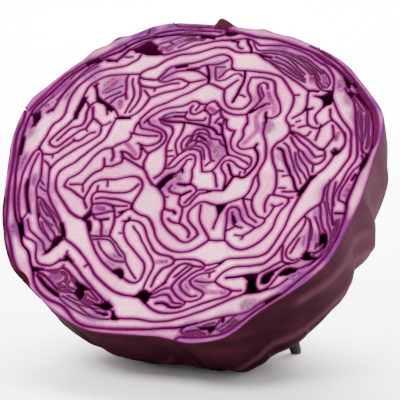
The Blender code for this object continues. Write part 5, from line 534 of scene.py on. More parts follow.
RIGHT_LINES = [
    (FINE, [(19.8, 55), (23, 54), (25.3, 52.5), (28, 50.5), (31, 48.8), (33.6, 46.6)]),
    (FINE, [(24, 57.2), (27, 55), (30, 52.3), (32.6, 50.3)]),
    (FINE, [(28, 57), (31, 55.3), (33.3, 53.5), (35, 52.4), (36, 50)]),
    (SKIN, [(36.3, 51.4), (37.4, 49), (38.8, 46.3), (40.3, 44.5), (42, 43.4), (43.6, 43.3)]),
    (DARK, [(36, 43), (38, 43.1), (40, 43)]),
    (SKIN, [(39.4, 40.8), (42.4, 40.9)]),
    (SKIN, [(37, 34), (36.2, 32.6), (34.7, 31.3), (33, 30)]),
    (FINE, [(30.9, 40.5), (32.7, 40.6)]),
    (SKIN, [(20.3, 40.7), (21.7, 38.3), (23.3, 36.3), (24.6, 34.3), (25, 31.6)]),
    (SKIN, [(20.2, 33.6), (22.3, 33.8), (24.8, 34.2)]),
    (DARK, [(21.7, 31.7), (22.1, 29.3)]),
    (SKIN, [(22.4, 27), (23, 25), (23, 23), (23.7, 21), (25, 18.7), (26, 16), (26.7, 13.3), (27.1, 10.7),
        (26.7, 8.3), (26.2, 6.2), (25.7, 3.7), (25, 1.7), (25, -1), (24.8, -3.3), (24.3, -5.3)]),
    (SKIN, [(37.6, 34.8), (38.1, 33.5), (38.7, 31), (39.3, 28.6), (40.2, 27.3), (42, 26.4), (43.7, 26.1),
        (45.3, 26.8), (46.3, 28), (48, 29.8), (49, 30.4)]),
    (SKIN, [(44.3, 37.8), (43.3, 35), (42, 32.7), (41.7, 31.3), (42.7, 29.3), (43.5, 28.2)]),
    (SKIN, [(46.9, 35.2), (47.4, 33.3), (48.1, 31.3), (49.2, 30.2), (50.7, 29.2), (52.7, 27.3), (54.7, 25.2),
        (56, 23)]),
    (SKIN, [(45.8, 45), (46.3, 41), (47.7, 38.3), (49.3, 35.7), (51.3, 32.7), (53.3, 30.3), (55.3, 28.3),
        (57, 26.5), (58.1, 24.5), (58.5, 22), (59.3, 19), (59.8, 15.7), (59.7, 13.7), (58.7, 11),
        (57.7, 8.3), (56.7, 6), (55.7, 3.7), (54.4, 1.7), (53.8, -0.3), (54, -2.3), (54.2, -5), (53.7, -7),
        (52, -8.7), (50.3, -10.4), (49, -12.7), (47.7, -15), (46.7, -17), (45.7, -19.3), (44.7, -22),
        (44, -25), (43.3, -27), (42.6, -29), (41.6, -31.2), (40.3, -33), (38.7, -34.7), (36.3, -35.5),
        (33.7, -36.3), (31.7, -36.6), (29.7, -36.8), (27.7, -37.4), (26, -38.4), (24.3, -39.8), (23, -41.7),
        (22.1, -44), (23.7, -45.3), (25.7, -46.3), (27.7, -46.8), (29.7, -47.3), (31.3, -47.2), (33, -47)]),
    (SKIN, [(50.3, 45.2), (51.7, 43.3), (53.7, 41.2), (55.3, 39.6), (56.3, 37.3), (57.1, 35), (57.8, 31.7),
        (58.8, 28.7), (59.5, 26), (60.3, 24), (61.1, 21.6), (62, 18.3), (62.6, 15.7), (62.6, 13.3),
        (61.7, 11), (60.7, 8.3), (60, 5.7), (59.6, 3), (58.7, 0.3), (58.1, -2.7), (58.1, -5), (58.7, -7.7),
        (59.3, -11), (60, -13.4), (61, -15.7), (61.8, -13.6)]),
    (FINE, [(58.6, 35.4), (60.2, 33), (61.2, 29.6), (61.8, 26), (62.6, 22.4), (63.4, 19.4), (64.6, 16.6)]),
    (FINE, [(65.4, 24), (66, 20.7), (65.5, 18.4)]),
    (FINE, [(60.6, 37.6), (62.4, 33.6), (63.5, 29.8), (63.9, 26)]),
    (SKIN, [(63.2, 21.5), (63.7, 18.3), (65.1, 16.6), (66.6, 16.6)]),
    (SKIN, [(64.4, 15.6), (65.4, 13.4), (64.6, 11), (63, 9), (61.9, 6), (61, 2.6), (60, -1), (60.4, -4.6),
        (62.4, -5.4), (63.7, -6.4)]),
    (SKIN, [(55.3, 25), (56.3, 22.3), (56.6, 20), (56, 18), (54.6, 16.2), (53.6, 14.7), (53, 12.7), (52, 10),
        (50.7, 7.7), (49.3, 6.2), (48, 4.3), (47.3, 2.7), (46.7, 1), (46, -1.3), (45.2, -3.7), (44.7, -6),
        (44, -8.7), (43.3, -11.7), (43, -15), (42.6, -18.3), (41.7, -21.7), (40.8, -25), (39.8, -27.7),
        (38.9, -29.7), (37.3, -31.1), (35, -32.1), (32.3, -32.7), (30, -33.1), (27.3, -33.6), (25, -33.9),
        (23.3, -34.7), (22, -35.8), (20, -36.6), (18, -37.4), (16.3, -37.8)]),
    (SKIN, [(49.7, 28), (50.7, 25.4), (51.4, 22.6), (50.4, 20.3), (49.5, 18), (48.4, 17)]),
    (SKIN, [(34.2, 23.1), (36.7, 21.6), (38.7, 19.8), (40.7, 18.4), (42.7, 17), (44.3, 15.4), (45.8, 13.8),
        (46.7, 13.3), (49.2, 14.2)]),
    (SKIN, [(34.3, 24), (37.7, 22.8), (40, 21.5), (42.3, 20.2), (44.3, 18.6), (46.7, 17.3)]),
    (SKIN, [(49.7, 15.9), (50.3, 14), (50, 12), (49, 10.7), (47, 10), (45.7, 10.4), (44, 11.7), (42.3, 13.4),
        (40.8, 15.2), (39.2, 16), (37.7, 17.4), (36, 19.3), (34.7, 21.2)]),
    (FINE, [(46.7, 9.8), (46.8, 8.3), (47.2, 6.4)]),
    (FINE, [(39.1, 15.8), (39.7, 13.7), (40.9, 12), (42.3, 10.3), (44, 8.7), (45.3, 6.7), (46.2, 5)]),
    (FINE, [(38.2, 14.6), (38.9, 12.3), (40.1, 9.7), (41.8, 7.3), (43.8, 5.5), (45.1, 3.8), (46.1, 2.3)]),
    (FINE, [(32.7, 18.4), (34.7, 17), (36, 14.7), (37.3, 12), (38.7, 9.5), (40, 7), (41.7, 4.7), (43.2, 2.7),
        (43.9, 1)]),
    (DARK, [(31, 16), (33, 15), (34, 13), (35, 11), (36.3, 8.7), (37.7, 6.7), (38.7, 4.7), (40.3, 3),
        (41.3, 1), (42.3, -1), (43.2, -2)]),
    (FINE, [(36, 3.7), (38.5, 4.3)]),
    (FINE, [(32.9, 6), (35.6, 5.8)]),
    (SKIN, [(43.2, -2.5), (41.3, -2.8), (39.3, -3), (37.8, -3)]),
    (FINE, [(35.7, -1.6), (38.2, -1.5)]),
    (SKIN, [(45, 28), (45, 25), (44.8, 22.6), (44.7, 20.8)]),
    (FINE, [(35, 28.3), (36.3, 29)]),
    (SKIN, [(32.7, 26.4), (34.3, 26.6)]),
    (SKIN, [(36.7, 26), (38.6, 26.8), (40, 27.3)]),
    (FINE, [(38.6, 22.3), (41, 22.6), (41.8, 24.4)]),
    (SKIN, [(33.7, 23.4), (32.7, 21.3), (31.7, 19.7), (30, 18.3), (29, 16.3), (28.8, 14.3), (29.7, 11.7),
        (30.7, 9.3), (32, 7.3), (33, 5.3), (33.7, 3), (34.3, 0.7), (34.6, -1.7), (34.4, -4), (34.8, -4.9),
        (36.7, -5), (38.7, -5.2), (40.7, -5.7), (42.2, -5.3)]),
    (SKIN, [(34.3, -4.4), (33, -5.3), (32.5, -7), (32.3, -9), (32.7, -11), (33.3, -12.6)]),
    (SKIN, [(40.7, -5.7), (41.3, -7.3), (40.4, -9.3), (39.4, -11), (38.7, -13.3), (38.3, -15.7), (38.2, -18),
        (37.7, -20.3), (36.7, -22.3), (35.2, -24.8), (33.3, -27), (30, -29.2), (27.3, -29.7), (24.7, -29),
        (22.7, -27.7), (21, -26.4), (17.5, -26.8), (14.7, -26.8)]),
    (SKIN, [(35, -9.2), (36.3, -9.8), (38, -9.1), (39, -8.3)]),
    (SKIN, [(36.2, -9.8), (35.7, -12.3), (34.7, -14.7), (34, -15.4), (32.7, -15.2), (30.7, -14.7), (29, -13),
        (27.7, -11), (26.8, -8.3), (26.8, -6), (27.5, -3.7), (27.7, -1), (26.7, 1.3), (26, 3.7)]),
    (SKIN, [(34, -15.5), (34.2, -17), (33.3, -18.4), (32, -19.4), (31, -20), (29.7, -21.7), (27.7, -23.3),
        (27.3, -25)]),
    (SKIN, [(23.2, -7.4), (25, -7.8), (26.8, -7.8)]),
    (SKIN, [(23, -7.6), (24.3, -10), (25.7, -12.3), (27, -14.7), (28.7, -16), (30, -16.7), (31, -17.4)]),
    (SKIN, [(21.3, -11.5), (23, -12.7), (24, -14.7), (25.3, -16.7), (27, -18), (29, -18.8), (31.2, -19.7)]),
    (SKIN, [(20.6, -14), (21.6, -17.4), (23, -19.6), (26, -20.3)]),
    (SKIN, [(20, -22.3), (21.3, -21.5), (23.2, -20)]),
    (FINE, [(24.3, -23.7), (26.7, -23.8), (27.5, -23.6)]),
    (SKIN, [(53.7, -7.3), (54.7, -10), (55.3, -12.7), (56.3, -15), (57.5, -17.5), (59.1, -19.3),
        (60.2, -21.7), (60.4, -25), (59.7, -28.3), (58, -31.1), (56, -33.1), (54.6, -34.4), (52, -35.4),
        (49, -35.4), (47, -36.6), (45.6, -39), (44.7, -41), (43.9, -43), (42.7, -44.7), (41.3, -45.8),
        (40, -46.6)]),
    (FINE, [(55, -6), (56.4, -8.5), (57.7, -11.7), (58.7, -15), (60, -17.3), (61.6, -20.4), (62, -24),
        (61, -28)]),
    (DARK, [(60.5, -10.4), (63, -10.3), (63.9, -10.3)]),
    (FINE, [(62.6, -13), (62.9, -17), (62.6, -21)]),
    (SKIN, [(49, -13.2), (51, -14), (52.1, -16), (52.8, -18.5), (53.3, -21.7), (53.8, -25), (53.8, -27),
        (52.8, -29.4)]),
    (FINE, [(50, -14.2), (50, -16.7), (49.3, -19.3), (48.3, -22), (47, -25), (46, -27.7), (46.2, -30),
        (47.5, -31.7), (49.3, -32.2), (51.2, -31.4)]),
    (FINE, [(49.6, -22.6), (48.6, -26.4), (47.8, -29.2)]),
    (SKIN, [(54.4, -28.2), (57, -28), (58.6, -27), (59.4, -25.3), (60.2, -23)]),
    (FINE, [(56.8, -24), (56.9, -26.4)]),
    (SKIN, [(44.2, -26.4), (44.6, -29.3), (45.2, -31.7), (45.8, -33.2), (48, -33.5), (50.4, -33.2),
        (52, -31.8)]),
    (SKIN, [(45.4, -33), (43, -34.9), (41.3, -36.4), (39.3, -38), (37.6, -39.5), (37.4, -41)]),
    (SKIN, [(44.6, -37), (46, -35.2), (47.4, -34.2), (49, -33.8)]),
]

LOWER_LINES = [
    (DARK, [(37.4, -39.3), (35, -39.8), (32.7, -40.4), (30.7, -41.1), (28.3, -41.7), (26, -42.2)]),
    (SKIN, [(34.8, -43.6), (35.3, -46), (34.7, -48), (33, -49.3), (30.7, -50.5), (28.7, -51.8),
        (26.7, -53.2), (24.3, -54.8), (22, -56.2), (20, -57.4), (17.7, -58.5), (15, -60), (11.7, -61.4),
        (8.3, -62.7), (5, -63.4), (1.7, -63.6), (-1.7, -63.3), (-5, -63.2), (-8.3, -63.6), (-12, -63.7)]),
    (SKIN, [(34.6, -48.2), (37, -47.6), (40, -46.8), (42.4, -45.6), (45.6, -44.2), (48, -42), (49.6, -40)]),
    (SKIN, [(22, -44.2), (20, -44.8), (16.7, -45), (14.3, -44.7)]),
    (SKIN, [(29.6, -47.4), (28.7, -49.5), (26.7, -50.7), (24.3, -51.7), (22, -52.9), (20, -53.8), (18, -55),
        (15.7, -56.3), (13.3, -57.7), (11, -58.7), (8.3, -59.3), (5.3, -59.6), (2.7, -59.2), (0.3, -58.2),
        (-1.7, -56.8)]),
    (SKIN, [(27.2, -48.4), (24.7, -48.7), (22.3, -48.9), (20, -49.2)]),
    (SKIN, [(20, -62.3), (23.5, -60.9), (26.3, -59.6), (29.3, -58.5), (31.3, -57.8), (35, -56.9),
        (38, -55.4), (39.7, -53.8), (41.3, -51.9), (42.9, -50.5), (44.3, -49.7)]),
    (FINE, [(22, -64.2), (23.7, -62.6), (26.6, -61.4)]),
    (SKIN, [(16.6, -66.2), (20.5, -65.2), (24.4, -64.4)]),
    (SKIN, [(16.5, -63.8), (14.6, -66), (16, -67.4), (19.5, -67), (24.6, -66.4)]),
    (SKIN, [(27.2, -63.2), (28.2, -61.4), (29, -59.6)]),
    (FINE, [(28.4, -64.6), (30.3, -62.2), (32.2, -59.8), (34, -57.6)]),
    (FINE, [(30.3, -64.8), (32.5, -62.2), (34.7, -59.5)]),
    (SKIN, [(3.7, -36.7), (6, -36.2), (8.3, -35.9), (11, -35.8), (13.3, -36.1), (15, -36.8), (16.3, -37.9),
        (16, -39.3), (14, -40.4), (12.3, -41.7), (10.7, -43.7), (9.1, -45.7), (8.8, -47), (9.7, -48.7),
        (11.3, -50), (13, -51), (14.7, -51.6), (16.6, -51)]),
    (SKIN, [(3.7, -36.8), (3.6, -38.3), (2, -39.7), (0, -41), (-1, -43), (-1.7, -45), (-2, -47),
        (-2.2, -49)]),
    (SKIN, [(-4, -38.4), (-1.7, -38.2), (0.6, -37.8)]),
    (SKIN, [(15, -38.6), (11.7, -38.6), (9.3, -37.8), (7.3, -38.1), (5.7, -39.4), (4.4, -41.3), (3.4, -43.7),
        (2.8, -46.3), (2, -47.4)]),
    (SKIN, [(11.8, -38.7), (10, -41.3), (8.3, -43.3), (7, -45.3), (6, -47.3), (5.8, -48.8), (7, -50),
        (8.7, -51.7), (10.7, -53), (13, -53.9), (14.7, -53.7), (16.7, -53), (18.5, -51.7), (19.2, -50),
        (18.3, -49), (16.7, -48.3), (14.7, -47.6), (13, -46.3), (12.2, -45), (13, -43.7), (14.7, -42.1),
        (16.7, -41.2), (18.7, -40.8), (20.6, -39.8)]),
    (FINE, [(9.6, -38.9), (7.3, -42), (5.8, -44)]),
    (FINE, [(19, -40.9), (19.3, -42.6)]),
    (SKIN, [(23.3, -34.8), (21.4, -37.4), (19.6, -38.8), (17, -40)]),
    (SKIN, [(5.8, -48.8), (3.7, -49.1), (2, -50), (0.3, -51.6), (-1.4, -52.6)]),
    (SKIN, [(3, -46.8), (0.9, -48.8), (-0.8, -50.8), (-2, -52)]),
    (SKIN, [(-1.5, -53.7), (0.7, -53.3), (2, -52.4), (3.7, -51.8), (5.3, -51.8), (6.7, -53), (8, -54.6),
        (9.3, -55), (11.5, -54.8)]),
    (DARK, [(1.9, -55.8), (4.3, -55.4), (6, -55.8), (7.3, -56.7), (9.7, -56.8), (11.7, -56.2)]),
    (SKIN, [(13, -54), (12.8, -55.2), (11.7, -56.2)]),
    (SKIN, [(-31, -43.2), (-30, -41.9), (-28, -44), (-26, -46.3), (-23.7, -48), (-21.3, -49.7), (-19.3, -51),
        (-17, -52.3), (-14.7, -53.2), (-12.3, -53.7), (-10, -53.8), (-7.3, -53.6), (-5, -53)]),
    (SKIN, [(-42.9, -32.2), (-40.7, -33.3), (-38.3, -34.7), (-36, -36.3), (-34, -38), (-32, -39.8),
        (-30, -41.9)]),
    (SKIN, [(-63.3, -25), (-62, -27.7), (-61, -30.3), (-60, -32.3), (-58.3, -33.4), (-56, -34.1),
        (-54.3, -35.1), (-53.3, -37.3), (-52.7, -40), (-51.7, -42.3), (-50, -44), (-48, -44.4),
        (-45.3, -44.3), (-43.3, -43), (-41.9, -41.6)]),
    (FINE, [(-40.1, -39.6), (-40.2, -37.5)]),
    (SKIN, [(-38.6, -41), (-35.7, -43), (-33.3, -45), (-31.3, -47), (-30, -48.2), (-28, -49.8), (-26, -51.4),
        (-24, -53), (-22, -54.7), (-20, -56.1), (-18.2, -57.2)]),
    (SKIN, [(-61, -25), (-60, -27), (-58.7, -29.4), (-57, -30.8), (-55, -32.1), (-53, -33.4), (-51.3, -34.8),
        (-50.3, -36.7), (-49.3, -38.4)]),
    (SKIN, [(-64.7, -24.3), (-63.3, -25), (-61.9, -21.8)]),
    (SKIN, [(-57.2, -23.4), (-56, -26), (-54.6, -28.2), (-52.6, -30.3), (-50.4, -32), (-48, -34)]),
    (FINE, [(-54, -25), (-51.7, -27.2), (-49.3, -29.3), (-47.7, -30.8), (-46.6, -32.6)]),
    (FINE, [(-51.3, -22.7), (-49, -26), (-47, -28), (-45.8, -29.8)]),
    (SKIN, [(-47, -25), (-46, -25.4), (-45, -27.2), (-43.7, -29.6), (-42.9, -32.2)]),
    (SKIN, [(-40, -44.6), (-39.8, -43.8)]),
    (SKIN, [(-50, -46.3), (-46.7, -46.6), (-43.7, -46.2), (-41.3, -45.6), (-40, -44.7), (-38.5, -45.2),
        (-36.7, -46.4), (-35, -47.8), (-33.3, -49.1), (-31.7, -50.3), (-30, -51), (-28, -51.9),
        (-25.7, -53.4), (-23.7, -55.1), (-21.4, -57)]),
    (FINE, [(-45, -47), (-41.5, -46.8), (-38.6, -46.6), (-37, -48.4), (-36.2, -50.4)]),
    (SKIN, [(-49.6, -47.6), (-47, -48.3), (-44.6, -49.7), (-42.4, -51.3), (-40.4, -53.2), (-38, -54.6),
        (-35.5, -55), (-33, -54.8), (-30.5, -55.6), (-29, -57.4), (-26.7, -59), (-23.5, -60.2),
        (-20, -62.2)]),
    (FINE, [(-39.8, -51.6), (-38.6, -53), (-36, -53.3), (-33, -53.4)]),
    (FINE, [(-37.6, -50.5), (-35.6, -51.8), (-35, -50)]),
    (DARK, [(-31.6, -52), (-29.6, -53.4), (-29.3, -55.6)]),
    (FINE, [(-36, -56.8), (-33, -58.2), (-30, -59.6), (-27.3, -61.2), (-24.7, -62.8), (-21.7, -64.2),
        (-18.3, -64.8), (-15, -64.6), (-12.8, -64)]),
    (FINE, [(-34, -56.4), (-31, -57.6), (-28.6, -58.2)]),
    (SKIN, [(-28.6, -57.6), (-27.6, -55.4), (-28.4, -53.8)]),
    (FINE, [(-27, -54.6), (-26.4, -57), (-24.6, -59.4)]),
    (SKIN, [(-28.8, -53.2), (-26, -52.9)]),
    (SKIN, [(-15.4, -59), (-16.6, -60.8), (-19.6, -59.8), (-22.4, -59)]),
    (SKIN, [(-18.7, -57.6), (-20.2, -58.8), (-22.6, -58.4), (-25.4, -57.4)]),
]

FOLDED_LINES = [
    (FINE, [(-25, -29.2), (-23.3, -30.7), (-21.7, -32), (-20, -33.7), (-18.3, -35.3), (-16.7, -36.7),
        (-16, -38.3), (-15.3, -39.7), (-13.7, -41.7), (-11.7, -44), (-10, -45.7), (-9.3, -46.3)]),
    (FINE, [(-33.3, -29.8), (-30, -29.7), (-27.7, -29.3), (-25.1, -29.2)]),
    (FINE, [(-32.2, -31.4), (-30, -31), (-28, -30.7), (-25.7, -30.7), (-23.7, -31.7), (-22, -33.3),
        (-20.3, -35.3), (-18.7, -37), (-17.7, -37.7)]),
    (FINE, [(-29, -32), (-28, -33.7), (-26.3, -35.7), (-24.3, -37.3), (-22.3, -38.7), (-20, -39.7),
        (-17.7, -39.8), (-15.4, -39.7)]),
    (FINE, [(12.7, 59.1), (18.1, 59), (24.7, 57.5), (30.5, 54.2), (35.4, 51.2), (38.3, 49.5)]),
    (FINE, [(16.8, 56), (22.2, 54.5), (27, 52), (30.9, 49.5), (33.4, 47.8)]),
    (FINE, [(18.5, 57.6), (24.5, 55.1), (29.1, 51.7), (32.3, 49.1)]),
    (FINE, [(21.6, 58.3), (27.6, 55.8), (32.1, 52.9), (35.2, 50.3)]),
    (FINE, [(14.7, 60.6), (21.9, 60.2), (28.7, 57.8), (34.5, 54.5), (39.6, 50.6), (42.7, 46.6)]),
    (FINE, [(24.4, 58.5), (30.3, 56.5), (35.8, 52.7), (39.4, 48.2)]),
    (FINE, [(18, 54.7), (23.7, 51.8), (29, 48.8), (32.9, 46.8)]),
    (FINE, [(36.9, 51.8), (38.6, 48.2), (41.6, 44.6)]),
    (FINE, [(39, 52.9), (42.1, 50.3), (43.8, 47.1), (43.2, 44.8)]),
    (FINE, [(55.2, 43.4), (58.2, 39.4), (61, 36), (63.5, 30.7), (64.9, 23.5), (65.2, 19)]),
    (FINE, [(59.5, 34), (60.3, 29.5), (62.2, 25.1), (63.5, 21.1)]),
    (FINE, [(61.6, 33.7), (63, 27.9), (63.4, 23.4), (62.7, 21.5)]),
    (FINE, [(53.9, 42.3), (57.2, 38.4), (60.1, 35)]),
    (FINE, [(62.8, 38.4), (65.4, 32.6), (67.4, 26.4), (68, 20.6)]),
    (FINE, [(58.1, 34.8), (58.9, 30.3), (60.6, 24.9), (62.8, 21)]),
    (FINE, [(54.9, 3.7), (55.4, -3), (57.8, -9.4), (60.7, -14.4)]),
    (FINE, [(57.4, 3), (57.8, -3.2), (59.3, -7.5)]),
    (FINE, [(53.2, -12.9), (56, -17.5), (57.5, -21.7), (57.6, -25.2)]),
    (FINE, [(51.6, -14.4), (53.5, -18.6), (54.2, -22.9)]),
    (FINE, [(62.2, -14.2), (61.8, -18.7), (60.9, -23.1), (58.8, -26.8), (56.4, -29.6)]),
    (FINE, [(64, -15.4), (64.1, -20.2), (62.3, -25.6), (59.5, -29.7), (56, -34)]),
    (FINE, [(-58.6, -17.4), (-55.4, -20.7), (-52, -23.1), (-48.7, -25.6)]),
    (FINE, [(-57.4, -15.9), (-53.7, -19.2), (-50.3, -22.1), (-47.8, -24.6)]),
    (FINE, [(-55, -25.7), (-52.7, -29.1), (-50, -32)]),
    (FINE, [(-53.1, -25.1), (-50.5, -28), (-48.1, -30)]),
    (FINE, [(-58.7, -18.3), (-56.6, -22.2), (-53.7, -24.7), (-49.9, -27)]),
    (FINE, [(-49.3, -47.2), (-45.6, -49.5), (-41.8, -52.2), (-37.9, -54), (-33.6, -54.4), (-30, -56.6)]),
    (FINE, [(-38.2, -53.1), (-35, -52.8), (-31.4, -53.7), (-29.8, -56.1)]),
    (FINE, [(-29, -53.4), (-28.5, -56.4), (-25.8, -58.3), (-22.2, -59.2), (-19.7, -58.1), (-20.5, -55.6),
        (-24.1, -53.3), (-27.7, -52.4), (-29, -53.4)]),
    (FINE, [(-27, -54.5), (-24.3, -56.4), (-21.6, -57.4)]),
    (FINE, [(-36.2, -56.8), (-32.3, -58.6), (-27.8, -59.9), (-22.6, -60.6), (-17.8, -60.5)]),
    (FINE, [(-36.6, -58.2), (-32.4, -60.8), (-27.7, -62.9), (-22.2, -64.5), (-16.5, -64.7)]),
    (FINE, [(-39.6, -47.5), (-37.3, -48.2), (-37.4, -50.4), (-38.9, -51), (-37.5, -52.6), (-35.1, -52.3)]),
    (FINE, [(-36, -47.1), (-33.7, -50.4), (-31.9, -52)]),
    (FINE, [(16, -67), (19.2, -65.8), (23.6, -66.1)]),
    (FINE, [(27.8, -64.4), (30.7, -61.9), (33.9, -59.5)]),
    (FINE, [(29.9, -64.6), (33.2, -62.5), (36.3, -59.6)]),
    (FINE, [(-46.7, 55.3), (-39.9, 61.6), (-32.4, 65.6), (-22.5, 68.2), (-12.3, 69.9)]),
    (FINE, [(-43.5, 56.5), (-37.5, 60.8), (-29.9, 64.3), (-19.9, 66.9), (-9.6, 68.1)]),
    (FINE, [(-30.9, 60.3), (-27.1, 62), (-22.6, 64.3), (-16.9, 65.2)]),
    (FINE, [(-28.2, 58.5), (-23.5, 61.3), (-18.8, 63.1), (-12.7, 64)]),
    (FINE, [(-68.7, 31.2), (-64.9, 38.3), (-61.6, 44.4), (-57.1, 49.6)]),
    (FINE, [(-66.3, 30.5), (-62.7, 37), (-59.3, 42.6), (-53.9, 47.9)]),
    (FINE, [(-73.4, 24.1), (-71.2, 28.1), (-68.9, 31.7)]),
    (FINE, [(-6.4, 14.2), (-5, 18), (-2.3, 20.1), (0.8, 19.4)]),
    (FINE, [(-4.1, 12), (-2.6, 15.4), (0.3, 17), (4.3, 14.6)]),
    (FINE, [(-11.2, -6), (-9.1, -2.2), (-6.4, -0.1)]),
    (FINE, [(27.4, 63), (36.6, 59.4), (46.2, 53.4), (54.6, 45.6), (61.3, 38.3), (66.3, 30.9)]),
    (FINE, [(31.3, 63.7), (40.7, 59.2), (49.7, 52.3), (57.3, 44.5), (64.2, 36.2)]),
]
print("folded lines", len(FOLDED_LINES))

# %% [markdown]
# Where leaves don't touch, the cut opens a hollow and shows the walls deep inside. A hollow has
# two different sides, so it is a closed shape and not a wide route.

# %% The hollows between the leaves, each a closed shape on the cut plane
HOLLOW_SHAPES = [
    [(-41.3, 56.1), (-39.7, 58.2), (-38.1, 59.8), (-36.4, 61.4), (-35.2, 61.7), (-33.5, 60.4), (-31, 59.3),
     (-31.4, 57.8), (-29.5, 57), (-28.2, 55.6), (-30.1, 54.8), (-32.6, 54.6), (-35.2, 54.6), (-38.5, 55.6)],
    [(-74.8, 23), (-73.5, 24.3), (-71.4, 23.3), (-70.5, 21.9), (-71.1, 19.5), (-72.2, 17.5), (-73.1, 16.5),
     (-73, 18.6), (-72.1, 19.9), (-73.6, 20.7)],
    [(-59.9, 48.9), (-57.5, 50.8), (-54.3, 51.8), (-55.1, 50.3), (-57.2, 48.4), (-58, 46.9)],
    [(-53.2, 38.5), (-51.6, 39.1), (-51, 36.5), (-49.5, 34.2), (-47.6, 32.4), (-45.2, 30.7), (-42.2, 29.5),
     (-40.5, 28.2), (-41.8, 26.7), (-43.7, 28.2), (-46.3, 30.1), (-48.6, 30.7), (-50.1, 32.7), (-50.4, 35.1),
     (-51.9, 37.1)],
    [(-53.7, 33.1), (-53.9, 31), (-54.3, 28.3), (-55.1, 25.1), (-55, 22.3), (-56.5, 22.1), (-56.6, 26),
     (-56.1, 29.8), (-55.2, 32.5)],
    [(46.8, 52.5), (50.3, 50.2), (52.1, 47.6), (52.2, 44.8), (50.5, 46.3), (49, 48.9)],
    [(53.1, 43.9), (55.2, 43.4), (58.6, 41.1), (61.9, 37.4), (63.3, 34.8), (60.3, 37.3), (56.7, 40.5)],
    [(38.5, 40.7), (41.7, 41.1), (43.7, 42.5), (46, 43.1), (46.4, 39.9), (46.8, 37.6), (44.9, 36.5),
     (43.6, 35), (43.2, 38.2), (41.6, 39.7)],
    [(46.6, 5.1), (49.3, 5.4), (47.6, 2.5), (46.8, -0.2), (45.6, -3.4), (43.9, -4.5), (44, -1.8), (45, 0.3),
     (46, 2.8)],
    [(52, 16.5), (54.6, 17.1), (56.3, 18.2), (55.1, 15.4), (53.3, 14.3)],
    [(31.5, -40.9), (35, -40.5), (37.7, -38.9), (37.8, -41.5), (38.3, -44), (39.5, -45.6), (41.7, -46.2),
     (39.6, -47.3), (35.7, -47.5), (36.2, -45.6), (34.9, -43.1), (33.1, -41.6)],
    [(39.9, -43.4), (39.4, -40.9), (40.1, -39.1), (42.7, -37.1), (45.7, -35.1), (44.6, -36.9), (43.5, -38.7),
     (43.1, -41.4), (42, -43.2)],
    [(46.1, -39.3), (47.9, -37.4), (50.6, -35.8), (53.2, -35.1), (51.3, -37.1), (49, -38.8)],
    [(41.5, -51.4), (44.3, -49), (48.6, -45.9), (46.4, -49.4), (43, -51.2)],
    [(-49.9, -40.1), (-48.6, -37.7), (-47.1, -35.8), (-48, -33.6), (-46.9, -31.3), (-45.4, -30.7),
     (-44.2, -31.9), (-43.3, -32.7), (-45.2, -34), (-46.4, -36.6), (-47.8, -39)],
    [(-47.9, -23.7), (-46, -26.2), (-43.3, -31.4), (-44.6, -31), (-46.4, -27.6)],
    [(-40.6, -41.8), (-39.8, -40.4), (-40, -38.4), (-38.1, -40.2), (-36, -41.8), (-38.6, -41.4)],
    [(-52.6, -45.3), (-49.9, -45.5), (-46.7, -46), (-49.4, -47), (-51.2, -47.8)],
    [(-49.7, -48.6), (-47.3, -49.4), (-43.8, -52.4), (-39.6, -55.2), (-36.3, -57.7), (-39.4, -57),
     (-44.1, -54.2), (-47.5, -51.4)],
    [(-44.2, -47.3), (-40.9, -47.4), (-38.9, -48.3), (-39.2, -50.1), (-39.2, -51.9), (-41.6, -50.4)],
    [(-33.8, -50), (-30.6, -51), (-27.3, -52.4), (-29.7, -53.9), (-30, -56.6), (-31.9, -54),
     (-31.3, -52.8)],
    [(-19.6, -58.5), (-16.7, -58.6), (-14, -61.4), (-10.5, -64.2), (-14, -64.6), (-14.4, -61.6),
     (-17.6, -59.8)],
    [(-18.7, -62.8), (-16.6, -61.7), (-15.2, -62.8), (-17.2, -63.5)],
    [(-8.7, -54.3), (-6.8, -52.6), (-5, -50.4), (-1.7, -51.8), (-1.4, -54.4), (-2.4, -56.2), (-5.3, -54.6)],
    [(-20, -43.9), (-17.6, -42.5), (-15.3, -43.2), (-14.3, -45.7), (-14.9, -47.1), (-17.5, -45.4)],
    [(-67.3, -9.9), (-66.9, -6.6), (-63.7, -15.5), (-60.3, -22.6), (-62.5, -20.5), (-65.2, -15.7)],
    [(-37.7, -23.1), (-35.3, -22.9), (-33.8, -25.4), (-33.4, -28.1), (-35.7, -25.4)],
    [(57.7, -25.8), (57.5, -21.7), (57.5, -18.9), (59.3, -20.6), (59.3, -23.7)],
    [(53.8, -27.3), (56.8, -29.8), (60.1, -29), (56.8, -31.3), (53, -31.5)],
    [(-5.4, 68.9), (-2.6, 68.6), (1.4, 67.9), (-1.1, 66.5), (-4.4, 66.3)],
    [(-38.6, 23.4), (-37.1, 25.4), (-34.6, 24.2)],
    [(20.2, -63.8), (24.7, -63), (27.8, -62.3), (27.5, -64.6), (26, -66.3), (24.8, -64.7), (22, -64.6)],
    [(-12.3, -5.2), (-11.3, -1.5), (-9.2, 1), (-6.8, 1.4), (-8.1, -1.2), (-10, -4.8), (-11, -6.9)],
]
print("hollows", len(HOLLOW_SHAPES))


# %% [markdown]
# A knife leaves smooth edges, so every route is a smooth curve through its points. Flesh is
# whatever lies far enough from a skin, and a leaf's outline is where that distance is nothing.

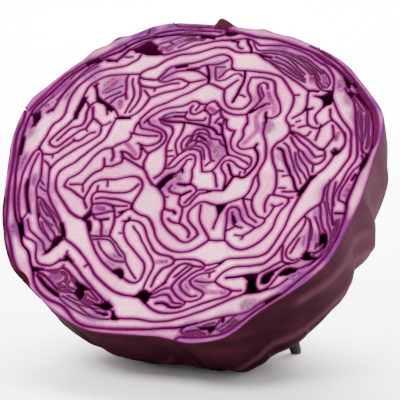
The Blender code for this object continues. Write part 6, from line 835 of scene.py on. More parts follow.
# %% Curves, distances and outlines
def catmull_rom(points, closed=False, step=ROUTE_STEP):
    """A smooth curve through given points."""
    p = np.array(points, float)
    if closed:
        p = np.vstack([p[-1], p, p[0], p[1]])
    else:
        p = np.vstack([2 * p[0] - p[1], p, 2 * p[-1] - p[-2]])
    curve = []
    for a, b, c, d in zip(p[:-3], p[1:-2], p[2:-1], p[3:]):
        count = max(1, int(np.hypot(*(c - b)) / step))
        t = (np.arange(count) / count)[:, None]
        curve.append(0.5 * (2 * b + (c - a) * t + (2 * a - 5 * b + 4 * c - d) * t ** 2
                            + (3 * b - a - 3 * c + d) * t ** 3))
    if not closed:
        curve.append(p[-2:-1])
    return np.vstack(curve)


def rim_table():
    """The rim's distance from the head's axis at every degree."""
    curve = catmull_rom(RIM, closed=True) - (AXIS_X, AXIS_Y)
    angle = np.arctan2(curve[:, 1], curve[:, 0])
    order = np.argsort(angle)
    turns = np.radians(np.arange(-180, 181))
    return turns, np.interp(turns, angle[order], np.hypot(*curve[order].T), period=2 * math.pi)


RIM_TURNS, RIM_RADII = rim_table()


def rim_radius(turn):
    return np.interp(turn, RIM_TURNS, RIM_RADII)


def all_lines():
    return OUTER_LINES + HOLLOWS + MIDDLE_LINES + LEFT_LINES + UPPER_LINES + RIGHT_LINES + LOWER_LINES


def line_field(lines, xs, ys, far):
    """For each grid point, how far it is from the nearest line's edge, negative inside a line."""
    field = np.full((len(ys), len(xs)), far)
    for half_width, points in lines:
        curve = catmull_rom(points)
        reach = half_width + far
        for a, b in zip(curve[:-1], curve[1:]):
            low, high = np.minimum(a, b) - reach, np.maximum(a, b) + reach
            i0, i1 = np.searchsorted(xs, (low[0], high[0]))
            j0, j1 = np.searchsorted(ys, (low[1], high[1]))
            x, y = np.meshgrid(xs[i0:i1], ys[j0:j1])
            step = b - a
            along = ((x - a[0]) * step[0] + (y - a[1]) * step[1]) / max(SHORTEST_STEP, step @ step)
            along = np.clip(along, 0, 1)
            near = np.hypot(x - a[0] - along * step[0], y - a[1] - along * step[1]) - half_width
            field[j0:j1, i0:i1] = np.minimum(field[j0:j1, i0:i1], near)
    return field


def shape_field(shapes, xs, ys, far):
    """For each grid point, how far it is outside the nearest closed shape, negative inside."""
    field = np.full((len(ys), len(xs)), far)
    for shape in shapes:
        own = line_field([(0.0, shape + shape[:1])], xs, ys, far)
        edge = catmull_rom(shape + shape[:1])
        crossed = np.zeros(field.shape, bool)
        for a, b in zip(edge[:-1], edge[1:]):
            rows = np.nonzero((ys >= min(a[1], b[1])) & (ys < max(a[1], b[1])))[0]
            for j in rows:
                crossed[j] ^= xs < a[0] + (ys[j] - a[1]) / (b[1] - a[1]) * (b[0] - a[0])
        field = np.minimum(field, np.where(crossed, -own, own))
    return field


def contour_loops(field, xs, ys):
    """Closed loops where the field crosses zero, with the positive side on their left."""
    def crossing(j, i, j2, i2):
        a, b = field[j, i], field[j2, i2]
        t = a / (a - b)
        return (xs[i] + t * (xs[i2] - xs[i]), ys[j] + t * (ys[j2] - ys[j]))

    following, places = {}, {}
    inside = field > 0
    mixed = inside[:-1, :-1].astype(int) + inside[:-1, 1:] + inside[1:, :-1] + inside[1:, 1:]
    for j, i in zip(*np.nonzero((mixed > 0) & (mixed < 4))):
        corners = [(j, i), (j, i + 1), (j + 1, i + 1), (j + 1, i)]
        ins, outs = [], []
        for k in range(4):
            a, b = corners[k], corners[(k + 1) % 4]
            if inside[a] != inside[b]:
                key = (min(a, b), max(a, b))
                places[key] = crossing(*a, *b)
                (outs if inside[a] else ins).append((k, key))
        for k, key in outs:
            start = min(ins, key=lambda entry: (k - entry[0]) % 4)
            following[key] = start[1]
    loops = []
    while following:
        key, after = following.popitem()
        loop = [key]
        while after != key:
            loop.append(after)
            after = following.pop(after)
        loops.append(np.array([places[k] for k in loop]))
    return loops


def area_of(loop):
    x, y = loop.T
    return 0.5 * np.sum(x * np.roll(y, -1) - np.roll(x, -1) * y)


print("rim from", RIM_RADII.min().round(1), "to", RIM_RADII.max().round(1), "mm off the axis")


# %% [markdown]
# The half lies on its rounded side, so its cut leans back and is turned a little. Depth is
# measured from the cut into the head, and the outside rounds in with depth like a ball that
# has been pressed flat. Ribs and folds lift it, and a few leaf tips stand above the rim.

# %% Where a place on the cut plane is in space, and how the outside runs
def face_frame():
    normal = np.array([-math.sin(FACE_LEAN) * math.sin(FACE_HEADING),
                       -math.sin(FACE_LEAN) * math.cos(FACE_HEADING), math.cos(FACE_LEAN)])
    across = np.cross((0, 0, 1), normal)
    across /= np.linalg.norm(across)
    return across, np.cross(normal, across), normal


ACROSS, UPWARD, NORMAL = face_frame()


def in_space(x, y, depth):
    point = FACE_MIDDLE + np.outer(x, ACROSS) + np.outer(y, UPWARD) - np.outer(depth, NORMAL)
    point[:, 2] = np.maximum(point[:, 2], 0)
    return point * MM


def side_share(angle):
    return math.cos(math.radians(angle)) ** (2 / PROFILE_POWER)


def side_depth(angle):
    return HEAD_DEPTH * math.sin(math.radians(angle)) ** (2 / PROFILE_POWER)


def bump(turn, centre, half_width):
    off = (np.degrees(turn) - centre + 180) % 360 - 180
    return np.clip(1 - (off / half_width) ** 2, 0, 1) ** 2


def tip_height(turn, share):
    height = sum(bump(turn, at, width) * tall for at, width, tall in RIM_TIPS)
    return height * np.clip((share - TIP_FROM) / TIP_FADE, 0, 1)


def rib_height(turn, share, angle):
    height = sum(bump(turn, at, width) * tall for at, width, tall in OUTER_RIBS + OUTER_FOLDS)
    swell = math.sin(math.radians(RIB_SWELL * angle))
    return height * swell * np.clip((share - RIB_FROM) / RIB_FADE, 0, 1)


print("the cut looks towards", NORMAL.round(3))


# %% [markdown]
# All leaves are measured at once on one fine grid over the cut. The deep routes part one leaf
# from the next. The fine ones are only creases, where a leaf is folded onto itself.

# %% Measure how far each place on the cut is from a skin
xs = np.arange(GRID_LEFT, GRID_RIGHT, GRID)
ys = np.arange(GRID_LOW, GRID_HIGH, GRID)
grid_x, grid_y = np.meshgrid(xs, ys)
turn_of = np.arctan2(grid_y - AXIS_Y, grid_x - AXIS_X)
to_rim = rim_radius(turn_of) - np.hypot(grid_x - AXIS_X, grid_y - AXIS_Y)
deep_routes = [(min(width, DARK), points) for width, points in all_lines() if width >= SKIN]
fine_routes = [route for route in all_lines() + FOLDED_LINES if route[0] < SKIN]
skin_field = line_field(deep_routes, xs, ys, FLESH_REACH)
skin_field = np.minimum(skin_field, shape_field(HOLLOW_SHAPES, xs, ys, FLESH_REACH))
crease_field = line_field(fine_routes, xs, ys, FINE_REACH)
flesh_field = np.minimum(skin_field, to_rim)
leaf_loops = [loop for loop in contour_loops(flesh_field, xs, ys) if area_of(loop) > SMALLEST_LEAF]
print("routes", len(deep_routes), "creases", len(fine_routes), "leaves", len(leaf_loops))


# %% [markdown]
# Every leaf of the look takes the place of a solid. A leaf belongs to the solid whose cut top
# lies inside its outline, so each top triangle of a solid is looked for in the outlines.

# %% Find which solids each leaf stands for
def inside_loop(loop, points):
    found = np.zeros(len(points), bool)
    for a, b in zip(loop, np.roll(loop, -1, axis=0)):
        between = (points[:, 1] >= min(a[1], b[1])) & (points[:, 1] < max(a[1], b[1]))
        slope = (b[0] - a[0]) / (b[1] - a[1]) if b[1] != a[1] else 0.0
        found ^= between & (points[:, 0] < a[0] + (points[:, 1] - a[1]) * slope)
    return found


def cut_top(node):
    """Where the triangles of a solid's cut top are on the cut plane, and how big each is."""
    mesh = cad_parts[node].data
    top = [f for f in mesh.polygons if np.array(f.normal) @ NORMAL > FACES_THE_CUT]
    places = np.array([f.center for f in top]) / MM - FACE_MIDDLE
    return np.stack([places @ ACROSS, places @ UPWARD], 1), np.array([f.area for f in top])


def nearest_solid(loop):
    names = [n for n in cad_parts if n.startswith("heart_leaf")]
    return min(names, key=lambda n: np.hypot(*(cut_top(n)[0] - loop.mean(axis=0)).T).min())


leaves = {}
for node in sorted(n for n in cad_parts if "leaf" in n):
    places, areas = cut_top(node)
    shares = [areas[inside_loop(loop, places)].sum() / areas.sum() for loop in leaf_loops]
    best = int(np.argmax(shares))
    leaves.setdefault(best, []).append((areas.sum(), node))
    if shares[best] < 0.5:
        print(node, "is covered by", round(float(shares[best]), 2), "only")
print("leaves with solids", len(leaves), "of", len(leaf_loops), "solids", sum(map(len, leaves.values())))


# %% [markdown]
# Flesh is palest where the leaf is thick, at its ribs, and stained near its skins. Where many
# skins lie close together the stain runs from one into the next. Each such place is a soft
# spot on the cut: where it is, and how far it reaches.

# %% Where the thick pale ribs and the deeply stained bundles are
RIBS = [(-68, 15, 9), (-62, -37, 8), (-36, 19, 8), (-4, 40, 7), (-33, 48, 10), (7, 54, 9), (28, 26, 9),
        (11, 26, 5), (-17, 5, 7), (5, 0, 7), (20, -4, 8), (-15, -13, 9), (20, -32, 12), (-39, -29, 9),
        (53, 35, 8), (53, 10, 8), (49, -5, 8), (-8, -58, 12), (35, -53, 12), (-42, -37, 8), (66, -3, 5),
        (-52, 58, 9), (28, 12, 8), (-30, -58, 8), (-66, -40, 7), (14, -57, 8), (-60, 20, 6)]
STAINED = [(19, 59, 7), (26, 56, 7), (32, 54, 8), (38, 50, 7), (50, 47, 6), (55, 41, 7), (60, 34, 8),
           (63, 26, 7), (56, -2, 7), (62, -16, 8), (61, -26, 7), (54, -23, 6), (55, -11, 5),
           (-55, -19, 7), (-51, -27, 7), (-50, -35, 6), (-66, -16, 7), (-39, -50, 8), (-30, -55, 8),
           (-21, -60, 8), (-38, 63, 7), (-26, 63, 8), (-16, 68, 7), (-24, 69, 7), (-47, 55, 6),
           (-56, 45, 7), (-64, 35, 7), (-71, 28, 8), (-75, 15, 7), (-73, 1, 7), (-70, -15, 6),
           (-63, -29, 6), (0, 18, 9), (8, 13, 6), (-8, -3, 8), (-44, 39, 8), (-41, 33, 6), (19, -65, 7),
           (32, -61, 8), (38, -53, 6), (52, -46, 6), (54, -37, 7), (22, -15, 6), (-32, -17, 6),
           (39, 59, 6), (50, 53, 6), (63, 38, 6), (68, 27, 5), (-63, -7, 5), (-57, -11, 5), (34, 13, 5),
           (40, 9, 5), (43, 12, 5), (-17, 25, 5), (-24, 22, 5), (-23, 47, 5), (-4, 50, 6), (18, 38, 5),
           (24, 25, 5), (-29, -29, 5), (-20, -40, 6), (10, -49, 6), (5, -54, 5), (17, -46, 5)]


def blobs(spots, x, y):
    found = np.zeros(len(x))
    for at_x, at_y, reach in spots:
        squared = (x - at_x) ** 2 + (y - at_y) ** 2
        found = np.maximum(found, np.exp(-squared / (SPOT_SOFTNESS * reach ** 2)))
    return found


print("pale ribs", len(RIBS), "stained spots", len(STAINED))


# %% [markdown]
# The measured fields are read between their grid points, so that colours and edges run
# smoothly. A leaf's top is filled with the grid's own points, which keeps its triangles even.

# %% Read the fields, and fill a leaf's outline
def read_field(field, x, y):
    """A measured field at any place, blended from the four grid points around it."""
    i = np.clip((x - xs[0]) / GRID, 0, len(xs) - 1.001)
    j = np.clip((y - ys[0]) / GRID, 0, len(ys) - 1.001)
    i0, j0 = i.astype(int), j.astype(int)
    s, t = i - i0, j - j0
    low = field[j0, i0] * (1 - s) + field[j0, i0 + 1] * s
    high = field[j0 + 1, i0] * (1 - s) + field[j0 + 1, i0 + 1] * s
    return low * (1 - t) + high * t


def inside_points(loop):
    """Grid points well inside a loop, found row by row."""
    found = []
    a, b = loop, np.roll(loop, -1, axis=0)
    for j in range(max(0, int((loop[:, 1].min() - ys[0]) / GRID)), len(ys)):
        y = ys[j] + ROW_OFFSET
        if y > loop[:, 1].max():
            break
        hit = (a[:, 1] > y) != (b[:, 1] > y)
        if not hit.any():
            continue
        cross = np.sort(a[hit, 0] + (y - a[hit, 1]) / (b[hit, 1] - a[hit, 1]) * (b[hit, 0] - a[hit, 0]))
        row = xs[(np.searchsorted(cross, xs) % 2) == 1]
        column = np.searchsorted(xs, row)
        keep = flesh_field[j, column] > INNER_SPACE
        found.append(np.stack([row[keep], np.full(keep.sum(), ys[j])], 1))
    return np.vstack(found)


def spaced(loop, shortest):
    """A loop without the points that crowd their neighbour."""
    kept = [loop[0]]
    for point in loop[1:]:
        if np.hypot(*(point - kept[-1])) >= shortest:
            kept.append(point)
    if np.hypot(*(kept[-1] - kept[0])) < shortest:
        kept.pop()
    return np.array(kept)


def fill(points, count):
    """Triangles inside the loop of the first points, through all of them."""
    edges = [(k, (k + 1) % count) for k in range(count)]
    result = delaunay_2d_cdt([tuple(p) for p in points], edges, [], 1, SAME_POINT)
    source = [from_points[0] if from_points else -1 for from_points in result[3]]
    return [[source[k] for k in face] for face in result[2]], len(result[0]) == len(points)


print("grid", len(xs), "by", len(ys), "places, deepest flesh", flesh_field.max().round(2), "mm")


# %% [markdown]
# The outside of the head isn't a smooth ball. Leaves wrap over one another, so their margins
# leave low steps, folds run round the head as long ridges, and the waxy skin between them is
# gently dented. All of it stays within the solid.

# %% The long ridges and margins on the outside, by turn and angle in degrees
RIDGES = [((-42, -33, -27, -18, -10, -3), (5, 6, 7, 8, 9, 13), 2.6, 0.9),
          ((-68, -59, -49, -39, -32, -24, -16, -8, 0), (26, 20, 18, 22, 22, 22, 21, 22, 26), 2.8, 1.0),
          ((-75, -60, -44, -35, -27, -18), (34, 30, 30, 33, 31, 30), 3.0, 0.9),
          ((-106, -94, -84, -78), (34, 28, 20, 10), 3.0, 0.7),
          ((-128, -118, -108, -98), (8, 14, 16, 22), 3.0, 0.6),
          ((4, 12, 20), (40, 22, 6), 3.5, 0.6)]
MARGINS = [(-2.0, 14.0, -1.3), (-75.5, 12.0, -1.3), (-112.0, 20.0, -0.8), (52.0, 25.0, -0.9),
           (128.0, 25.0, -0.9), (-160.0, 25.0, -0.9)]
RIDGE_END = 5.0
MARGIN_SLANT = 0.08
MARGIN_STEP = 0.5
RELIEF_FROM = 0.93
RELIEF_FADE = 0.04
RELIEF_ANGLE = 8.0
DENT_DEPTH = 0.7
FOLD_DEPTH = 0.5
DENT_ROUND, DENT_DOWN = 2.2, 24.0
FOLD_ROUND, FOLD_DOWN, FOLD_SHIFT = 3.5, 7.0, 7
RELIEF_SINK = 0.9
BACK_SINK = 0.7


def ridges(turn, angle):
    """Long low ridges and a leaf's margin, each an angle down the side for each turn."""
    height = np.zeros(len(turn))
    for turns, angles, wide, tall in RIDGES:
        at = np.interp(turn, turns, angles)
        start = np.clip((turn - turns[0]) / RIDGE_END, 0, 1)
        end = np.clip((turns[-1] - turn) / RIDGE_END, 0, 1)
        height += tall * np.exp(-((angle - at) / wide) ** 2) * (start * end)
    for at, wide, tall in MARGINS:
        off = turn - at - MARGIN_SLANT * angle
        height += tall * np.clip(off / MARGIN_STEP, 0, 1) * np.clip(1 - off / wide, 0, 1) * (off > 0)
    return height


def outside_relief(turn, share, angle):
    """Low folds and dents over the outside of the head, all inwards from the solid."""
    relief = np.zeros(len(turn))
    for k in np.nonzero(share > RELIEF_FROM)[0]:
        round_x, round_y = math.cos(turn[k]), math.sin(turn[k])
        dent = noise.noise(Vector((DENT_ROUND * round_x, DENT_ROUND * round_y, angle / DENT_DOWN)))
        fold = noise.noise(Vector((FOLD_ROUND * round_x + FOLD_SHIFT, FOLD_ROUND * round_y,
                                   angle / FOLD_DOWN)))
        relief[k] = DENT_DEPTH * dent + FOLD_DEPTH * fold - RELIEF_SINK - BACK_SINK * max(0.0, round_y)
    relief += ridges(np.degrees(turn), angle)
    fade = np.clip(angle / RELIEF_ANGLE, 0, 1) * np.clip((share - RELIEF_FROM) / RELIEF_FADE, 0, 1)
    return relief * fade


print("long ridges", len(RIDGES), "leaf margins", len(MARGINS))


# %% [markdown]
# A leaf is one closed form: its cut top with many points, its side walls going down the head,
# and a bottom that nobody sees. It can't be drawn out of a primitive, because its outline is
# the folded blade itself, so its mesh is written point by point. The soft skin swells a little
# just under the knife's cut, so the walls bulge there and the top's edge is rounded.

# %% Shape one leaf
CROWDED = 0.22
SHOULDERS = (0.22, 0.5)
OUTER_LEVELS = [0.0, 1.0, 2.0, 3.2] + [5.0 + 1.6 * k for k in range(37)] + [OUTER_ANGLE]
HEART_LEVELS = [0.0, 0.8, 3.0, 10.0, HEART_ANGLE]
TIP_REACH = 3.0
SLOPE_STEP = 0.3
LEAST_SLOPE = 0.2
EDGE_ROUND, EDGE_DROP = 0.55, 0.16
CREASE_OPEN, CREASE_ROUND, CREASE_DROP = 0.28, 0.5, 0.45
UNEVEN, UNEVEN_SCALE, UNEVEN_LAYER = 0.07, 0.35, 4.0
MIDDLE_DROP = 0.1
AT_SKIN, SKIN_BLEND = 0.45, 0.3
NEAR_RIM, RIM_BLEND, RIM_BULGE = 0.93, 0.03, 0.7


def by_turn(places):
    """Each place's turn round the head's axis, and its share of the way to the rim."""
    x, y = (places - (AXIS_X, AXIS_Y)).T
    turn = np.arctan2(y, x)
    return turn, np.hypot(x, y) / rim_radius(turn)


def cut_surface(flat, skin, crease):
    """How far each place of the cut lies under its plane, with rounded edges and open creases."""
    wavy = np.array([noise.noise(Vector((x * UNEVEN_SCALE, y * UNEVEN_SCALE, UNEVEN_LAYER)))
                     for x, y in flat])
    edge = EDGE_DROP * np.clip(1 - skin / EDGE_ROUND, 0, 1) ** 2
    sink = edge + CREASE_DROP * np.clip(1 - (crease + CREASE_OPEN) / CREASE_ROUND, 0, 1)
    return sink - UNEVEN * wavy - MIDDLE_DROP * np.clip((skin - 1.0) / 2, 0, 1)


def pushed_out(loop, amount):
    """A loop moved towards the skin it runs along, by the slope of the measured field."""
    x, y = loop.T
    slope_x = read_field(flesh_field, x + SLOPE_STEP, y) - read_field(flesh_field, x - SLOPE_STEP, y)
    slope_y = read_field(flesh_field, x, y + SLOPE_STEP) - read_field(flesh_field, x, y - SLOPE_STEP)
    length = np.maximum(np.hypot(slope_x, slope_y), LEAST_SLOPE)
    return loop - np.stack([slope_x, slope_y], 1) / length[:, None] * amount


def level_scale(angle, outer):
    """Width share and depth of a level. Heart leaves run straight to their last level."""
    if outer:
        return side_share(angle), side_depth(angle)
    part = angle / HEART_ANGLE
    return 1 + (side_share(HEART_ANGLE) - 1) * part, side_depth(HEART_ANGLE) * part


def swollen(loop, share):
    """The leaf's outline as it bulges just under the cut, and as it runs on below that."""
    to_skin = read_field(skin_field, loop[:, 0], loop[:, 1])
    at_skin = np.clip((AT_SKIN - to_skin) / SKIN_BLEND, 0, 1)[:, None]
    near_rim = np.clip((share - NEAR_RIM) / RIM_BLEND, 0, 1)[:, None]
    bulge = loop + (pushed_out(loop, SKIN_BULGE) - loop) * at_skin * (1 + RIM_BULGE * near_rim)
    return bulge, loop + (bulge - loop) * near_rim


def wall_rings(loop, turn, share, outer):
    """The rings of points down a leaf's wall, and how deep each ring is."""
    bulge, kept = swollen(loop, share)
    x, y = (kept - (AXIS_X, AXIS_Y)).T
    tip = tip_height(turn, share) if outer else np.zeros(len(loop))
    rings = [in_space(bulge[:, 0], bulge[:, 1], depth - tip) for depth in SHOULDERS]
    depths = list(SHOULDERS)
    for angle in (OUTER_LEVELS if outer else HEART_LEVELS)[1:]:
        scale, depth = level_scale(angle, outer)
        wide = scale
        if outer:
            lift = rib_height(turn, share, angle) + outside_relief(turn, share, angle)
            wide = scale * (1 + lift / rim_radius(turn))
        down = depth - tip * max(0.0, 1 - angle / TIP_REACH)
        rings.append(in_space(AXIS_X + x * wide, AXIS_Y + y * wide, down))
        depths.append(depth)
    return rings, depths


def walls_and_bottom(loop, first, rings):
    """The faces between the top's edge and each ring under it, and the bottom."""
    count = len(loop)
    starts = [0] + [first + k * count for k in range(rings)]
    faces = []
    for upper, lower in zip(starts[:-1], starts[1:]):
        for k in range(count):
            after = (k + 1) % count
            faces.append([upper + k, lower + k, lower + after, upper + after])
    bottom, _ = fill(loop, count)
    faces.extend([starts[-1] + k for k in reversed(face)] for face in bottom)
    return faces


print("rings of an outer leaf", len(OUTER_LEVELS) + 1, "and of a heart leaf", len(HEART_LEVELS) + 1)


# %% [markdown]
# The paint needs to know where it is on the leaf. So every point keeps a few numbers: how far
# it is from a skin, from a crease and from the rim, how deep it lies, its turn round the head,
# and how much it belongs to the outside, to a rib, to a stained spot or to a torn dark edge.

# %% Write one leaf with its numbers
BAND_START, BAND_END = -171.0, -134.0
BAND_WIDTH = 1.1
TORN_AT, TORN_SPREAD, TORN_WIDTH = -134.0, 5.5, 2.6
TIP_SKIN = 1.2
DARK_SKIN, DARK_DOWN = 2.5, 3.0
WALL_SKIN = -1.0
OUTSIDE_FROM, OUTSIDE_FADE = 0.96, 0.02
SHARP_ANGLE = math.radians(50)
BOX_MARGIN = 2e-5


def dark_edge(turn, share, to_edge, outer):
    """How much each place belongs to the dark torn edge at the left, or to a tip's skin."""
    degrees = np.degrees(turn)
    left = np.clip((degrees - BAND_START) / 6, 0, 1) * np.clip((BAND_END - degrees) / 4, 0, 1)
    torn = bump(turn, TORN_AT, TORN_SPREAD)
    width = BAND_WIDTH * left + TORN_WIDTH * torn
    dark = np.clip((width - to_edge) / 0.35, 0, 1) * (left + torn > 0)
    if outer:
        dark = np.maximum(dark, np.clip(tip_height(turn, share) - TIP_SKIN, 0, 1))
    return dark


def measured(flat, count, outer):
    """What the form and the paint need to know about each place of a leaf's cut."""
    turn, share = by_turn(flat)
    skin = read_field(flesh_field, *flat.T)
    skin[:count] = 0
    edge = read_field(to_rim, *flat.T)
    return {"turn": turn, "share": share, "skin": skin, "crease": read_field(crease_field, *flat.T),
            "edge": edge, "dark": dark_edge(turn, share, edge, outer)}


def put_numbers(mesh, name, *values):
    layer = mesh.attributes.new(name, "FLOAT", "POINT")
    layer.data.foreach_set("value", np.concatenate(values).astype(np.float32))


def number_leaf(mesh, flat, at, count, depths, outer):
    """Writes the numbers for the paint, first those of the cut, then those of each ring."""
    rings = len(depths)
    turn = at["turn"][:count]
    outside = np.clip((at["share"][:count] - OUTSIDE_FROM) / OUTSIDE_FADE, 0, 1)
    levels = OUTER_LEVELS[1:] if outer else []
    # The ridge heights also mask a painted highlight along each ridge of the outside
    ridge_highlights = [ridges(np.degrees(turn), angle) for angle in levels]
    calm = len(flat) + count * (rings - len(ridge_highlights))
    same_down_the_wall = {"flesh": (at["skin"] - DARK_SKIN * at["dark"], WALL_SKIN),
                          "crease": (at["crease"], FINE_REACH), "rim": (at["edge"], 0.0),
                          "rib": (blobs(RIBS, *flat.T), 0.0), "stained": (blobs(STAINED, *flat.T), 0.0)}
    for name, (cut, wall) in same_down_the_wall.items():
        put_numbers(mesh, name, cut, np.full(count * rings, wall))
    put_numbers(mesh, "down", DARK_DOWN * at["dark"], np.repeat(depths, count))
    put_numbers(mesh, "turn", at["turn"], np.tile(turn, rings))
    put_numbers(mesh, "outside", at["dark"], np.tile(outside, rings))
    put_numbers(mesh, "ridge_highlight", np.zeros(calm), *ridge_highlights)


def build_leaf(name, loop, material):
    outer = name.startswith("outer")
    loop = spaced(loop, CROWDED)
    count = len(loop)
    flat = np.vstack([loop, inside_points(loop)])
    faces, whole = fill(flat, count)
    if not whole:
        print(name, "has points that the fill moved")
    at = measured(flat, count, outer)
    sink = cut_surface(flat, at["skin"], at["crease"])
    if outer:
        sink = sink - tip_height(at["turn"], at["share"])
    rings, depths = wall_rings(loop, at["turn"][:count], at["share"][:count], outer)
    faces += walls_and_bottom(loop, len(flat), len(rings))
    points = np.vstack([in_space(*flat.T, sink), *rings])
    points = np.clip(points, np.array(solid_low) + BOX_MARGIN, np.array(solid_high) - BOX_MARGIN)
    mesh = bpy.data.meshes.new(name + "_look")
    mesh.from_pydata([tuple(p) for p in points], [], faces)
    built = bpy.data.objects.new(name + "_look", mesh)
    bpy.context.collection.objects.link(built)
    number_leaf(mesh, flat, at, count, depths, outer)
    mesh.materials.append(material)
    for polygon in mesh.polygons:
        polygon.use_smooth = True
    mesh.set_sharp_from_angle(angle=SHARP_ANGLE)
    return built


print("dark edge from turn", BAND_START, "to", BAND_END, "degrees, torn at", TORN_AT)


# %% [markdown]
# Materials are drawn with nodes. A small class stands for one output of a node, so that a
# recipe reads like a sum, and the colours stay easy to change.

# %% A socket that can be added, multiplied and mixed
class Wire:
    def __init__(self, tree, socket):
        self.tree = tree
        self.socket = socket

    def node(self, kind, values, settings=None, output=0):
        made = self.tree.nodes.new(kind)
        for key, value in (settings or {}).items():
            setattr(made, key, value)
        for key, value in values.items():
            if isinstance(value, Wire):
                self.tree.links.new(value.socket, made.inputs[key])
            else:
                made.inputs[key].default_value = value
        return Wire(self.tree, made.outputs[output])

    def sum_of(self, operation, a, b):
        return self.node("ShaderNodeMath", {0: a, 1: b}, {"operation": operation})

    def __add__(self, other):
        return self.sum_of("ADD", self, other)

    __radd__ = __add__

    def __sub__(self, other):
        return self.sum_of("SUBTRACT", self, other)

    def __rsub__(self, other):
        return self.sum_of("SUBTRACT", other, self)

    def __mul__(self, other):
        return self.sum_of("MULTIPLY", self, other)

    __rmul__ = __mul__

    def __truediv__(self, other):
        return self.sum_of("DIVIDE", self, other)

    def __rtruediv__(self, other):
        return self.sum_of("DIVIDE", other, self)

    def folded(self, width):
        return self.sum_of("PINGPONG", self, width)

    def between(self, low, high, start=0.0, end=1.0):
        """Goes softly from start to end while this goes from low to high."""
        return self.node("ShaderNodeMapRange", {0: self, 1: low, 2: high, 3: start, 4: end},
                         {"interpolation_type": "SMOOTHSTEP"})

    def mixed(self, first, second):
        """The first colour where this is nothing, the second where it is one."""
        def rgba(value):
            return value if isinstance(value, Wire) else (*value, 1.0)
        return self.node("ShaderNodeMix", {0: self, 6: rgba(first), 7: rgba(second)},
                         {"data_type": "RGBA"}, output=2)


def linear(red, green, blue):
    """A colour as a screen gives it, turned into the numbers that light needs."""
    def one(value):
        value /= 255
        return value / 12.92 if value <= 0.04045 else ((value + 0.055) / 1.055) ** 2.4
    return one(red), one(green), one(blue)


def start_material(name):
    material = bpy.data.materials.new(name)
    material.use_nodes = True
    surface = material.node_tree.nodes["Principled BSDF"]
    here = Wire(material.node_tree, material.node_tree.nodes.new("ShaderNodeTexCoord").outputs["Object"])
    return material, surface, here


def feed(surface, name, wire):
    wire.tree.links.new(wire.socket, surface.inputs[name])


def attribute(here, name):
    return here.node("ShaderNodeAttribute", {}, {"attribute_name": name}, output=2)


def grain(here, scale, detail=3.0, rough=0.5, stretch=(1, 1, 1)):
    place = here.node("ShaderNodeMapping", {"Vector": here, "Scale": stretch})
    return here.node("ShaderNodeTexNoise", {"Vector": place, "Scale": scale, "Detail": detail,
                                            "Roughness": rough})


print("middle grey of a screen as light", np.round(linear(128, 128, 128), 3))


# %% [markdown]
# Leaf stuff is one material with three looks. The cut flesh is wet and pale, rosier towards
# the skins, with a dark stain line on its edge. The walls between leaves are waxy and nearly
# black purple. The outside of the head is maroon with a grey bloom, painted stronger at the right
# as a painted sheen, painted highlights along its ridges, and fine pale veins.
# Each look is a short recipe of its own, and distances in a recipe are in millimetres.

# %% The colours of the leaves
EDGE_ROSE = linear(112, 32, 90)
FLESH = linear(200, 108, 150)
RIB = linear(255, 224, 208)
VIOLET = linear(76, 20, 78)
STAIN = linear(52, 7, 38)
SKIN_EDGE = linear(64, 6, 47)
SKIN_DEEP = linear(74, 2, 42)
MAROON = linear(28, 8, 13)
# Grey waxy bloom, also used as the painted sheen that lightens the right side
BLOOM_AND_SHEEN = linear(54, 27, 37)
VEIN = linear(52, 18, 28)
RIDGE_HIGHLIGHT = linear(82, 50, 60)
# A painted highlight along the ridges of the outside
LIP = linear(64, 7, 40)
PALE_VEIN = linear(128, 84, 100)
TONE_STEP = 0.618
TONE_RANGE = 0.3
MAIN_VEINS, TWIGS = 4.0, 11.0
WAX_ROUGH, FLESH_ROUGH = 0.42, 0.36
print("flesh", np.round(FLESH, 3), "rib", np.round(RIB, 3), "stain", np.round(STAIN, 3))


# %% Paint the cut flesh
def flesh_colour(here, flesh, crease, broad, fine, seed):
    """Pale ribs, rosy edges, violet bundles, and a dark line along each skin and crease."""
    rim, rib, stained = attribute(here, "rim"), attribute(here, "rib"), attribute(here, "stained")
    nearest = flesh.sum_of("MINIMUM", flesh, crease + 0.2)
    wander = nearest + (broad - 0.5) * 0.8 + (fine - 0.5) * 0.3
    thick = wander.between(0.8, 3.0)
    pale = thick * (rib.between(0.1, 0.6) * 0.8 + 0.2)
    stain = wander.between(-0.1, 0.55)
    tone = wander.between(0.1, 1.7) * (1.0 - TONE_RANGE * (seed * TONE_STEP % 1))
    cut = tone.mixed(EDGE_ROSE, FLESH)
    cut = pale.mixed(cut, RIB)
    violet = stained.between(0.1, 0.8) * 0.72 + rim.between(0.5, 10.0, 0.5, 0.0)
    violet = violet * (1.0 - pale * 0.75) * broad.between(0.3, 0.65, 0.6, 1.1)
    cut = violet.mixed(cut, VIOLET)
    nested = wander.folded(0.7).between(0.06, 0.3, 1.0, 0.0) * stained.between(0.45, 0.8) * (1.0 - pale)
    cut = (nested * stain * 0.85).mixed(cut, STAIN)
    cut = stain.mixed(STAIN, cut)
    speck = fine.between(0.6, 0.7) * broad.between(0.45, 0.6) * 0.5
    cut = speck.mixed(cut, VIOLET)
    cells = grain(here, 850.0, 3.0, 0.7)
    cut = (cells.between(0.5, 0.7) * 0.32).mixed(cut, EDGE_ROSE)
    cut = (cells.between(0.5, 0.3) * thick * 0.6).mixed(cut, RIB)
    groove = (crease + (fine - 0.5) * 0.2).between(-0.25, 0.55)
    return groove.mixed(STAIN, cut)


print("tones of flesh from", round(1 - TONE_RANGE, 2), "to 1")


# %% Paint the walls between leaves, and the outside
def wall_colour(down):
    inner = down.between(0.6, 6.0).mixed(SKIN_EDGE, SKIN_DEEP)
    return down.between(5.0, 12.0).mixed(inner, MAROON)


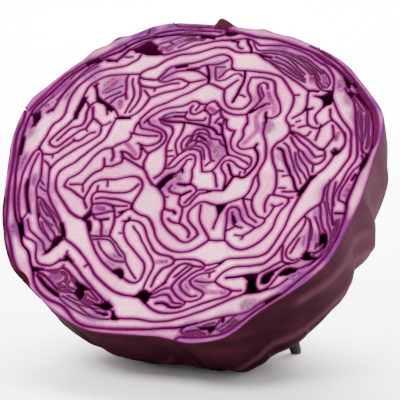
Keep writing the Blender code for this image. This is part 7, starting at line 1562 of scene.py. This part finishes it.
def coat_colour(here, turn, down, streaks):
    """Maroon skin with a grey bloom, painted lighter at the right as a painted sheen, painted highlights
    along the ridges, and forking veins lower down.
    """
    # Waxy bloom from noise, plus a painted sheen that lightens the right side and fades again towards the
    # back
    bloom_and_sheen = grain(here, 26.0, 3.0) * 0.5 + turn.between(-0.8, 0.2, 0.0, 0.6)
    bloom_and_sheen = bloom_and_sheen - turn.between(1.7, 3.1, 0.0, 0.6)
    coat = bloom_and_sheen.between(0.3, 0.85).mixed(MAROON, BLOOM_AND_SHEEN)
    coat = (streaks.between(0.35, 0.7) * 0.4).mixed(coat, VEIN)
    # Painted highlight along each ridge of the outside
    coat = (attribute(here, "ridge_highlight").between(0.2, 1.0) * 0.3).mixed(coat, RIDGE_HIGHLIGHT)
    coat = down.between(0.0, 1.6, 0.5, 0.0).mixed(coat, LIP)
    veins = turn * MAIN_VEINS + grain(here, 22.0, 2.0) * 1.1
    veins = veins.folded(0.5).between(0.0, 0.07, 1.0, 0.0)
    twigs = turn * TWIGS + down * 0.035 + grain(here, 45.0, 2.0) * 1.4
    twigs = twigs.folded(0.5).between(0.0, 0.09, 1.0, 0.0)
    coat = (veins * down.between(28.0, 60.0, 0.0, 0.7)).mixed(coat, PALE_VEIN)
    return (twigs * down.between(34.0, 66.0, 0.0, 0.45)).mixed(coat, PALE_VEIN)


print("main veins", MAIN_VEINS, "and twigs", TWIGS, "for each radian round the head")


# %% Put the three looks on one leaf
def leaf_material(name, seed):
    material, surface, here = start_material(name)
    flesh, crease = attribute(here, "flesh"), attribute(here, "crease")
    turn, down, outside = attribute(here, "turn"), attribute(here, "down"), attribute(here, "outside")
    broad, fine = grain(here, 70.0, 2.0), grain(here, 520.0, 3.0, 0.6)
    streaks = grain(here, 60.0, 4.0, 0.6, (1.0, 1.0, 3.2))
    cut = flesh_colour(here, flesh, crease, broad, fine, seed)
    colour = outside.mixed(wall_colour(down), coat_colour(here, turn, down, streaks))
    feed(surface, "Base Color", flesh.between(-0.3, -0.02).mixed(colour, cut))
    feed(surface, "Roughness", flesh.between(-0.3, 0.0, WAX_ROUGH, FLESH_ROUGH) + (fine - 0.5) * 0.2)
    surface.inputs["Subsurface Weight"].default_value = 0.0
    surface.inputs["Specular IOR Level"].default_value = 0.0
    surface.inputs["Coat Roughness"].default_value = 0.3
    feed(surface, "Coat Weight", flesh.between(-0.2, 0.3, 0.0, 0.1) + outside * 0.03)
    height = fine * 0.6 + broad + streaks * 0.6
    bumped = here.node("ShaderNodeBump", {"Height": height, "Strength": 0.35, "Distance": 0.0004})
    feed(surface, "Normal", bumped)
    return material


print("wet flesh is smoother than the wax, so its roughness is", FLESH_ROUGH, "and not", WAX_ROUGH)


# %% [markdown]
# Every outline becomes a leaf with its own tone of flesh, because no two leaves of a head are
# stained alike. A leaf that a hollow has split off keeps a name of its own.

# %% Make every leaf
for number, loop in enumerate(leaf_loops):
    nodes = [node for _, node in sorted(leaves.get(number, []), reverse=True)]
    name = nodes[0] if nodes else "heart_fold_%02d" % number
    look = build_leaf(name, loop, leaf_material(name + "_flesh", number))
    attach(look, "root")
    if nodes:
        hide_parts(*nodes)
    else:
        print("a leaf without a solid at", loop.mean(axis=0).round(1), "area", round(abs(area_of(loop))))
    nodes[0] if nodes else nearest_solid(loop)


# %% [markdown]
# The stem and the dried stalk are carried over as they are and only painted. Both are dull and
# corky, the stem pale and the stalk nearly black.

# %% Paint the stem and the stalk
def plain_material(name, dark, light, roughness):
    material, surface, here = start_material(name)
    feed(surface, "Base Color", grain(here, 180.0, 4.0).between(0.35, 0.65).mixed(dark, light))
    surface.inputs["Roughness"].default_value = roughness
    bumped = here.node("ShaderNodeBump", {"Height": grain(here, 300.0), "Strength": 0.5, "Distance": 0.0006})
    feed(surface, "Normal", bumped)
    return material


stem_paint = plain_material("stem_flesh", linear(132, 104, 92), linear(190, 168, 142), 0.6)
stalk_paint = plain_material("dry_stalk", linear(22, 12, 16), linear(48, 26, 34), 0.7)
for node, paint in (("stem", stem_paint), ("stalk", stalk_paint)):
    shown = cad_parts[node]
    shown.data.materials.clear()
    shown.data.materials.append(paint)
    for polygon in shown.data.polygons:
        polygon.material_index = 0
    print(node, "is painted with", paint.name)

# %% [markdown]
# The floor is pale and plain. The light is broad and soft, from above and the left.

# %% Floor and light
FLOOR_SIZE = 6.0
AIM = (0, 0, 0.06)
ALL_ROUND = 180.0
WORLD_LIGHT = 1.5

bpy.ops.object.select_all(action="DESELECT")
bpy.ops.mesh.primitive_plane_add(size=FLOOR_SIZE, location=(0, 0, 0))
floor = bpy.context.active_object
floor.name = "floor"
floor_paint, floor_surface, _ = start_material("pale_floor")
floor_surface.inputs["Base Color"].default_value = (0.9, 0.865, 0.9, 1)
floor_surface.inputs["Roughness"].default_value = 0.75
floor.data.materials.append(floor_paint)


def soft_light(name, place, size, watts, aim=AIM, spread=ALL_ROUND):
    lamp = bpy.data.lights.new(name, "AREA")
    lamp.spread = math.radians(spread)
    lamp.shape = "DISK"
    lamp.size = size
    lamp.energy = watts
    made = bpy.data.objects.new(name, lamp)
    bpy.context.collection.objects.link(made)
    made.location = place
    made.rotation_mode = "QUATERNION"
    made.rotation_quaternion = (Vector(aim) - Vector(place)).to_track_quat("-Z", "Y")
    print(name, "light of", watts, "watts at", place)


soft_light("key", (-0.5, -0.7, 0.95), 0.5, 31.0)
soft_light("fill", (0.7, -0.9, 0.45), 0.9, 2.0)
soft_light("top", (0.1, 0.6, 1.15), 1.0, 14.0)
soft_light("backdrop", (0.0, 1.0, 0.7), 1.4, 95.0, (0.0, 0.8, 0.0), 120.0)
world = bpy.data.worlds.new("studio")
bpy.context.scene.world = world
world.use_nodes = True
world.node_tree.nodes["Background"].inputs["Color"].default_value = (1, 1, 1, 1)
world.node_tree.nodes["Background"].inputs["Strength"].default_value = WORLD_LIGHT

# %% [markdown]
# The camera is a metre away with a long lens, a little above the table, as the picture has it.

# %% Camera
CAMERA_RISE = math.radians(12.0)
CAMERA_DISTANCE = 1000.0
PICTURE_WIDTH = 152.0
ASIDE, BELOW = 3.23, 8.74
SENSOR = 36.0

right = np.array([1.0, 0.0, 0.0])
up = np.array([0.0, math.sin(CAMERA_RISE), math.cos(CAMERA_RISE)])
back = np.array([0.0, -math.cos(CAMERA_RISE), math.sin(CAMERA_RISE)])
eye = (FACE_MIDDLE + right * ASIDE - up * BELOW + back * CAMERA_DISTANCE) * MM
lens = bpy.data.cameras.new("camera")
lens.sensor_width = SENSOR
lens.lens = SENSOR * CAMERA_DISTANCE / PICTURE_WIDTH
lens.clip_start = 0.05
camera = bpy.data.objects.new("camera", lens)
bpy.context.collection.objects.link(camera)
camera.matrix_world = Matrix([[right[k], up[k], back[k], eye[k]] for k in range(3)] + [[0, 0, 0, 1]])
bpy.context.scene.camera = camera
print("camera at", eye.round(3), "with a lens of", round(lens.lens, 1), "mm")
